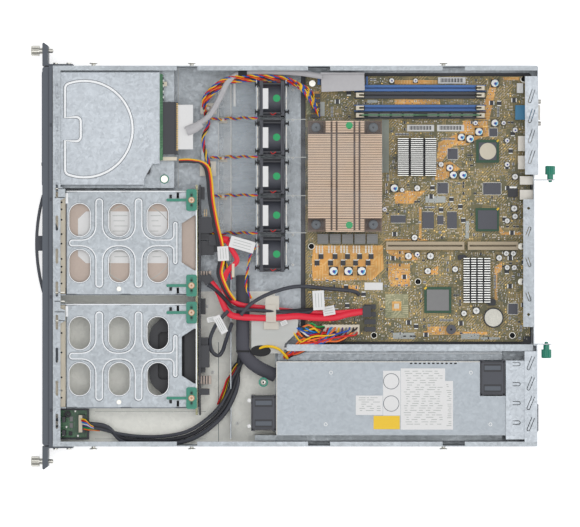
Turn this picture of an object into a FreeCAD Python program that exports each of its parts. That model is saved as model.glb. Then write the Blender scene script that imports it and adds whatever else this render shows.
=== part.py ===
import FreeCAD, Part
import math
import os
from types import SimpleNamespace

import Sketcher
from FreeCAD import Placement, Rotation, Vector

# A 1U rack server with its top cover off.
#
# Frame: +Z up, +X to the right as seen from the front, +Y towards the rear.
# The origin is the middle of the underside of the chassis floor.
# All sizes are in millimetres.

DOC = FreeCAD.newDocument("rack_server")

# ---------------------------------------------------------------------------
# Driving dimensions: alias, value, meaning
# ---------------------------------------------------------------------------

DIMENSIONS = (
    ("chassis_width", 430, "over the side walls"),
    ("chassis_front", -268, "front edge of the floor"),
    ("chassis_rear", 279, "rear edge of the side walls"),
    ("floor_rear", 274.6, "rear edge of the floor"),
    ("wall_height", 43, "height of the side walls"),
    ("gauge", 1, "sheet steel thickness"),
    ("lip_width", 5.5, "in-turned lip on the side walls"),
    ("rack_width", 482.6, "19 inch panel width over the ears"),
    ("rack_pitch", 465.1, "between the two columns of rack screws"),
    ("rack_screw_radius", 2.5, "M5 rack screw"),
    ("ear_thickness", 6.3, "front to back"),
    ("axis_height", 21.5, "rack screws above the floor underside"),
    ("bezel_front", -280, "front face of the moulded bezel"),
    ("bay_width", 118, "over the side walls of one drive cage"),
    ("bay_top", 38, "upper face of the drive cages"),
    ("bay_rear", -106, "rear edge of the drive cages"),
    ("first_bay", -14.8, "middle of the left drive bay"),
    ("second_bay", 113, "middle of the right drive bay"),
    ("drive_width", 101.6, "3.5 inch drive"),
    ("drive_length", 146.7, "3.5 inch drive"),
    ("drive_height", 26.1, "3.5 inch drive"),
    ("optical_width", 128, "slim optical drive"),
    ("optical_length", 127, "slim optical drive"),
    ("optical_middle", -144, "middle of the optical drive"),
    ("optical_floor", 27.5, "underside of the optical drive"),
    ("optical_roof", 39.7, "flat part of the optical drive's cover"),
    ("fan_size", 40, "square fan frame"),
    ("fan_length", 28, "fan frame along the air flow"),
    ("fan_pitch", 44, "between neighbouring fans"),
    ("first_fan", -178.2, "middle of the fan nearest the left wall"),
    ("fan_front", -34.6, "inlet face of the fan row"),
    ("fan_floor", 2, "underside of the fan row"),
    ("board_left", -204.2, "motherboard edge"),
    ("board_right", 97.1, "motherboard edge"),
    ("board_front", 17.3, "motherboard edge"),
    ("board_rear", 272.4, "motherboard edge"),
    ("board_under", 7, "underside of the motherboard"),
    ("board_gauge", 1.6, "circuit board thickness"),
    ("sink_left", -153.2, "CPU heat sink"),
    ("sink_right", -27.7, "CPU heat sink"),
    ("sink_front", 20, "CPU heat sink"),
    ("sink_rear", 103.7, "CPU heat sink"),
    ("sink_base", 16, "underside of the CPU heat sink"),
    ("sink_top", 38, "tips of the CPU heat sink's fins"),
    ("supply_left", 118.8, "power supply case"),
    ("supply_right", 202.4, "power supply case"),
    ("supply_front", -15.8, "power supply case"),
    ("supply_rear", 243.2, "power supply case"),
    ("supply_top", 41, "power supply case"),
)


class Size(float):
    """A number of millimetres that remembers the sheet expression it comes from."""

    def __new__(cls, number, text):
        size = super().__new__(cls, number)
        size.text = text
        return size

    def __add__(self, other):
        return combined(self, "+", other, float(self) + float(other))

    def __radd__(self, other):
        return combined(other, "+", self, float(other) + float(self))

    def __sub__(self, other):
        return combined(self, "-", other, float(self) - float(other))

    def __rsub__(self, other):
        return combined(other, "-", self, float(other) - float(self))

    def __mul__(self, other):
        return combined(self, "*", other, float(self) * float(other))

    def __rmul__(self, other):
        return combined(other, "*", self, float(other) * float(self))

    def __truediv__(self, other):
        return combined(self, "/", other, float(self) / float(other))

    def __neg__(self):
        return Size(-float(self), "(0 - %s)" % self.text)


def expression(value):
    """The sheet expression of a value, or the plain number."""
    if isinstance(value, Size):
        return value.text
    return "(%.6f)" % value if value < 0 else "%.6f" % value


def combined(left, sign, right, number):
    """The result of an arithmetic step, with both sides in its expression."""
    return Size(number, "(%s %s %s)" % (expression(left), sign, expression(right)))


def make_sheet():
    """Write the driving dimensions to the spreadsheet and return them by name."""
    sheet = DOC.addObject("Spreadsheet::Sheet", "Dims")
    sizes = SimpleNamespace()
    for row, (alias, value, meaning) in enumerate(DIMENSIONS, start=1):
        sheet.set("A%d" % row, meaning)
        sheet.set("B%d" % row, str(value))
        sheet.setAlias("B%d" % row, alias)
        setattr(sizes, alias, Size(value, "Dims.%s" % alias))
    DOC.recompute()
    return sizes


D = make_sheet()
SUBPARTS = []


def subpart(label, thing):
    """Name a finished piece; its label becomes the name of its file."""
    thing.Label = label
    SUBPARTS.append(thing)
    return thing


# ---------------------------------------------------------------------------
# Helpers: bound properties and placements
# ---------------------------------------------------------------------------

def bind(thing, name, value):
    """Set a property and tie it to the sheet where its value comes from there."""
    setattr(thing, name, float(value))
    if isinstance(value, Size):
        thing.setExpression(name, value.text)


def place(thing, x, y, z, rotation=None):
    """Put a piece at a point, each coordinate tied to the sheet where it can be."""
    thing.Placement = Placement(Vector(x, y, z), rotation or Rotation())
    for axis, value in zip("xyz", (x, y, z)):
        if isinstance(value, Size):
            thing.setExpression("Placement.Base.%s" % axis, value.text)
    return thing


# ---------------------------------------------------------------------------
# Helpers: sketches and PartDesign features
# ---------------------------------------------------------------------------

class Disc:
    """A full circle in a sketch."""

    def __init__(self, x, y, radius):
        self.x = x
        self.y = y
        self.radius = radius


def rectangle(x0, y0, x1, y1, radius=0):
    """The corners of a rectangle between two opposite corners."""
    return [(x0, y0, radius), (x1, y0, radius), (x1, y1, radius), (x0, y1, radius)]


def slot(x, y, length, width, tilt=0.0):
    """The corners of a round-ended slot about a middle point, tilted in degrees."""
    along = Vector(length / 2, 0, 0)
    across = Vector(0, width / 2, 0)
    turn = Rotation(Vector(0, 0, 1), tilt)
    corners = []
    for a, b in ((-1, -1), (1, -1), (1, 1), (-1, 1)):
        offset = turn.multVec(along * a + across * b)
        corners.append((x + round(offset.x, 6), y + round(offset.y, 6), width / 2))
    return corners


def lance(x, y, length, width, tilt):
    """The corners of a U-shaped cut round a pressed tongue; the closed end points along the tilt."""
    cut, half = 0.8, width / 2
    turn = Rotation(Vector(0, 0, 1), tilt)
    tip = length / 2
    corners = [(-tip, half), (-tip, half - cut), (tip - cut, half - cut, half - cut)]
    corners += [(tip - cut, cut - half, half - cut), (-tip, cut - half), (-tip, -half)]
    corners += [(tip, -half, half), (tip, half, half)]
    placed = []
    for a, b, *radius in corners:
        offset = turn.multVec(Vector(a, b, 0))
        placed.append((x + round(offset.x, 6), y + round(offset.y, 6), *radius))
    return placed


def direction(start, end):
    """The unit vector from one corner to another."""
    vector = Vector(end[0] - start[0], end[1] - start[1], 0)
    vector.normalize()
    return round(vector.x, 9), round(vector.y, 9)


def shifted(corner, way, reach):
    """The point at a distance from a corner, kept short where a step is zero."""
    x = corner[0] + way[0] * reach if way[0] else corner[0]
    y = corner[1] + way[1] * reach if way[1] else corner[1]
    return x, y


def rounded_corner(before, corner, after):
    """The entry point, exit point and arc of one rounded corner."""
    back = direction(corner, before)
    ahead = direction(corner, after)
    half = math.acos(back[0] * ahead[0] + back[1] * ahead[1]) / 2
    reach = corner[2] * round(1 / math.tan(half), 9)
    entry = shifted(corner, back, reach)
    leave = shifted(corner, ahead, reach)
    middle = Vector(back[0] + ahead[0], back[1] + ahead[1], 0)
    middle.normalize()
    centre = Vector(corner[0], corner[1], 0) + middle * (float(corner[2]) / math.sin(half))
    anticlockwise = back[0] * ahead[1] - back[1] * ahead[0] < 0
    first, last = (entry, leave) if anticlockwise else (leave, entry)
    angles = [math.atan2(y - centre.y, x - centre.x) for x, y in (first, last)]
    circle = Part.Circle(centre, Vector(0, 0, 1), float(corner[2]))
    arc = Part.ArcOfCircle(circle, angles[0], angles[1])
    return entry, leave, arc, anticlockwise


class Drawing:
    """The curves and dimensions of one sketch, written to it in one go."""

    def __init__(self):
        self.curves = []
        self.rules = []

    def add(self, curve):
        """Keep a curve and return its number."""
        self.curves.append(curve)
        return len(self.curves) - 1

    def fix_point(self, number, end, point):
        """Dimension one point of a curve from the origin."""
        self.rules.append((("DistanceX", -1, 1, number, end), point[0]))
        self.rules.append((("DistanceY", -1, 1, number, end), point[1]))

    def disc(self, disc):
        """Draw a full circle."""
        centre = Vector(disc.x, disc.y, 0)
        number = self.add(Part.Circle(centre, Vector(0, 0, 1), float(disc.radius)))
        self.fix_point(number, 3, (disc.x, disc.y))
        self.rules.append((("Radius", number), disc.radius))

    def outline(self, corners):
        """Draw a closed outline through corners, each a point with an optional radius."""
        corners = [tuple(corner) + (0,) * (3 - len(corner)) for corner in corners]
        loop = []
        turns = []
        for index, corner in enumerate(corners):
            if not corner[2]:
                turns.append((corner[:2], corner[:2], None))
                continue
            after = corners[(index + 1) % len(corners)]
            entry, leave, arc, anticlockwise = rounded_corner(corners[index - 1], corner, after)
            ends = (1, 2) if anticlockwise else (2, 1)
            turns.append((entry, leave, (arc, ends, entry, corner[2])))
        for index, (entry, leave, arc) in enumerate(turns):
            if arc:
                loop.append(arc)
            end = turns[(index + 1) % len(turns)][0]
            if math.dist(leave, end) > 1e-5:
                line = Part.LineSegment(Vector(*leave, 0), Vector(*end, 0))
                loop.append((line, (1, 2), leave, 0))
        first = len(self.curves)
        for step, (curve, ends, start, radius) in enumerate(loop):
            number = self.add(curve)
            following = (step + 1) % len(loop)
            joint = ("Coincident", number, ends[1], first + following, loop[following][1][0])
            self.rules.append((joint, None))
            self.fix_point(number, ends[0], start)
            if radius:
                self.rules.append((("Radius", number), radius))

    def write(self, sketch):
        """Put the curves and their constraints in a sketch and tie them to the sheet."""
        sketch.addGeometry(self.curves, False)
        constraints = []
        for start, value in self.rules:
            numbers = start if value is None else start + (float(value),)
            constraints.append(Sketcher.Constraint(*numbers))
        sketch.addConstraint(constraints)
        for index, (_, value) in enumerate(self.rules):
            if isinstance(value, Size):
                sketch.setExpression("Constraints[%d]" % index, value.text)


PLANES = {"XY": ("XY_Plane", 1), "XZ": ("XZ_Plane", -1), "YZ": ("YZ_Plane", 1)}


def origin_feature(body, role):
    """One of the planes or axes of a body's own origin."""
    return [part for part in body.Origin.OriginFeatures if part.Role == role][0]


def new_body(name):
    """An empty PartDesign body."""
    return DOC.addObject("PartDesign::Body", name)


def new_sketch(body, plane, level, shapes):
    """A sketch on one of the body's planes, moved along that plane's own axis."""
    role, sign = PLANES[plane]
    sketch = body.newObject("Sketcher::SketchObject", "sketch")
    sketch.AttachmentSupport = [(origin_feature(body, role), "")]
    sketch.MapMode = "FlatFace"
    height = level if sign > 0 else -level
    sketch.AttachmentOffset = Placement(Vector(0, 0, height), Rotation())
    if isinstance(height, Size):
        sketch.setExpression("AttachmentOffset.Base.z", height.text)
    drawing = Drawing()
    for shape in shapes:
        if isinstance(shape, Disc):
            drawing.disc(shape)
        else:
            drawing.outline(shape)
    if shapes:
        drawing.write(sketch)
    return sketch


def pad(body, plane, span, shapes):
    """Add the shapes as solid between two levels across the plane."""
    low, high = span
    feature = body.newObject("PartDesign::Pad", "pad")
    feature.Profile = new_sketch(body, plane, low if PLANES[plane][1] > 0 else high, shapes)
    bind(feature, "Length", high - low)
    body.Tip = feature
    return feature


def pocket(body, plane, span, shapes):
    """Take the shapes away between two levels across the plane."""
    low, high = span
    feature = body.newObject("PartDesign::Pocket", "pocket")
    feature.Profile = new_sketch(body, plane, high if PLANES[plane][1] > 0 else low, shapes)
    bind(feature, "Length", high - low)
    body.Tip = feature
    return feature


def turned(body, profile):
    """Revolve a profile of radius and distance about the body's Y axis."""
    feature = body.newObject("PartDesign::Revolution", "turned")
    feature.Profile = new_sketch(body, "XY", 0, [profile])
    feature.ReferenceAxis = (origin_feature(body, "Y_Axis"), [""])
    feature.Angle = 360
    body.Tip = feature
    return feature


def round_about(body, features, count):
    """Repeat features evenly about the body's Y axis."""
    pattern = body.newObject("PartDesign::PolarPattern", "round_about")
    pattern.Originals = features
    pattern.Axis = (origin_feature(body, "Y_Axis"), [""])
    pattern.Angle = 360
    pattern.Occurrences = count
    body.Tip = pattern
    return pattern


def in_a_row(body, features, axis, length, count):
    """Repeat features evenly over a length along one of the body's axes."""
    pattern = body.newObject("PartDesign::LinearPattern", "in_a_row")
    pattern.Originals = features
    pattern.Direction = (origin_feature(body, "%s_Axis" % axis), [""])
    bind(pattern, "Length", length)
    pattern.Occurrences = count
    body.Tip = pattern
    return pattern


# ---------------------------------------------------------------------------
# Helpers: primitives and booleans
# ---------------------------------------------------------------------------

UPRIGHT = {
    "X": Rotation(Vector(0, 0, 1), Vector(1, 0, 0)),
    "Y": Rotation(Vector(0, 0, 1), Vector(0, 1, 0)),
    "Z": Rotation(),
}


def block(x, y, z):
    """A rectangular block; each argument is a (low, high) pair."""
    solid = DOC.addObject("Part::Box", "block")
    for side, (low, high) in zip(("Length", "Width", "Height"), (x, y, z)):
        bind(solid, side, high - low)
    return place(solid, x[0], y[0], z[0])


def rod(axis, start, length, radius):
    """A cylinder along X, Y or Z from its start point."""
    solid = DOC.addObject("Part::Cylinder", "rod")
    bind(solid, "Radius", radius)
    bind(solid, "Height", length)
    return place(solid, *start, rotation=UPRIGHT[axis])


def joined(pieces):
    """Several pieces made one."""
    whole = DOC.addObject("Part::MultiFuse", "joined")
    whole.Shapes = pieces
    whole.Refine = True
    return whole


def cut(base, tools):
    """A piece with other pieces taken out of it."""
    result = DOC.addObject("Part::Cut", "cut")
    result.Base = base
    result.Tool = tools[0] if len(tools) == 1 else joined(tools)
    return result


def shared(first, second):
    """The volume that two pieces have in common."""
    result = DOC.addObject("Part::Common", "shared")
    result.Base = first
    result.Tool = second
    return result


def group(pieces):
    """Separate solids that belong to one sub-part."""
    collection = DOC.addObject("Part::Compound", "group")
    collection.Links = pieces
    return collection


def around(middle, width):
    """A (low, high) pair about a middle."""
    return middle - width / 2, middle + width / 2


# ---------------------------------------------------------------------------
# Chassis
# ---------------------------------------------------------------------------

LIP_NOTCHES = ((-128, -105), (20, 45), (172, 197))
STANDOFFS = (
    (-11, 24), (29, 145), (90, 95), (90, 252), (-11, 262), (29, 262), (-196, 25), (-200.5, 265),
)
STUD_ROWS = (-222.9, -111.6, 173.5)
REAR_SLOTS_LEFT = (-180.6, -158, -135.3, -111.8)
REAR_SLOTS_RIGHT = (121, 144, 166, 190)
BRACKET_LEFT = -92
BRACKET_RIGHT = 100
BRACKET_FACE = 275.6
REAR_FACE_LEFT = 280
TAB_HEIGHT = 33
LEFT_TAB = -86.6
LEFT_TAB_AXIS = 293.9
RIGHT_TAB_AXIS = 289.6
LANS = ((-136, -119), (-113.6, -98.5))
USBS = ((-90.5, -81), (-75, -64))
VGA_MIDDLE = -162.8
INLET_MIDDLE = 183


def base_pan():
    """The steel tray: floor, side walls and their in-turned lips, with board standoffs."""
    body = new_body("base_pan")
    half = D.chassis_width / 2
    inner = half - D.gauge
    lip = half - D.lip_width
    top = D.wall_height
    under = top - D.gauge
    profile = [
        (-half, 0), (half, 0), (half, top), (lip, top), (lip, under), (inner, under),
        (inner, D.gauge), (-inner, D.gauge), (-inner, under), (-lip, under), (-lip, top), (-half, top),
    ]
    pad(body, "XZ", (D.chassis_front, D.chassis_rear), [profile])
    gaps = [(front, rear) for front, rear in LIP_NOTCHES]
    gaps.append((D.chassis_front - 1, D.chassis_front + 8.6))
    notches = []
    for front, rear in gaps:
        notches.append(rectangle(lip - 1, front, inner, rear))
        notches.append(rectangle(-inner, front, 1 - lip, rear))
    pocket(body, "XY", (under, top), notches)
    pocket(body, "XY", (0, D.gauge), [rectangle(-inner, D.floor_rear, inner, D.chassis_rear + 1)])
    pad(body, "XY", (D.gauge, D.board_under), [Disc(x, y, 3) for x, y in STANDOFFS])
    pocket(body, "XY", (D.gauge + 0.5, D.board_under), [Disc(x, y, 1.6) for x, y in STANDOFFS])
    return subpart("base_pan", body)


def rear_panel():
    """The rear wall of the chassis, stepped in behind the expansion bracket."""
    body = new_body("rear_panel")
    inner = D.chassis_width / 2 - D.gauge
    rear = D.chassis_rear
    face = BRACKET_FACE
    steps = [
        (-inner, REAR_FACE_LEFT), (BRACKET_LEFT, REAR_FACE_LEFT), (BRACKET_LEFT, face),
        (BRACKET_RIGHT, face), (BRACKET_RIGHT, rear), (inner, rear),
    ]
    step_backs = [
        (inner, rear - 1), (BRACKET_RIGHT + 1, rear - 1), (BRACKET_RIGHT + 1, face - 1),
        (BRACKET_LEFT - 1, face - 1), (BRACKET_LEFT - 1, REAR_FACE_LEFT - 1),
        (-inner, REAR_FACE_LEFT - 1),
    ]
    strip_top = 8
    under = D.wall_height - D.gauge
    pad(body, "XY", (0, D.gauge), [steps + [(inner, D.floor_rear), (-inner, D.floor_rear)]])
    pad(body, "XY", (D.gauge, strip_top), [steps + step_backs])
    left = [
        (-inner, REAR_FACE_LEFT), (-inner, REAR_FACE_LEFT - 1), (BRACKET_LEFT - 1, REAR_FACE_LEFT - 1),
        (BRACKET_LEFT - 1, face - 1), (BRACKET_LEFT, face - 1), (BRACKET_LEFT, REAR_FACE_LEFT),
    ]
    right = [
        (inner, rear), (inner, rear - 1), (BRACKET_RIGHT + 1, rear - 1), (BRACKET_RIGHT + 1, face - 1),
        (BRACKET_RIGHT, face - 1), (BRACKET_RIGHT, rear),
    ]
    pad(body, "XY", (strip_top, under), [left, right])
    flange_left = rectangle(-203, 265, BRACKET_LEFT, REAR_FACE_LEFT)
    flange_right = rectangle(107.5, 264.5, inner - D.lip_width + D.gauge, rear)
    pad(body, "XY", (under, D.wall_height), [flange_left, flange_right])
    # the strip over the power supply's outlet lies one sheet lower
    pad(body, "XY", (under - D.gauge, under), [rectangle(118, 243.4, 207, 265.5)])
    tongues = [lance(x, 272.2, 16.5, 4.0, -18) for x in REAR_SLOTS_LEFT]
    tongues += [lance(x, 271.2, 16.5, 4.0, -22) for x in REAR_SLOTS_RIGHT]
    pocket(body, "XY", (under - 0.1, D.wall_height), tongues)
    marks = [lance(x, 255.5, 9, 4.6, 90) for x in (122, 144.6, 166, 188)]
    pocket(body, "XY", (under - D.gauge - 0.1, under), marks)
    ports = [rectangle(VGA_MIDDLE - 9, 9.6, VGA_MIDDLE + 9, 19.6, 2)]
    ports += [rectangle(left_side - 0.2, 8.5, right_side + 0.2, 22.6) for left_side, right_side in LANS]
    pocket(body, "XZ", (REAR_FACE_LEFT - 1.5, REAR_FACE_LEFT + 0.5), ports)
    outlet = [Disc(137 + dx, 21 + dz, 2.4) for dx, dz in honeycomb(6.0, 17)]
    inlet = rectangle(INLET_MIDDLE - 14, 9.5, INLET_MIDDLE + 14, 31.5, 3)
    pocket(body, "XZ", (rear - 1.5, rear + 0.5), outlet + [inlet])
    vent = pocket(body, "XZ", (REAR_FACE_LEFT - 1.5, REAR_FACE_LEFT + 0.5), [slot(-200, 31, 9, 2.6, 90)])
    in_a_row(body, [vent], "X", 98, 15)
    return subpart("rear_panel", body)


def honeycomb(pitch, reach):
    """Places of a round patch of holes in staggered rows."""
    places = []
    row_step = pitch * math.sqrt(3) / 2
    rows = int(reach / row_step)
    columns = int(reach / pitch) + 1
    for row in range(-rows, rows + 1):
        shift = pitch / 2 if row % 2 else 0
        for column in range(-columns, columns + 1):
            x, z = column * pitch + shift, row * row_step
            if math.hypot(x, z) <= reach:
                places.append((x, z))
    return places


def expansion_bracket():
    """The riser's rear bracket: wall, top flange, blank slot cover and two screw tabs."""
    body = new_body("expansion_wall")
    wall = (BRACKET_FACE - 1, BRACKET_FACE)
    low, under, top = 8, D.wall_height - D.gauge, D.wall_height
    pad(body, "XZ", wall, [rectangle(BRACKET_LEFT, low, BRACKET_RIGHT, under)])
    pad(body, "XY", (under, top), [rectangle(-64, 263, 80, BRACKET_FACE, 1)])
    holes = [Disc(-54, 269, 1.6), Disc(66, 269, 1.6)]
    holes += [lance(-28, 269, 11, 3.6, 160), lance(7, 269, 11, 3.6, 20), lance(46, 269, 11, 3.6, 20)]
    pocket(body, "XY", (under, top), holes)
    low_edge, high_edge = TAB_HEIGHT - 7, TAB_HEIGHT + 7
    for side, axis in ((LEFT_TAB, LEFT_TAB_AXIS), (BRACKET_RIGHT - 1, RIGHT_TAB_AXIS)):
        end = axis + 6
        root = BRACKET_FACE - 0.5
        tab = [(root, low_edge), (end, low_edge, 5), (end, high_edge, 5), (root, high_edge)]
        pad(body, "YZ", (side, side + 1), [tab])
        pocket(body, "YZ", (side, side + 1), [Disc(axis, TAB_HEIGHT, 2.08)])
    opening = rectangle(-20, 24, 92, 38, 1)
    usb = [rectangle(left_side - 0.2, 8.4, right_side + 0.2, 24.2) for left_side, right_side in USBS]
    pocket(body, "XZ", wall, [opening] + usb)
    vent = pocket(body, "XZ", wall, [slot(-12, 15.5, 9, 2.6, 90)])
    in_a_row(body, [vent], "X", 98, 15)
    cover = block((-20, 92), (BRACKET_FACE - 1, BRACKET_FACE), (24, 38))
    rounded = DOC.addObject("Part::Fillet", "slot_cover")
    rounded.Base = cover
    DOC.recompute()
    corners = [n for n, edge in enumerate(cover.Shape.Edges, 1) if edge.tangentAt(0).y ** 2 > 0.9]
    rounded.Edges = [(number, 1.0, 1.0) for number in corners]
    return subpart("expansion_bracket", group([body, rounded]))


def front_frame():
    """The sheet front wall behind the bezel, with its slotted top flange."""
    body = new_body("front_frame")
    front = D.chassis_front
    inner = D.chassis_width / 2 - D.gauge
    under, top = D.wall_height - D.gauge, D.wall_height
    pad(body, "XZ", (front, front + D.gauge), [rectangle(-inner, D.gauge, inner, under)])
    flange = [
        (-inner, front), (inner, front), (inner, front + 8.6), (76, front + 8.6), (73, front + 14),
        (61, front + 14), (59, front + 8.6), (-63, front + 8.6), (-66, front + 14), (-76, front + 14),
        (-78, front + 8.6), (-inner, front + 8.6),
    ]
    pad(body, "XY", (under, top), [flange])
    opening = pocket(body, "XY", (under, top), [slot(-186.5, front + 4.6, 17, 3)])
    in_a_row(body, [opening], "X", 373, 11)
    half_bay = D.bay_width / 2 + 1
    windows = [rectangle(-208.6, 26.8, -79.4, 40.8)]
    windows += [rectangle(bay - half_bay, 2, bay + half_bay, 37.4) for bay in (D.first_bay, D.second_bay)]
    windows.append(rectangle(177, 5, 208, 38, 2))
    pocket(body, "XZ", (front, front + D.gauge), windows)
    louvre = pocket(body, "XZ", (front, front + D.gauge), [slot(-202, 13.5, 15, 4.4, 90)])
    in_a_row(body, [louvre], "X", 112, 17)
    return subpart("front_frame", body)


def inner_walls():
    """The cross wall behind the drive bays and the divider beside the power supply."""
    cross = new_body("cross_wall")
    wall_top = 40
    cross_face = (-67.7, -66.7)
    pad(cross, "XZ", cross_face, [rectangle(7, D.gauge, 206, wall_top)])
    cable_ways = [rectangle(8, 22, 110, wall_top + 1), rectangle(150, 14, 188, wall_top + 1)]
    pocket(cross, "XZ", cross_face, cable_ways)
    divider = new_body("divider")
    wall = (106.2, 107.2)
    profile = [
        (99.8, 40), (107.2, 40), (107.2, D.gauge), (106.2, D.gauge), (106.2, 39), (99.8, 39),
    ]
    pad(divider, "XZ", (-4, 274), [profile])
    pocket(divider, "YZ", wall, [rectangle(-5, 18, 12, 39)])
    return subpart("inner_walls", group([cross, divider]))


def rail_studs():
    """Six headed studs on the side walls that hang the server on its rails."""
    studs = []
    height = 21.5
    head = [(0, 0), (3.2, 0), (2.25, 0.8), (2.25, 2.2), (4.75, 3.2), (4.75, 3.9), (0, 3.9)]
    for side in (-1, 1):
        for row in STUD_ROWS:
            body = new_body("stud")
            turned(body, head)
            outward = Rotation(Vector(0, 1, 0), Vector(side, 0, 0))
            place(body, D.chassis_width / 2 * side, row, height, outward)
            studs.append(body)
    return subpart("rail_studs", group(studs))


# ---------------------------------------------------------------------------
# Front bezel, rack ears and controls
# ---------------------------------------------------------------------------

POWER_PLACE = (185, 28)
RESET_PLACE = (200, 28)
BUTTON_CLEARANCE = 0.3
USB_FRONT = ((179, 191.5), (194, 206.5))


def front_bezel():
    """The moulded bezel with openings for the drives, a louvred inlet and the controls."""
    body = new_body("front_bezel")
    half = D.chassis_width / 2
    front, back = D.bezel_front, D.chassis_front
    top = D.wall_height - 0.6
    plan = [
        (-half, back), (-half, front + 7.4), (-half + 1.2, front + 7.4), (-half + 1.2, front, 3),
        (half - 1.2, front, 3), (half - 1.2, front + 7.4), (half, front + 7.4), (half, back),
    ]
    pad(body, "XY", (0.6, top), [plan])
    pocket(body, "YZ", (-half - 1, half + 1), [rectangle(front - 1, top - 0.8, front + 7.4, top + 1)])
    half_bay = D.bay_width / 2 + 0.5
    openings = [rectangle(-208.6, 26.8, -79.4, 40.8, 0)]
    openings += [rectangle(bay - half_bay, 2, bay + half_bay, 37, 0) for bay in (D.first_bay, D.second_bay)]
    pocket(body, "XZ", (front - 1, back + 1), openings)
    louvre = pocket(body, "XZ", (front, back), [slot(-202, 13.5, 15, 4.4, 90)])
    in_a_row(body, [louvre], "X", 112, 17)
    panel = rectangle(176.5, 5, 208.5, 38, 3)
    pocket(body, "XZ", (front - 1, front + 1.2), [panel])
    holes = [Disc(POWER_PLACE[0], POWER_PLACE[1], 4 + BUTTON_CLEARANCE)]
    holes.append(Disc(RESET_PLACE[0], RESET_PLACE[1], 2.5 + BUTTON_CLEARANCE))
    holes += [rectangle(left - 0.3, 8.4, right + 0.3, 15.6) for left, right in USB_FRONT]
    holes += [Disc(x, 20.5, 1.3) for x in (183, 189.5, 196, 202.5)]
    pocket(body, "XZ", (front - 1, back + 1), holes)
    return subpart("front_bezel", body)


def rack_ears():
    """The two ears that reach out to the rack's posts and back along the side walls."""
    ears = []
    height = (3, 40)
    thickness = 2
    for side in (-1, 1):
        body = new_body("ear")
        wall = D.chassis_width / 2
        tip = D.rack_width / 2
        front = D.bezel_front
        rear = front + D.ear_thickness
        plan = [
            (wall, front), (tip - 1, front), (tip, front + 1.6), (tip - 3.6, rear), (wall + 4, rear),
            (wall + thickness, rear + 1), (wall + thickness, front + 34.3), (wall, front + 34.3),
        ]
        pad(body, "XY", height, [[(x * side, y) for x, y in plan]])
        hole = Disc(D.rack_pitch / 2 * side, D.axis_height, D.rack_screw_radius + 0.08)
        pocket(body, "XZ", (front, rear), [hole])
        ears.append(body)
    return subpart("rack_ears", group(ears))


def knurled(body, radius, near, far, count):
    """Cut a ring of fine grooves along a round head, parallel to its axis."""
    depth = 0.5
    groove = [(radius - depth, -0.1), (radius + 0.4, -0.7), (radius + 0.4, 0.7)]
    feature = pocket(body, "XZ", (near, far), [groove])
    return round_about(body, [feature], count)


def rack_screw(label, side):
    """A knurled captive screw that fixes one ear to the rack: thin neck, short threaded tip."""
    body = new_body(label)
    radius = D.rack_screw_radius
    neck = radius - 0.4
    thread = D.ear_thickness + 0.5
    tip = thread + 4
    profile = [
        (0, -13.6), (5.1, -13.6), (5.9, -12.8), (5.9, -4), (3.65, -4), (3.65, 0),
        (neck, 0), (neck, thread), (radius, thread), (radius, tip), (radius - 0.9, tip + 0.8),
        (0, tip + 0.8),
    ]
    turned(body, profile)
    knurled(body, 5.9, -13.6, -4.6, 20)
    place(body, D.rack_pitch / 2 * side, D.bezel_front, D.axis_height)
    return subpart(label, body)


def rear_screw(label, tab, axis, side):
    """A knurled coloured knob that clamps the expansion bracket through its tab."""
    body = new_body(label)
    profile = [
        (0, -15.4), (4.9, -15.4), (5.7, -14.6), (5.7, -5.5), (3.5, -5.5), (3.5, 0),
        (2, 0), (2, 2.6), (1.4, 3.2), (0, 3.2),
    ]
    turned(body, profile)
    knurled(body, 5.7, -15.4, -6, 16)
    place(body, tab, axis, TAB_HEIGHT, Rotation(Vector(0, 1, 0), Vector(-side, 0, 0)))
    return subpart(label, body)


def push_button(label, spot, radius, proud):
    """A round cap on a stem, standing in its hole in the bezel."""
    body = new_body(label)
    profile = [
        (0, -proud), (radius - 0.6, -proud), (radius, 0.6 - proud), (radius, 5),
        (1.6, 5), (1.6, 17.4), (0, 17.4),
    ]
    turned(body, profile)
    place(body, spot[0], D.bezel_front + 1.2, spot[1])
    return subpart(label, body)


def front_io_board():
    """The control panel's circuit board in its frame, with two USB sockets and switches."""
    board = block((173.9, 207), (-260.8, -229.2), (6.8, 8.4))
    posts = [rod("Z", (x, y, D.gauge), 6.8 - D.gauge, 2.5) for x in (177, 204) for y in (-257, -233)]
    frame = cut(
        block((172.9, 208), (-261.8, -228.2), (8.4, 12)),
        [block((175, 205.9), (-262.8, -230.4), (8.4, 12))],
    )
    sockets = []
    for left, right in USB_FRONT:
        shell = block((left, right), (-279.5, -262), (8.4, 15.4))
        mouth = block((left + 0.6, right - 0.6), (-279.5, -266), (9, 14.8))
        tongue = block((left + 2, right - 2), (-277.5, -266), (11.2, 12.6))
        sockets.append(joined([cut(shell, [mouth]), tongue]))
    switches = []
    for x, z in (POWER_PLACE, RESET_PLACE):
        switches.append(joined([
            block((x - 3, x + 3), (-258, -254.5), (8.4, z + 3)),
            rod("Y", (x, -260.3, z), 2.6, 1.2),
        ]))
    header = block((180, 200), (-240, -232.5), (8.4, 19))
    return subpart("front_io_board", group([board, frame, header] + posts + sockets + switches))


# ---------------------------------------------------------------------------
# Drive bays
# ---------------------------------------------------------------------------

WINDOW_ROWS = (-237.8, -193.2, -149.6)
WINDOW_SIDE = 26
RELIEFS = ((-253.6, -241), (-191.7, -179.8), (-129.8, -117.3))


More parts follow.
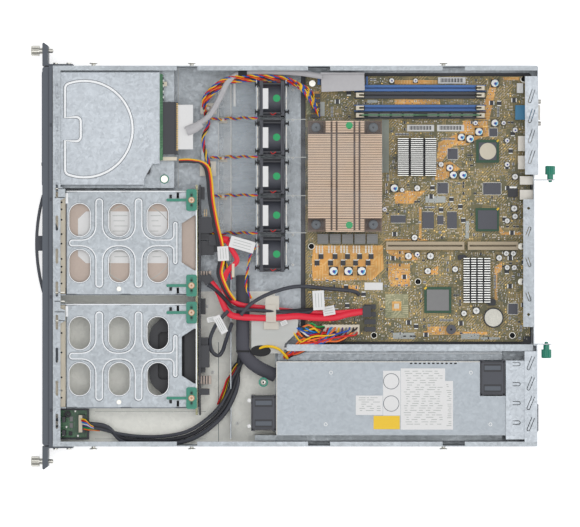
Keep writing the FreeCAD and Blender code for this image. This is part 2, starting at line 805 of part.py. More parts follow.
def rib_tree():
    """The outline of the raised rib on a cage: a spine with two long arms and a short one."""
    spine, arm, short = 4, 50.5, 23.8
    right = [
        (spine, -250, 3.9), (spine, -220.3, 15), (arm, -220.3, 4.4), (arm, -211.3, 4.4),
        (spine, -211.3, 15), (spine, -175.9, 15), (arm, -175.9, 4.4), (arm, -166.9, 4.4),
        (spine, -166.9, 15), (spine, -132.3, 5), (short, -132.3, 2.4), (short, -127.3, 2.4),
    ]
    left = [(-x, y, radius) for x, y, radius in reversed(right)]
    return right + left


def drive_cage(bay):
    """One drive cage: a folded cover with windows, ribs and fold reliefs."""
    body = new_body("cage")
    half = D.bay_width / 2
    top = D.bay_top
    under = top - D.gauge
    front = -266
    profile = [
        (-half, D.gauge), (1 - half, D.gauge), (1 - half, under), (half - 1, under),
        (half - 1, D.gauge), (half, D.gauge), (half, top), (-half, top),
    ]
    pad(body, "XZ", (front, D.bay_rear), [profile])
    mouth = rectangle(1 - half, front - 1, half - 1, -253)
    rear_notch = [(-31, -105), (-31, -108.7), (-22, -122.6), (22, -122.6), (31, -108.7), (31, -105)]
    clip_holes = [rectangle(-57, -128.4, -50.2, -125.6), rectangle(50.2, -128.4, 57, -125.6)]
    windows = []
    for row in WINDOW_ROWS:
        windows += [slot(side * WINDOW_SIDE, row, 36.7, 23.5) for side in (-1, 1)]
    pocket(body, "XY", (under, top), [mouth, rear_notch] + clip_holes + windows)
    reliefs = []
    for near, far in RELIEFS:
        reliefs.append(rectangle(half - 1.6, near, half + 1, far))
        reliefs.append(rectangle(-half - 1, near, 1.6 - half, far))
    pocket(body, "XY", (top - 3, top), reliefs)
    pad(body, "XY", (top, top + 0.6), [rib_tree()])
    body.Placement.Base = Vector(bay, 0, 0)
    body.setExpression("Placement.Base.x", bay.text)
    return body


HANDLE_PIVOT = (-67.2, -276.6)
HANDLE_PIN = 1.5


def drive_carrier():
    """The sliding carrier of the left bay: front block, side rails and tray."""
    body = new_body("drive_carrier")
    half = D.bay_width / 2 - 1.6
    front = D.bezel_front
    pad(body, "XY", (3, 36), [rectangle(-half, front, half, front + 11.6)])
    # the handle's hinge recess, open to the side that its heel swings to, and its pin's seats
    recess = (6, 33)
    pocket(body, "XY", recess, [rectangle(-half - 1, front - 1, 10.6 - half, front + 7)])
    seat = Disc(HANDLE_PIVOT[0] - D.first_bay, HANDLE_PIVOT[1], HANDLE_PIN + 0.15)
    pocket(body, "XY", (recess[0] - 1.8, recess[1] + 1.8), [seat])
    inlets = [rectangle(x, 8, x + 12, 31, 2) for x in range(-40, 36, 16)]
    pocket(body, "XZ", (front - 1, front + 3), inlets)
    holes = [rectangle(x + 2, 10, x + 10, 29, 2) for x in range(-40, 36, 16)]
    pocket(body, "XZ", (front + 3, front + 12), holes)
    pad(body, "XY", (3, 4.6), [rectangle(-half, front + 11.6, half, -108)])
    rails = [
        rectangle(-half, front + 11.6, 3.8 - half, -108),
        rectangle(half - 3.8, front + 11.6, half, -108),
    ]
    pad(body, "XY", (4.6, 16), rails)
    lip = rectangle(-half, front + 11.6, half, front + 26)
    pad(body, "XY", (34.5, 36), [lip])
    dimples = [Disc(x, front + 21.5, 1.1) for x in (-38, -10, 18, 33)]
    pocket(body, "XY", (34.5, 36), dimples)
    pocket(body, "XY", (3, 4.6), [rectangle(-40, -235, 40, -150, 4)])
    body.Placement.Base = Vector(D.first_bay, 0, 0)
    body.setExpression("Placement.Base.x", D.first_bay.text)
    return subpart("drive_carrier", body)


def hard_drive():
    """A 3.5 inch drive: cast base, raised cover plate, circuit board and rear connector."""
    body = new_body("hard_drive")
    half = D.drive_width / 2
    rear = BLANK_REAR
    front = rear - D.drive_length
    low = 6.6
    top = low + D.drive_height
    pad(body, "XY", (low, top - 1.4), [rectangle(-half, front, half, rear)])
    cover = [
        (-half + 2, front + 12, 5), (-half + 12, front + 2, 5), (half - 12, front + 2, 5),
        (half - 2, front + 12, 5), (half - 2, rear - 20, 5), (half - 14, rear - 14, 5),
        (14 - half, rear - 14, 5), (2 - half, rear - 20, 5),
    ]
    pad(body, "XY", (top - 1.4, top), [cover])
    pocket(body, "XY", (low, low + 8), [rectangle(-20, rear - 6, 24, rear + 1)])
    side_holes = [Disc(y, low + 6.4, 1.6) for y in (front + 28.5, front + 70, front + 130)]
    pocket(body, "YZ", (half - 3, half + 1), side_holes)
    pads = [rectangle(x - 4, y - 4, x + 4, y + 4) for x in (-46, 46) for y in (front + 20, rear - 20)]
    pad(body, "XY", (4.6, low), pads)
    body.Placement.Base = Vector(D.first_bay, 0, 0)
    body.setExpression("Placement.Base.x", D.first_bay.text)
    return subpart("hard_drive", body)


HANDLE_MIDDLE = -14.5


def carrier_handle():
    """The bowed handle across the carrier, with its hub and pivot pin at its left end."""
    reach, bow, band = 57.2, 8.3, 2.6
    radius = (reach ** 2 + bow ** 2) / (2 * bow)
    face = D.bezel_front - 0.4
    centre = (HANDLE_MIDDLE, face + (radius - bow), 8)
    height = 22
    z = (8, 8 + height)
    outer = rod("Z", centre, height, radius)
    inner = rod("Z", centre, height, radius - band)
    ahead = block((HANDLE_MIDDLE - reach + 2.5, HANDLE_MIDDLE + reach), (face - 10, face), z)
    shell = cut(shared(outer, ahead), [inner])
    plate = shared(rod("Z", centre, height, radius - band / 2), block(
        (HANDLE_MIDDLE - 8.5, HANDLE_MIDDLE + 8.5), (face - 10, face), z))
    grip_end = shared(rod("Z", centre, height, radius - band / 2), block(
        (HANDLE_MIDDLE + 42, HANDLE_MIDDLE + reach), (face - 10, face), z))
    root = shared(rod("Z", centre, height, radius - band / 2), block(
        (HANDLE_PIVOT[0] - 2, HANDLE_MIDDLE - 42), (face - 10, face), z))
    hub = rod("Z", (HANDLE_PIVOT[0], HANDLE_PIVOT[1], 6.15), 26.7, 3)
    pin = rod("Z", (HANDLE_PIVOT[0], HANDLE_PIVOT[1], 4.4), 30.2, HANDLE_PIN)
    neck = block((HANDLE_PIVOT[0] - 2, HANDLE_PIVOT[0] + 3), (face - 1, HANDLE_PIVOT[1]), z)
    return subpart("carrier_handle", joined([shell, plate, grip_end, root, hub, pin, neck]))


BLANK_REAR = -107.4


def drive_blank():
    """The filler of the right bay: front block, two side arms and a rear cross piece."""
    body = new_body("drive_blank")
    half = D.bay_width / 2 - 1.6
    front = D.bezel_front
    pad(body, "XY", (3, 36), [rectangle(-half, front, half, front + 11.6)])
    louvres = [rectangle(x, 8, x + 12, 31, 2) for x in range(-46, 36, 16)]
    pocket(body, "XZ", (front - 1, front + 3), louvres)
    holes = [rectangle(x + 2, 10, x + 10, 29, 2) for x in range(-46, 36, 16)]
    pocket(body, "XZ", (front + 3, front + 12), holes)
    arms = [
        rectangle(-half, front + 11.6, 3 - half, BLANK_REAR),
        rectangle(half - 3, front + 11.6, half, BLANK_REAR),
    ]
    pad(body, "XY", (3, 17), arms)
    bar = [
        (-half, BLANK_REAR), (half, BLANK_REAR), (half, -128, 8), (31, -160, 22), (-31, -160, 22),
        (-half, -128, 8),
    ]
    pad(body, "XY", (3, 17), [bar])
    pocket(body, "XY", (6, 17), [rectangle(-27, -150, 27, -120, 5)])
    lip = rectangle(-half, front + 11.6, half, front + 26)
    pad(body, "XY", (34.5, 36), [lip])
    dimples = [Disc(x, front + 21.5, 1.1) for x in (-48, -4, 24, 39)]
    pocket(body, "XY", (34.5, 36), dimples)
    body.Placement.Base = Vector(D.second_bay, 0, 0)
    body.setExpression("Placement.Base.x", D.second_bay.text)
    return subpart("drive_blank", body)


BOARD_CLIPS = (("clip_1", -63.3), ("clip_2", 33.3), ("clip_3", 63.8), ("clip_4", 160.4))
CLIP_ROW = -111.5


def board_clip(label, x):
    """A turning clip with a long arm that holds the backplane down on a cage."""
    body = new_body(label)
    low, high = D.bay_top + 0.2, D.bay_top + 3
    pad(body, "XY", (low, high), [rectangle(-12.3, -6, 12.3, 6, 2.4)])
    pad(body, "XY", (low, high - 1), [rectangle(-1.6, -28.3, 1.6, -5, 1.2)])
    pocket(body, "XY", (high - 1, high), [Disc(-8, 0, 1.5), Disc(8, 0, 1.5)])
    pocket(body, "XY", (low, high), [Disc(0, 0, 2.2)])
    place(body, x, CLIP_ROW, 0)
    return subpart(label, body)


def backplane():
    """The drives' backplane: an upright circuit board with sockets on both faces."""
    body = new_body("backplane_board")
    face = (-103, -101.4)
    pad(body, "XZ", face, [rectangle(-80.6, D.gauge, 179.8, 37)])
    vents = [rectangle(x, 20, x + 22, 33, 2) for x in (-56, -28, 0, 80, 108, 136)]
    pocket(body, "XZ", face, vents)
    rear = -101.4
    sockets = [
        block((-44, -26), (rear, rear + 13), (24, 36)),
        block((-17, -1), (rear, rear + 15), (14, 30)),
        block((21.5, 28), (rear, rear + 12), (22, 34)),
        block((101, 126), (rear, rear + 10), (16, 34)),
        block((150, 157), (rear, rear + 10), (22, 34)),
    ]
    for bay in (D.first_bay, D.second_bay):
        sockets.append(block((bay - 16, bay + 20), (-106.8, -103), (7.6, 13.6)))
    return subpart("backplane", group([body] + sockets))


# ---------------------------------------------------------------------------
# Optical drive
# ---------------------------------------------------------------------------

DISC_PLACE = (-143.4, -232.6)


def optical_bracket():
    """The raised shelf that carries the optical drive over the front air inlet."""
    body = new_body("optical_bracket")
    left, right = -211, -77
    shelf = (D.optical_floor - D.gauge, D.optical_floor)
    profile = [
        (left, D.gauge), (left + 1, D.gauge), (left + 1, shelf[0]), (right - 1, shelf[0]),
        (right - 1, D.gauge), (right, D.gauge), (right, shelf[1]), (left, shelf[1]),
    ]
    pad(body, "XZ", (-266.5, -131.3), [profile])
    pad(body, "XY", (shelf[1], shelf[1] + 1.2), [rectangle(-96, -146.8, right, -131.3, 2)])
    pocket(body, "XY", (shelf[1], shelf[1] + 1.2), [Disc(-92.6, -143.4, 1.4)])
    windows = [rectangle(x, 5, x + 26, 20, 3) for x in (-256, -222, -188)]
    pocket(body, "YZ", (left - 1, right + 1), windows)
    return subpart("optical_bracket", body)


def optical_drive():
    """The slim drive's case: a thin folded box with a raised disc outline on its cover."""
    body = new_body("optical_drive")
    left, right = around(D.optical_middle, D.optical_width)
    front = -274.5
    rear = front + D.optical_length
    low, high = D.optical_floor, D.optical_roof
    plan = [
        (left, front), (right, front), (right, rear - 17.5), (right - 7.5, rear - 17.5),
        (right - 24.4, rear - 7.9), (right - 24.4, rear), (left, rear),
    ]
    pad(body, "XY", (low, high), [plan])
    pocket(body, "XZ", (front - 1, -155), [rectangle(left + 0.6, low + 0.6, right - 8.4, high - 0.6)])
    pocket(body, "XZ", (front - 1, -166), [rectangle(right - 9, low + 0.6, right - 0.6, high - 0.6)])
    disc_x, disc_y = DISC_PLACE
    flat = -255.6
    radius = 55.7
    ring = shared_disc_outline(disc_x, disc_y, radius, flat)
    feature = body.newObject("PartDesign::Pad", "raised_disc")
    feature.Profile = ring_sketch(body, high, ring)
    feature.Length = 0.5
    body.Tip = feature
    tab = rectangle(disc_x - 12.5, flat - 1, disc_x + 12.6, -237.8, 4)
    tab[0] = (disc_x - 12.5, flat - 1, 0)
    tab[1] = (disc_x + 12.6, flat - 1, 0)
    pocket(body, "XY", (high, high + 0.5), [tab])
    return subpart("optical_drive", body)


def shared_disc_outline(x, y, radius, flat):
    """Line, corner fillets and arc of a disc outline that is cut by a flat edge."""
    corner = 7.0
    rise = flat + corner - y
    reach = math.sqrt((radius - corner) ** 2 - rise ** 2)
    centres = [Vector(x + side * reach, flat + corner, 0) for side in (-1, 1)]
    angle = math.atan2(rise, reach)
    up = Vector(0, 0, 1)
    big = Part.ArcOfCircle(Part.Circle(Vector(x, y, 0), up, radius), angle, math.pi - angle)
    quarter = math.pi * 1.5
    right = Part.ArcOfCircle(Part.Circle(centres[1], up, corner), quarter, 2 * math.pi + angle)
    left = Part.ArcOfCircle(Part.Circle(centres[0], up, corner), math.pi - angle, quarter)
    edge = Part.LineSegment(Vector(x - reach, flat, 0), Vector(x + reach, flat, 0))
    return [edge, right, big, left]


def ring_sketch(body, level, pieces):
    """A sketch of a closed loop of given curves, joined end to end and held as drawn."""
    sketch = new_sketch(body, "XY", level, [])
    numbers = sketch.addGeometry(pieces)
    for index, number in enumerate(numbers):
        following = numbers[(index + 1) % len(numbers)]
        sketch.addConstraint(Sketcher.Constraint("Coincident", number, 2, following, 1))
    for number in numbers:
        sketch.addConstraint(Sketcher.Constraint("Block", number))
    return sketch


def optical_tray():
    """The disc tray with its front strip, disc recess and hub."""
    body = new_body("optical_tray")
    left, right = around(D.optical_middle, D.optical_width)
    front = D.bezel_front - 0.6
    low, high = D.optical_floor + 1.6, D.optical_roof - 1.8
    pad(body, "XZ", (front, front + 3.4), [rectangle(left + 0.3, 27.4, right - 0.3, 40.2, 1.5)])
    pad(body, "XY", (low, high), [rectangle(left + 2, front + 3.4, right - 12, -158, 4)])
    tray_x, tray_y = (left + right) / 2 - 4, front + 66
    pocket(body, "XY", (high - 3, high), [Disc(tray_x, tray_y, 56.5)])
    pad(body, "XY", (high - 3, high - 0.6), [Disc(tray_x, tray_y, 16)])
    pad(body, "XY", (high - 0.6, high + 0.6), [Disc(tray_x, tray_y, 7.2)])
    hole = Disc(right - 24, 33.8 - 2.6, 2.2)
    pocket(body, "XZ", (front, front + 3.4), [hole])
    return subpart("optical_tray", body)


def eject_button():
    """The small eject button in the tray's front strip."""
    right = D.optical_middle + D.optical_width / 2
    cap = rod("Y", (right - 24, D.bezel_front - 1.4, 31.2), 3.2, 1.9)
    return subpart("eject_button", cap)


def optical_adapter():
    """The small upright board behind the optical drive, with its three plugs."""
    rear = -147.4
    board = block((-206, -108), (rear, rear + 1.6), (D.optical_floor, 40))
    back = rear + 1.6
    pieces = [board]
    pieces.append(block((-174, -115), (back, back + 15), (30, 38)))
    pieces.append(block((-112, -108), (back, back + 17.6), (29.5, 36)))
    pieces.append(block((-197, -192), (back, back + 6.5), (31, 36)))
    return subpart("optical_adapter", group(pieces))


# ---------------------------------------------------------------------------
# Fans and air guides
# ---------------------------------------------------------------------------

FAN_COUNT = 5
BORE_RADIUS = 19
SUPPLY_FANS = (("psu_rotor_front", 177.4, -44.2), ("psu_rotor_rear", 137.5, 214.6))
SUPPLY_FAN_FLOOR = 1


def fan_bracket():
    """The tray that holds the fan row: base, two pierced walls and their rivets."""
    body = new_body("fan_bracket")
    left, right = -199, 16.4
    base = (D.gauge, D.fan_floor)
    pad(body, "XY", base, [rectangle(left, -66, right, 7)])
    walls = ((-38.7, -37.7), (-5.3, -4.3))
    fans = [D.first_fan + D.fan_pitch * index for index in range(FAN_COUNT)]
    middle = D.fan_floor + D.fan_size / 2
    for wall in walls:
        pad(body, "XZ", wall, [rectangle(left, D.fan_floor, right, 41)])
        pocket(body, "XZ", wall, [Disc(fan, middle, 18) for fan in fans])
        notches = [rectangle(fan + 18, 34, fan + 26, 42) for fan in fans[:-1]]
        pocket(body, "XZ", wall, notches)
    pad(body, "XY", (D.fan_floor, D.fan_floor + 0.8), [Disc(x, 3, 2.4) for x in FAN_RIVETS])
    return subpart("fan_bracket", body)


FAN_RIVETS = (-188.8, -154.7, -111.5, -68.3, -24, 10)


def fan_frame(x, y, z):
    """One 40 mm fan frame in its own place: two flanges, barrel, motor mount and struts."""
    size, length = D.fan_size, D.fan_length
    half = size / 2
    flange = 4
    front = block((-half, half), (0, flange), (0, size))
    rear = block((-half, half), (length - flange, length), (0, size))
    barrel = rod("Y", (0, 0, half), length, half - 0.2)
    pierced = cut(joined([front, barrel, rear]), [rod("Y", (0, -1, half), length + 2, BORE_RADIUS)])
    mount = rod("Y", (0, length - 3, half), 3, 9.5)
    struts = [
        block((-half + 0.6, half - 0.6), (length - 2.4, length - 0.4), (half - 1, half + 1)),
        block((-1, 1), (length - 2.4, length - 0.4), (0.6, size - 0.6)),
    ]
    bearing = rod("Y", (0, length - 4, half), 3, 1.6)
    frame = cut(joined([pierced, mount] + struts), [bearing])
    return place(frame, x, y, z)


def fan_frames():
    """The frames of the five chassis fans and the two power supply fans."""
    frames = []
    for index in range(FAN_COUNT):
        frames.append(fan_frame(D.first_fan + D.fan_pitch * index, D.fan_front, D.fan_floor))
    for _, x, y in SUPPLY_FANS:
        frames.append(fan_frame(x, y, SUPPLY_FAN_FLOOR))
    return subpart("fan_frames", group(frames))


def blade_section(body, radius, sweep, chord):
    """A blade's section at one radius: a thin cambered strip set at an angle."""
    front, rear = 4, 4 + chord
    middle = (front + rear) / 2
    thick = 0.9
    camber = sweep * 0.22
    corners = [
        (-sweep / 2, front), (-sweep / 2 + thick, front), (camber + thick, middle),
        (sweep / 2 + thick, rear), (sweep / 2, rear), (camber, middle),
    ]
    return new_sketch(body, "XY", radius, [corners])


def fan_rotor(label, x, y, z):
    """A fan's rotor: hub cup with shaft and seven cambered blades."""
    body = new_body(label)
    hub = 9.5
    turned(body, [(0, 2), (hub - 1, 2), (hub, 3), (hub, 24.4), (1.5, 24.4), (1.5, 26.6), (0, 26.6)])
    loft = body.newObject("PartDesign::AdditiveLoft", "blade")
    loft.Profile = blade_section(body, hub - 1.2, 8.5, 16)
    loft.Sections = [blade_section(body, BORE_RADIUS - 2.8, 14, 18)]
    loft.Ruled = True
    body.Tip = loft
    round_about(body, [loft], 7)
    place(body, x, y, z + D.fan_size / 2)
    return subpart(label, body)


def air_duct():
    """The clear guides: a folded film before the fans and the cover from fans to heat sink."""
    film = 0.5
    baffle = new_body("inlet_baffle")
    floor = D.gauge
    fold = [
        (-82, floor), (-67, floor), (-66.2, 3.2), (-39, 6.4), (-39, 6.4 + film), (-66.6, 3.2 + film),
        (-67.4, floor + film), (-82, floor + film),
    ]
    pad(baffle, "YZ", (-199, 6), [fold])
    duct = new_body("duct_cover")
    left, right = -154.8, -26.1
    roof = (39.2, 39.2 + film)
    pad(duct, "XY", roof, [rectangle(left, -4.3, right, 105, 1)])
    sides = [
        rectangle(left, -4.2, left + film, 105),
        rectangle(right - film, -4.2, right, 105),
    ]
    pad(duct, "XY", (D.board_under + D.board_gauge, roof[0]), [
        rectangle(left, 18, left + film, 105), rectangle(right - film, 18, right, 105),
    ])
    pad(duct, "XY", (22, roof[0]), sides)
    vanes = [rectangle(x, -4.2, x + film, 19.5) for x in (-112, -68.6)]
    pad(duct, "XY", (20, roof[0]), vanes)
    return subpart("air_duct", group([baffle, duct]))


# ---------------------------------------------------------------------------
# Motherboard
# ---------------------------------------------------------------------------

SOCKET_COLUMNS = (-190.4, -182.3, -167.8, -159.4)
MODULE_COLUMN = -159.4
SOCKET_SPAN = (84.4, 210.1)
LATCH_PIVOTS = (80, 214.5)
LATCH_HEIGHT = 13
TRUNNION = 1


def board_top():
    """The upper face of the motherboard."""
    return D.board_under + D.board_gauge


def board_insulator():
    """The black sheet between the chassis floor and the motherboard."""
    body = new_body("board_insulator")
    plan = rectangle(-208.2, 12, 101.6, 274, 4)
    pad(body, "XY", (D.gauge, D.gauge + 0.5), [plan] + [Disc(x, y, 3.4) for x, y in STANDOFFS])
    return subpart("board_insulator", body)


def motherboard():
    """The bare motherboard with its mounting holes and corner steps."""
    body = new_body("motherboard")
    plan = [
        (D.board_left, D.board_front, 2), (D.board_right, D.board_front, 2),
        (D.board_right, D.board_rear - 8, 1), (D.board_right - 6, D.board_rear - 8, 1),
        (D.board_right - 6, D.board_rear, 1), (D.board_left, D.board_rear, 2),
    ]
    holes = [Disc(x, y, 1.9) for x, y in STANDOFFS]
    pad(body, "XY", (D.board_under, board_top()), [plan] + holes)
    return subpart("motherboard", body)


def cpu_heatsink():
    """The CPU's copper heat sink: one base, a row of fins, and steps for the corner screws."""
    body = new_body("cpu_heatsink")
    left, right, front, rear = D.sink_left, D.sink_right, D.sink_front, D.sink_rear
    base_top = D.sink_base + 3
    fin, fins = 0.6, 43
    pad(body, "XY", (D.sink_base, base_top), [rectangle(left, front, right, rear, 2)])
    first = pad(body, "XY", (base_top, D.sink_top), [rectangle(left, front, left + fin, rear)])
    in_a_row(body, [first], "X", right - left - fin, fins)
    corners = []
    for x0, x1 in ((left - 1, left + 14), (right - 14, right + 1)):
        for y0, y1 in ((front - 1, front + 20), (rear - 20, rear + 1)):
            corners.append(rectangle(x0, y0, x1, y1))
    pocket(body, "XY", (base_top, D.sink_top), corners)
    lines = [rectangle(left - 1, y, right + 1, y + 0.8) for y in (46.3, 52.1, 72.2, 77.9)]
    pocket(body, "XY", (D.sink_top - 1.2, D.sink_top), lines)
    holes = [Disc(x, y, 2.2) for x, y in SINK_SCREWS]
    pocket(body, "XY", (D.sink_base, base_top), holes)
    return subpart("cpu_heatsink", body)


SINK_SCREWS = ((-145.7, 29.3), (-35.9, 29.3), (-145.7, 94), (-35.9, 94))


def chipset_heatsinks():
    """Two small pin heat sinks on the chipset, cut from finned bars."""
    low = board_top() + 2.4
    north = new_body("north_sink")
    pad(north, "XY", (low, low + 2), [rectangle(-133.4, 121.8, -91, 165.3, 1)])
    fin = pad(north, "XY", (low + 2, low + 15), [rectangle(-133.4, 121.8, -132.5, 165.3)])
    in_a_row(north, [fin], "X", 41.5, 19)
    pocket(north, "XY", (low + 2, low + 15), [rectangle(-135, y, -90, y + 2.6) for y in (134, 150.4)])
    south = new_body("south_sink")
    plan = [
        (2.2, 196.3), (6, 190, 2), (-1.5, 190, 2), (-1.5, 198), (2.2, 202), (2.2, 226.7),
        (48, 226.7), (49, 233, 2), (56, 233, 2), (56, 226), (52.6, 220), (52.6, 196.3),
    ]
    pad(south, "XY", (low, low + 2), [plan])
    fin = pad(south, "XY", (low + 2, low + 11), [rectangle(2.2, 196.3, 3.3, 226.7)])
    in_a_row(south, [fin], "X", 49.3, 19)
    gaps = [rectangle(1, y, 54, y + 1.8) for y in (203.2, 210.6, 218)]
    pocket(south, "XY", (low + 2, low + 11), gaps)
    return subpart("chipset_heatsinks", group([north, south]))


def memory_socket(column):
    """One memory socket: grooved bar with a forked end and round seats for each latch."""
    board = board_top()
    front, rear = SOCKET_SPAN
    bar = block(around(column, 7.2), (front, rear), (board, board + 8.4))
    groove = block(around(column, 1.8), (front - 1, rear + 1), (board + 3, board + 9))
    cheeks = []
    for near, far in ((front - 12, front), (rear, rear + 12)):
        for low, high in ((column - 3.6, column - 2.8), (column + 2.8, column + 3.6)):
            cheeks.append(block((low, high), (near, far), (board, board + 8.4)))
    seats = [rod("X", (column - 4, pivot, LATCH_HEIGHT), 8, TRUNNION + 0.15) for pivot in LATCH_PIVOTS]
    return cut(joined([bar] + cheeks), [groove] + seats)


def memory_sockets():
    """The four memory sockets in two pairs."""
    return subpart("memory_sockets", group([memory_socket(column) for column in SOCKET_COLUMNS]))


def latches(label, pivot, outward):
    """The latches at one end of the four memory sockets, forked, with a round pivot each."""
    board = board_top()

    def span(near, far):
        """A stretch along Y, measured outwards from the latches' pivot."""
        ends = (pivot + outward * near, pivot + outward * far)
        return min(ends), max(ends)

    pieces = []
    for column in SOCKET_COLUMNS:
        paddle = block(around(column, 5), span(-3.4, 5.5), (board + 3, board + 18.4))
        trunnion = rod("X", (column - 3.4, pivot, LATCH_HEIGHT), 6.8, TRUNNION)
        slit = block(around(column, 2), span(-4, 2), (board + 2, board + 19))
        scoop = block(around(column, 6), span(3, 6), (board + 8, board + 13))
        pieces.append(cut(joined([paddle, trunnion]), [slit, scoop]))
    return subpart(label, group(pieces))


def memory_module():
    """One memory module: board edge in the socket, chips on both faces."""
    board = board_top()
    middle = (SOCKET_SPAN[0] + SOCKET_SPAN[1]) / 2
    length, low = 133.35, board + 3.2
    pcb = block(around(MODULE_COLUMN, 1.27), around(middle, length), (low, low + 29.6))
    chips = []
    for index in range(9):
        if index == 4:
            continue
        row = middle + (index - 4) * 13.4
        chips.append(block(around(MODULE_COLUMN, 3.6), around(row, 10.6), (low + 13, low + 24.5)))
    return subpart("memory_module", joined([pcb] + chips))


CAPACITORS = (
    (-199, 142, 2.6, 6), (-196, 232, 4.5, 10), (-151, 232, 4.1, 10), (-141, 214, 4.5, 10),
    (-135, 194, 4.1, 8), (-133, 204, 4.5, 10), (-100, 181, 3.9, 8), (-92, 185, 4.2, 8),
    (-92, 196, 4.5, 10), (-77, 118, 4.5, 10), (-77, 144, 3.4, 7), (-90, 255, 3.4, 8),
    (-21, 141, 3.4, 7), (-54, 254, 3.6, 8), (-45, 255, 3.2, 8), (0, 134, 3.9, 8), (0, 159, 3.9, 8),
    (17, 156, 3.6, 8), (15, 187, 3.4, 8), (2, 237, 3.4, 8), (65, 197, 3.2, 8), (62, 211, 3.9, 8),
    (17, 49, 5, 12), (17, 66, 5, 12), (17, 81, 5, 12),
)


def capacitors():
    """The larger aluminium capacitors, standing on the board."""
    cans = [rod("Z", (x, y, board_top()), height, radius) for x, y, radius, height in CAPACITORS]
    return subpart("capacitors", group(cans))


CHIPS = (
    ("bridge_left", -132, -106, 211, 237, 2.2),
    ("bridge_middle", -54.5, -28, 210.3, 237, 2.2),
    ("graphics", 35, 64.7, 152, 182.8, 2.2),
    ("controller", -83, -70, 219, 239, 1.6),
    ("flash_front", -50, -31.5, 150, 163, 1.4),
    ("flash_rear", -50, -31.5, 178, 189, 1.4),
    ("driver", -46, -38, 114, 131, 1.4),
    ("network_left", -83, -71, 167, 179, 1.4),
    ("network_middle", -122, -110, 178.6, 190, 1.4),
    ("network_right", -145, -136, 226, 235, 1.4),
    ("clock", 54, 66, 247.5, 258, 1.6),
)
CHOKE_ROWS = (30.8, 44.8, 58.8, 72.8, 86.8)


def board_chips():
    """The processor in its socket, the bridge chips, flat packages, chokes and buzzer."""
    board = board_top()
    pieces = []
    for _, left, right, front, rear, height in CHIPS:
        pieces.append(block((left, right), (front, rear), (board, board + height)))
    pieces.append(block((-112, -69), (41, 83), (board, board + 3.4)))
    pieces.append(block((-108, -73), (45, 79), (board + 3.4, D.sink_base)))
    pieces.append(block((-130, -94.4), (125.5, 161.5), (board, board + 2.4)))
    pieces.append(block((9.5, 45), (198, 225), (board, board + 2.4)))
    for row in CHOKE_ROWS:
        pieces.append(block((-25, -14), (row, row + 12.4), (board, board + 8)))
    pieces.append(rod("Z", (83.2, 182.5, board), 8, 5.5))
    return subpart("board_chips", group(pieces))


def coin_cell():
    """The clock battery, held flat over the board by its holder."""
    board = board_top()
    x, y = 69.9, 230.6
    holder = cut(
        rod("Z", (x, y, board), 4.2, 11.4),
        [
            rod("Z", (x, y, board + 1.2), 4, 10.1),
            block((x + 2, x + 12), (y - 5, y + 5), (board + 1.2, board + 5)),
        ],
    )
    cell = rod("Z", (x, y, board + 1.2), 3.2, 10)
    return subpart("coin_cell", group([holder, cell]))


def board_connectors():
    """Riser sockets, power socket, disk sockets and the ribbon's socket."""
    board = board_top()
    pieces = []
    for front, rear in ((108.7, 197.2), (201.2, 258.2)):
        bar = block((-16.4, -7), (front, rear), (board, board + 11.3))
        pieces.append(cut(bar, [block((-12.7, -10.7), (front + 2, rear - 2), (board + 3, board + 12))]))
    power = block((77.7, 88.9), (36, 78.5), (board, board + 10))
    cells = []
    for column in (80.7, 85.9):
        for index in range(10):
            row = 38.4 + 4.19 * index
            cells.append(block(around(column, 3.2), around(row, 3.2), (board + 4, board + 11)))
    pieces.append(cut(power, cells))
    for x in (57.5, 66, 74.5, 83):
        pieces.append(block(around(x, 5.4), (84, 97), (board, board + 8)))
    pieces.append(block((-203.6, -194.4), (31, 88), (board, board + 9)))
    pieces.append(block((-196, -185), (257, 264), (board, board + 9)))
    for index in range(5):
        left = -184 + 5.8 * index
        pieces.append(block((left, left + 4), (24, 34), (board, board + 8)))
    return subpart("board_connectors", group(pieces))


def mains_inlet():
    """The mains inlet: a recessed body with three blades, fixed in the rear wall."""
    body = new_body("mains_inlet")
    x, z = INLET_MIDDLE, 20.5
    face = D.chassis_rear
    pad(body, "XZ", (face - 22, face), [rectangle(x - 13.6, z - 10.6, x + 13.6, z + 10.6, 2.6)])
    pad(body, "XZ", (face, face + 1.6), [rectangle(x - 15.4, z - 12.4, x + 15.4, z + 12.4, 3)])
    recess = [
        (x - 12, z - 8, 2), (x + 12, z - 8, 2), (x + 12, z + 4), (x + 8, z + 8), (x - 8, z + 8),
        (x - 12, z + 4),
    ]
    pocket(body, "XZ", (face - 18, face + 2), [recess])
    blades = [rectangle(x + dx - 1, z - 3, x + dx + 1, z + 1) for dx in (-7, 7)]
    blades.append(rectangle(x - 1, z, x + 1, z + 4))
    pad(body, "XZ", (face - 18.5, face - 6), blades)
    return body


def rear_ports():
    """The sockets on the rear: video, two network jacks, two USB stacks and the mains inlet."""
    board = board_top()
    pieces = [mains_inlet()]
    x = VGA_MIDDLE
    video = block((x - 8.2, x + 8.2), (255, 278.6), (board, board + 11))
    shell = block((x - 8.4, x + 8.4), (278.6, 283.4), (board + 1.6, board + 10.4))
    pieces.append(joined([video, shell]))
    for side in (-12.5, 12.5):
        pieces.append(rod("Y", (x + side, REAR_FACE_LEFT, board + 6), 4.2, 2.5))
    for left, right in LANS:
        jack = block((left, right), (258, 280.6), (board, board + 13.6))
        mouth = block((left + 2, right - 2), (266, 281), (board + 3, board + 11.4))
        pieces.append(cut(jack, [mouth]))
    for left, right in USBS:
        stack = block((left, right), (260, BRACKET_FACE), (board, board + 15.4))
        slots = []
        for low in (1.2, 8.8):
            slots.append(block((left + 1.6, left + 3.4), (266, 276), (board + low, board + low + 5.4)))
            slots.append(block((right - 3.4, right - 1.6), (266, 276), (board + low, board + low + 5.4)))
        pieces.append(cut(stack, slots))
    return subpart("rear_ports", group(pieces))


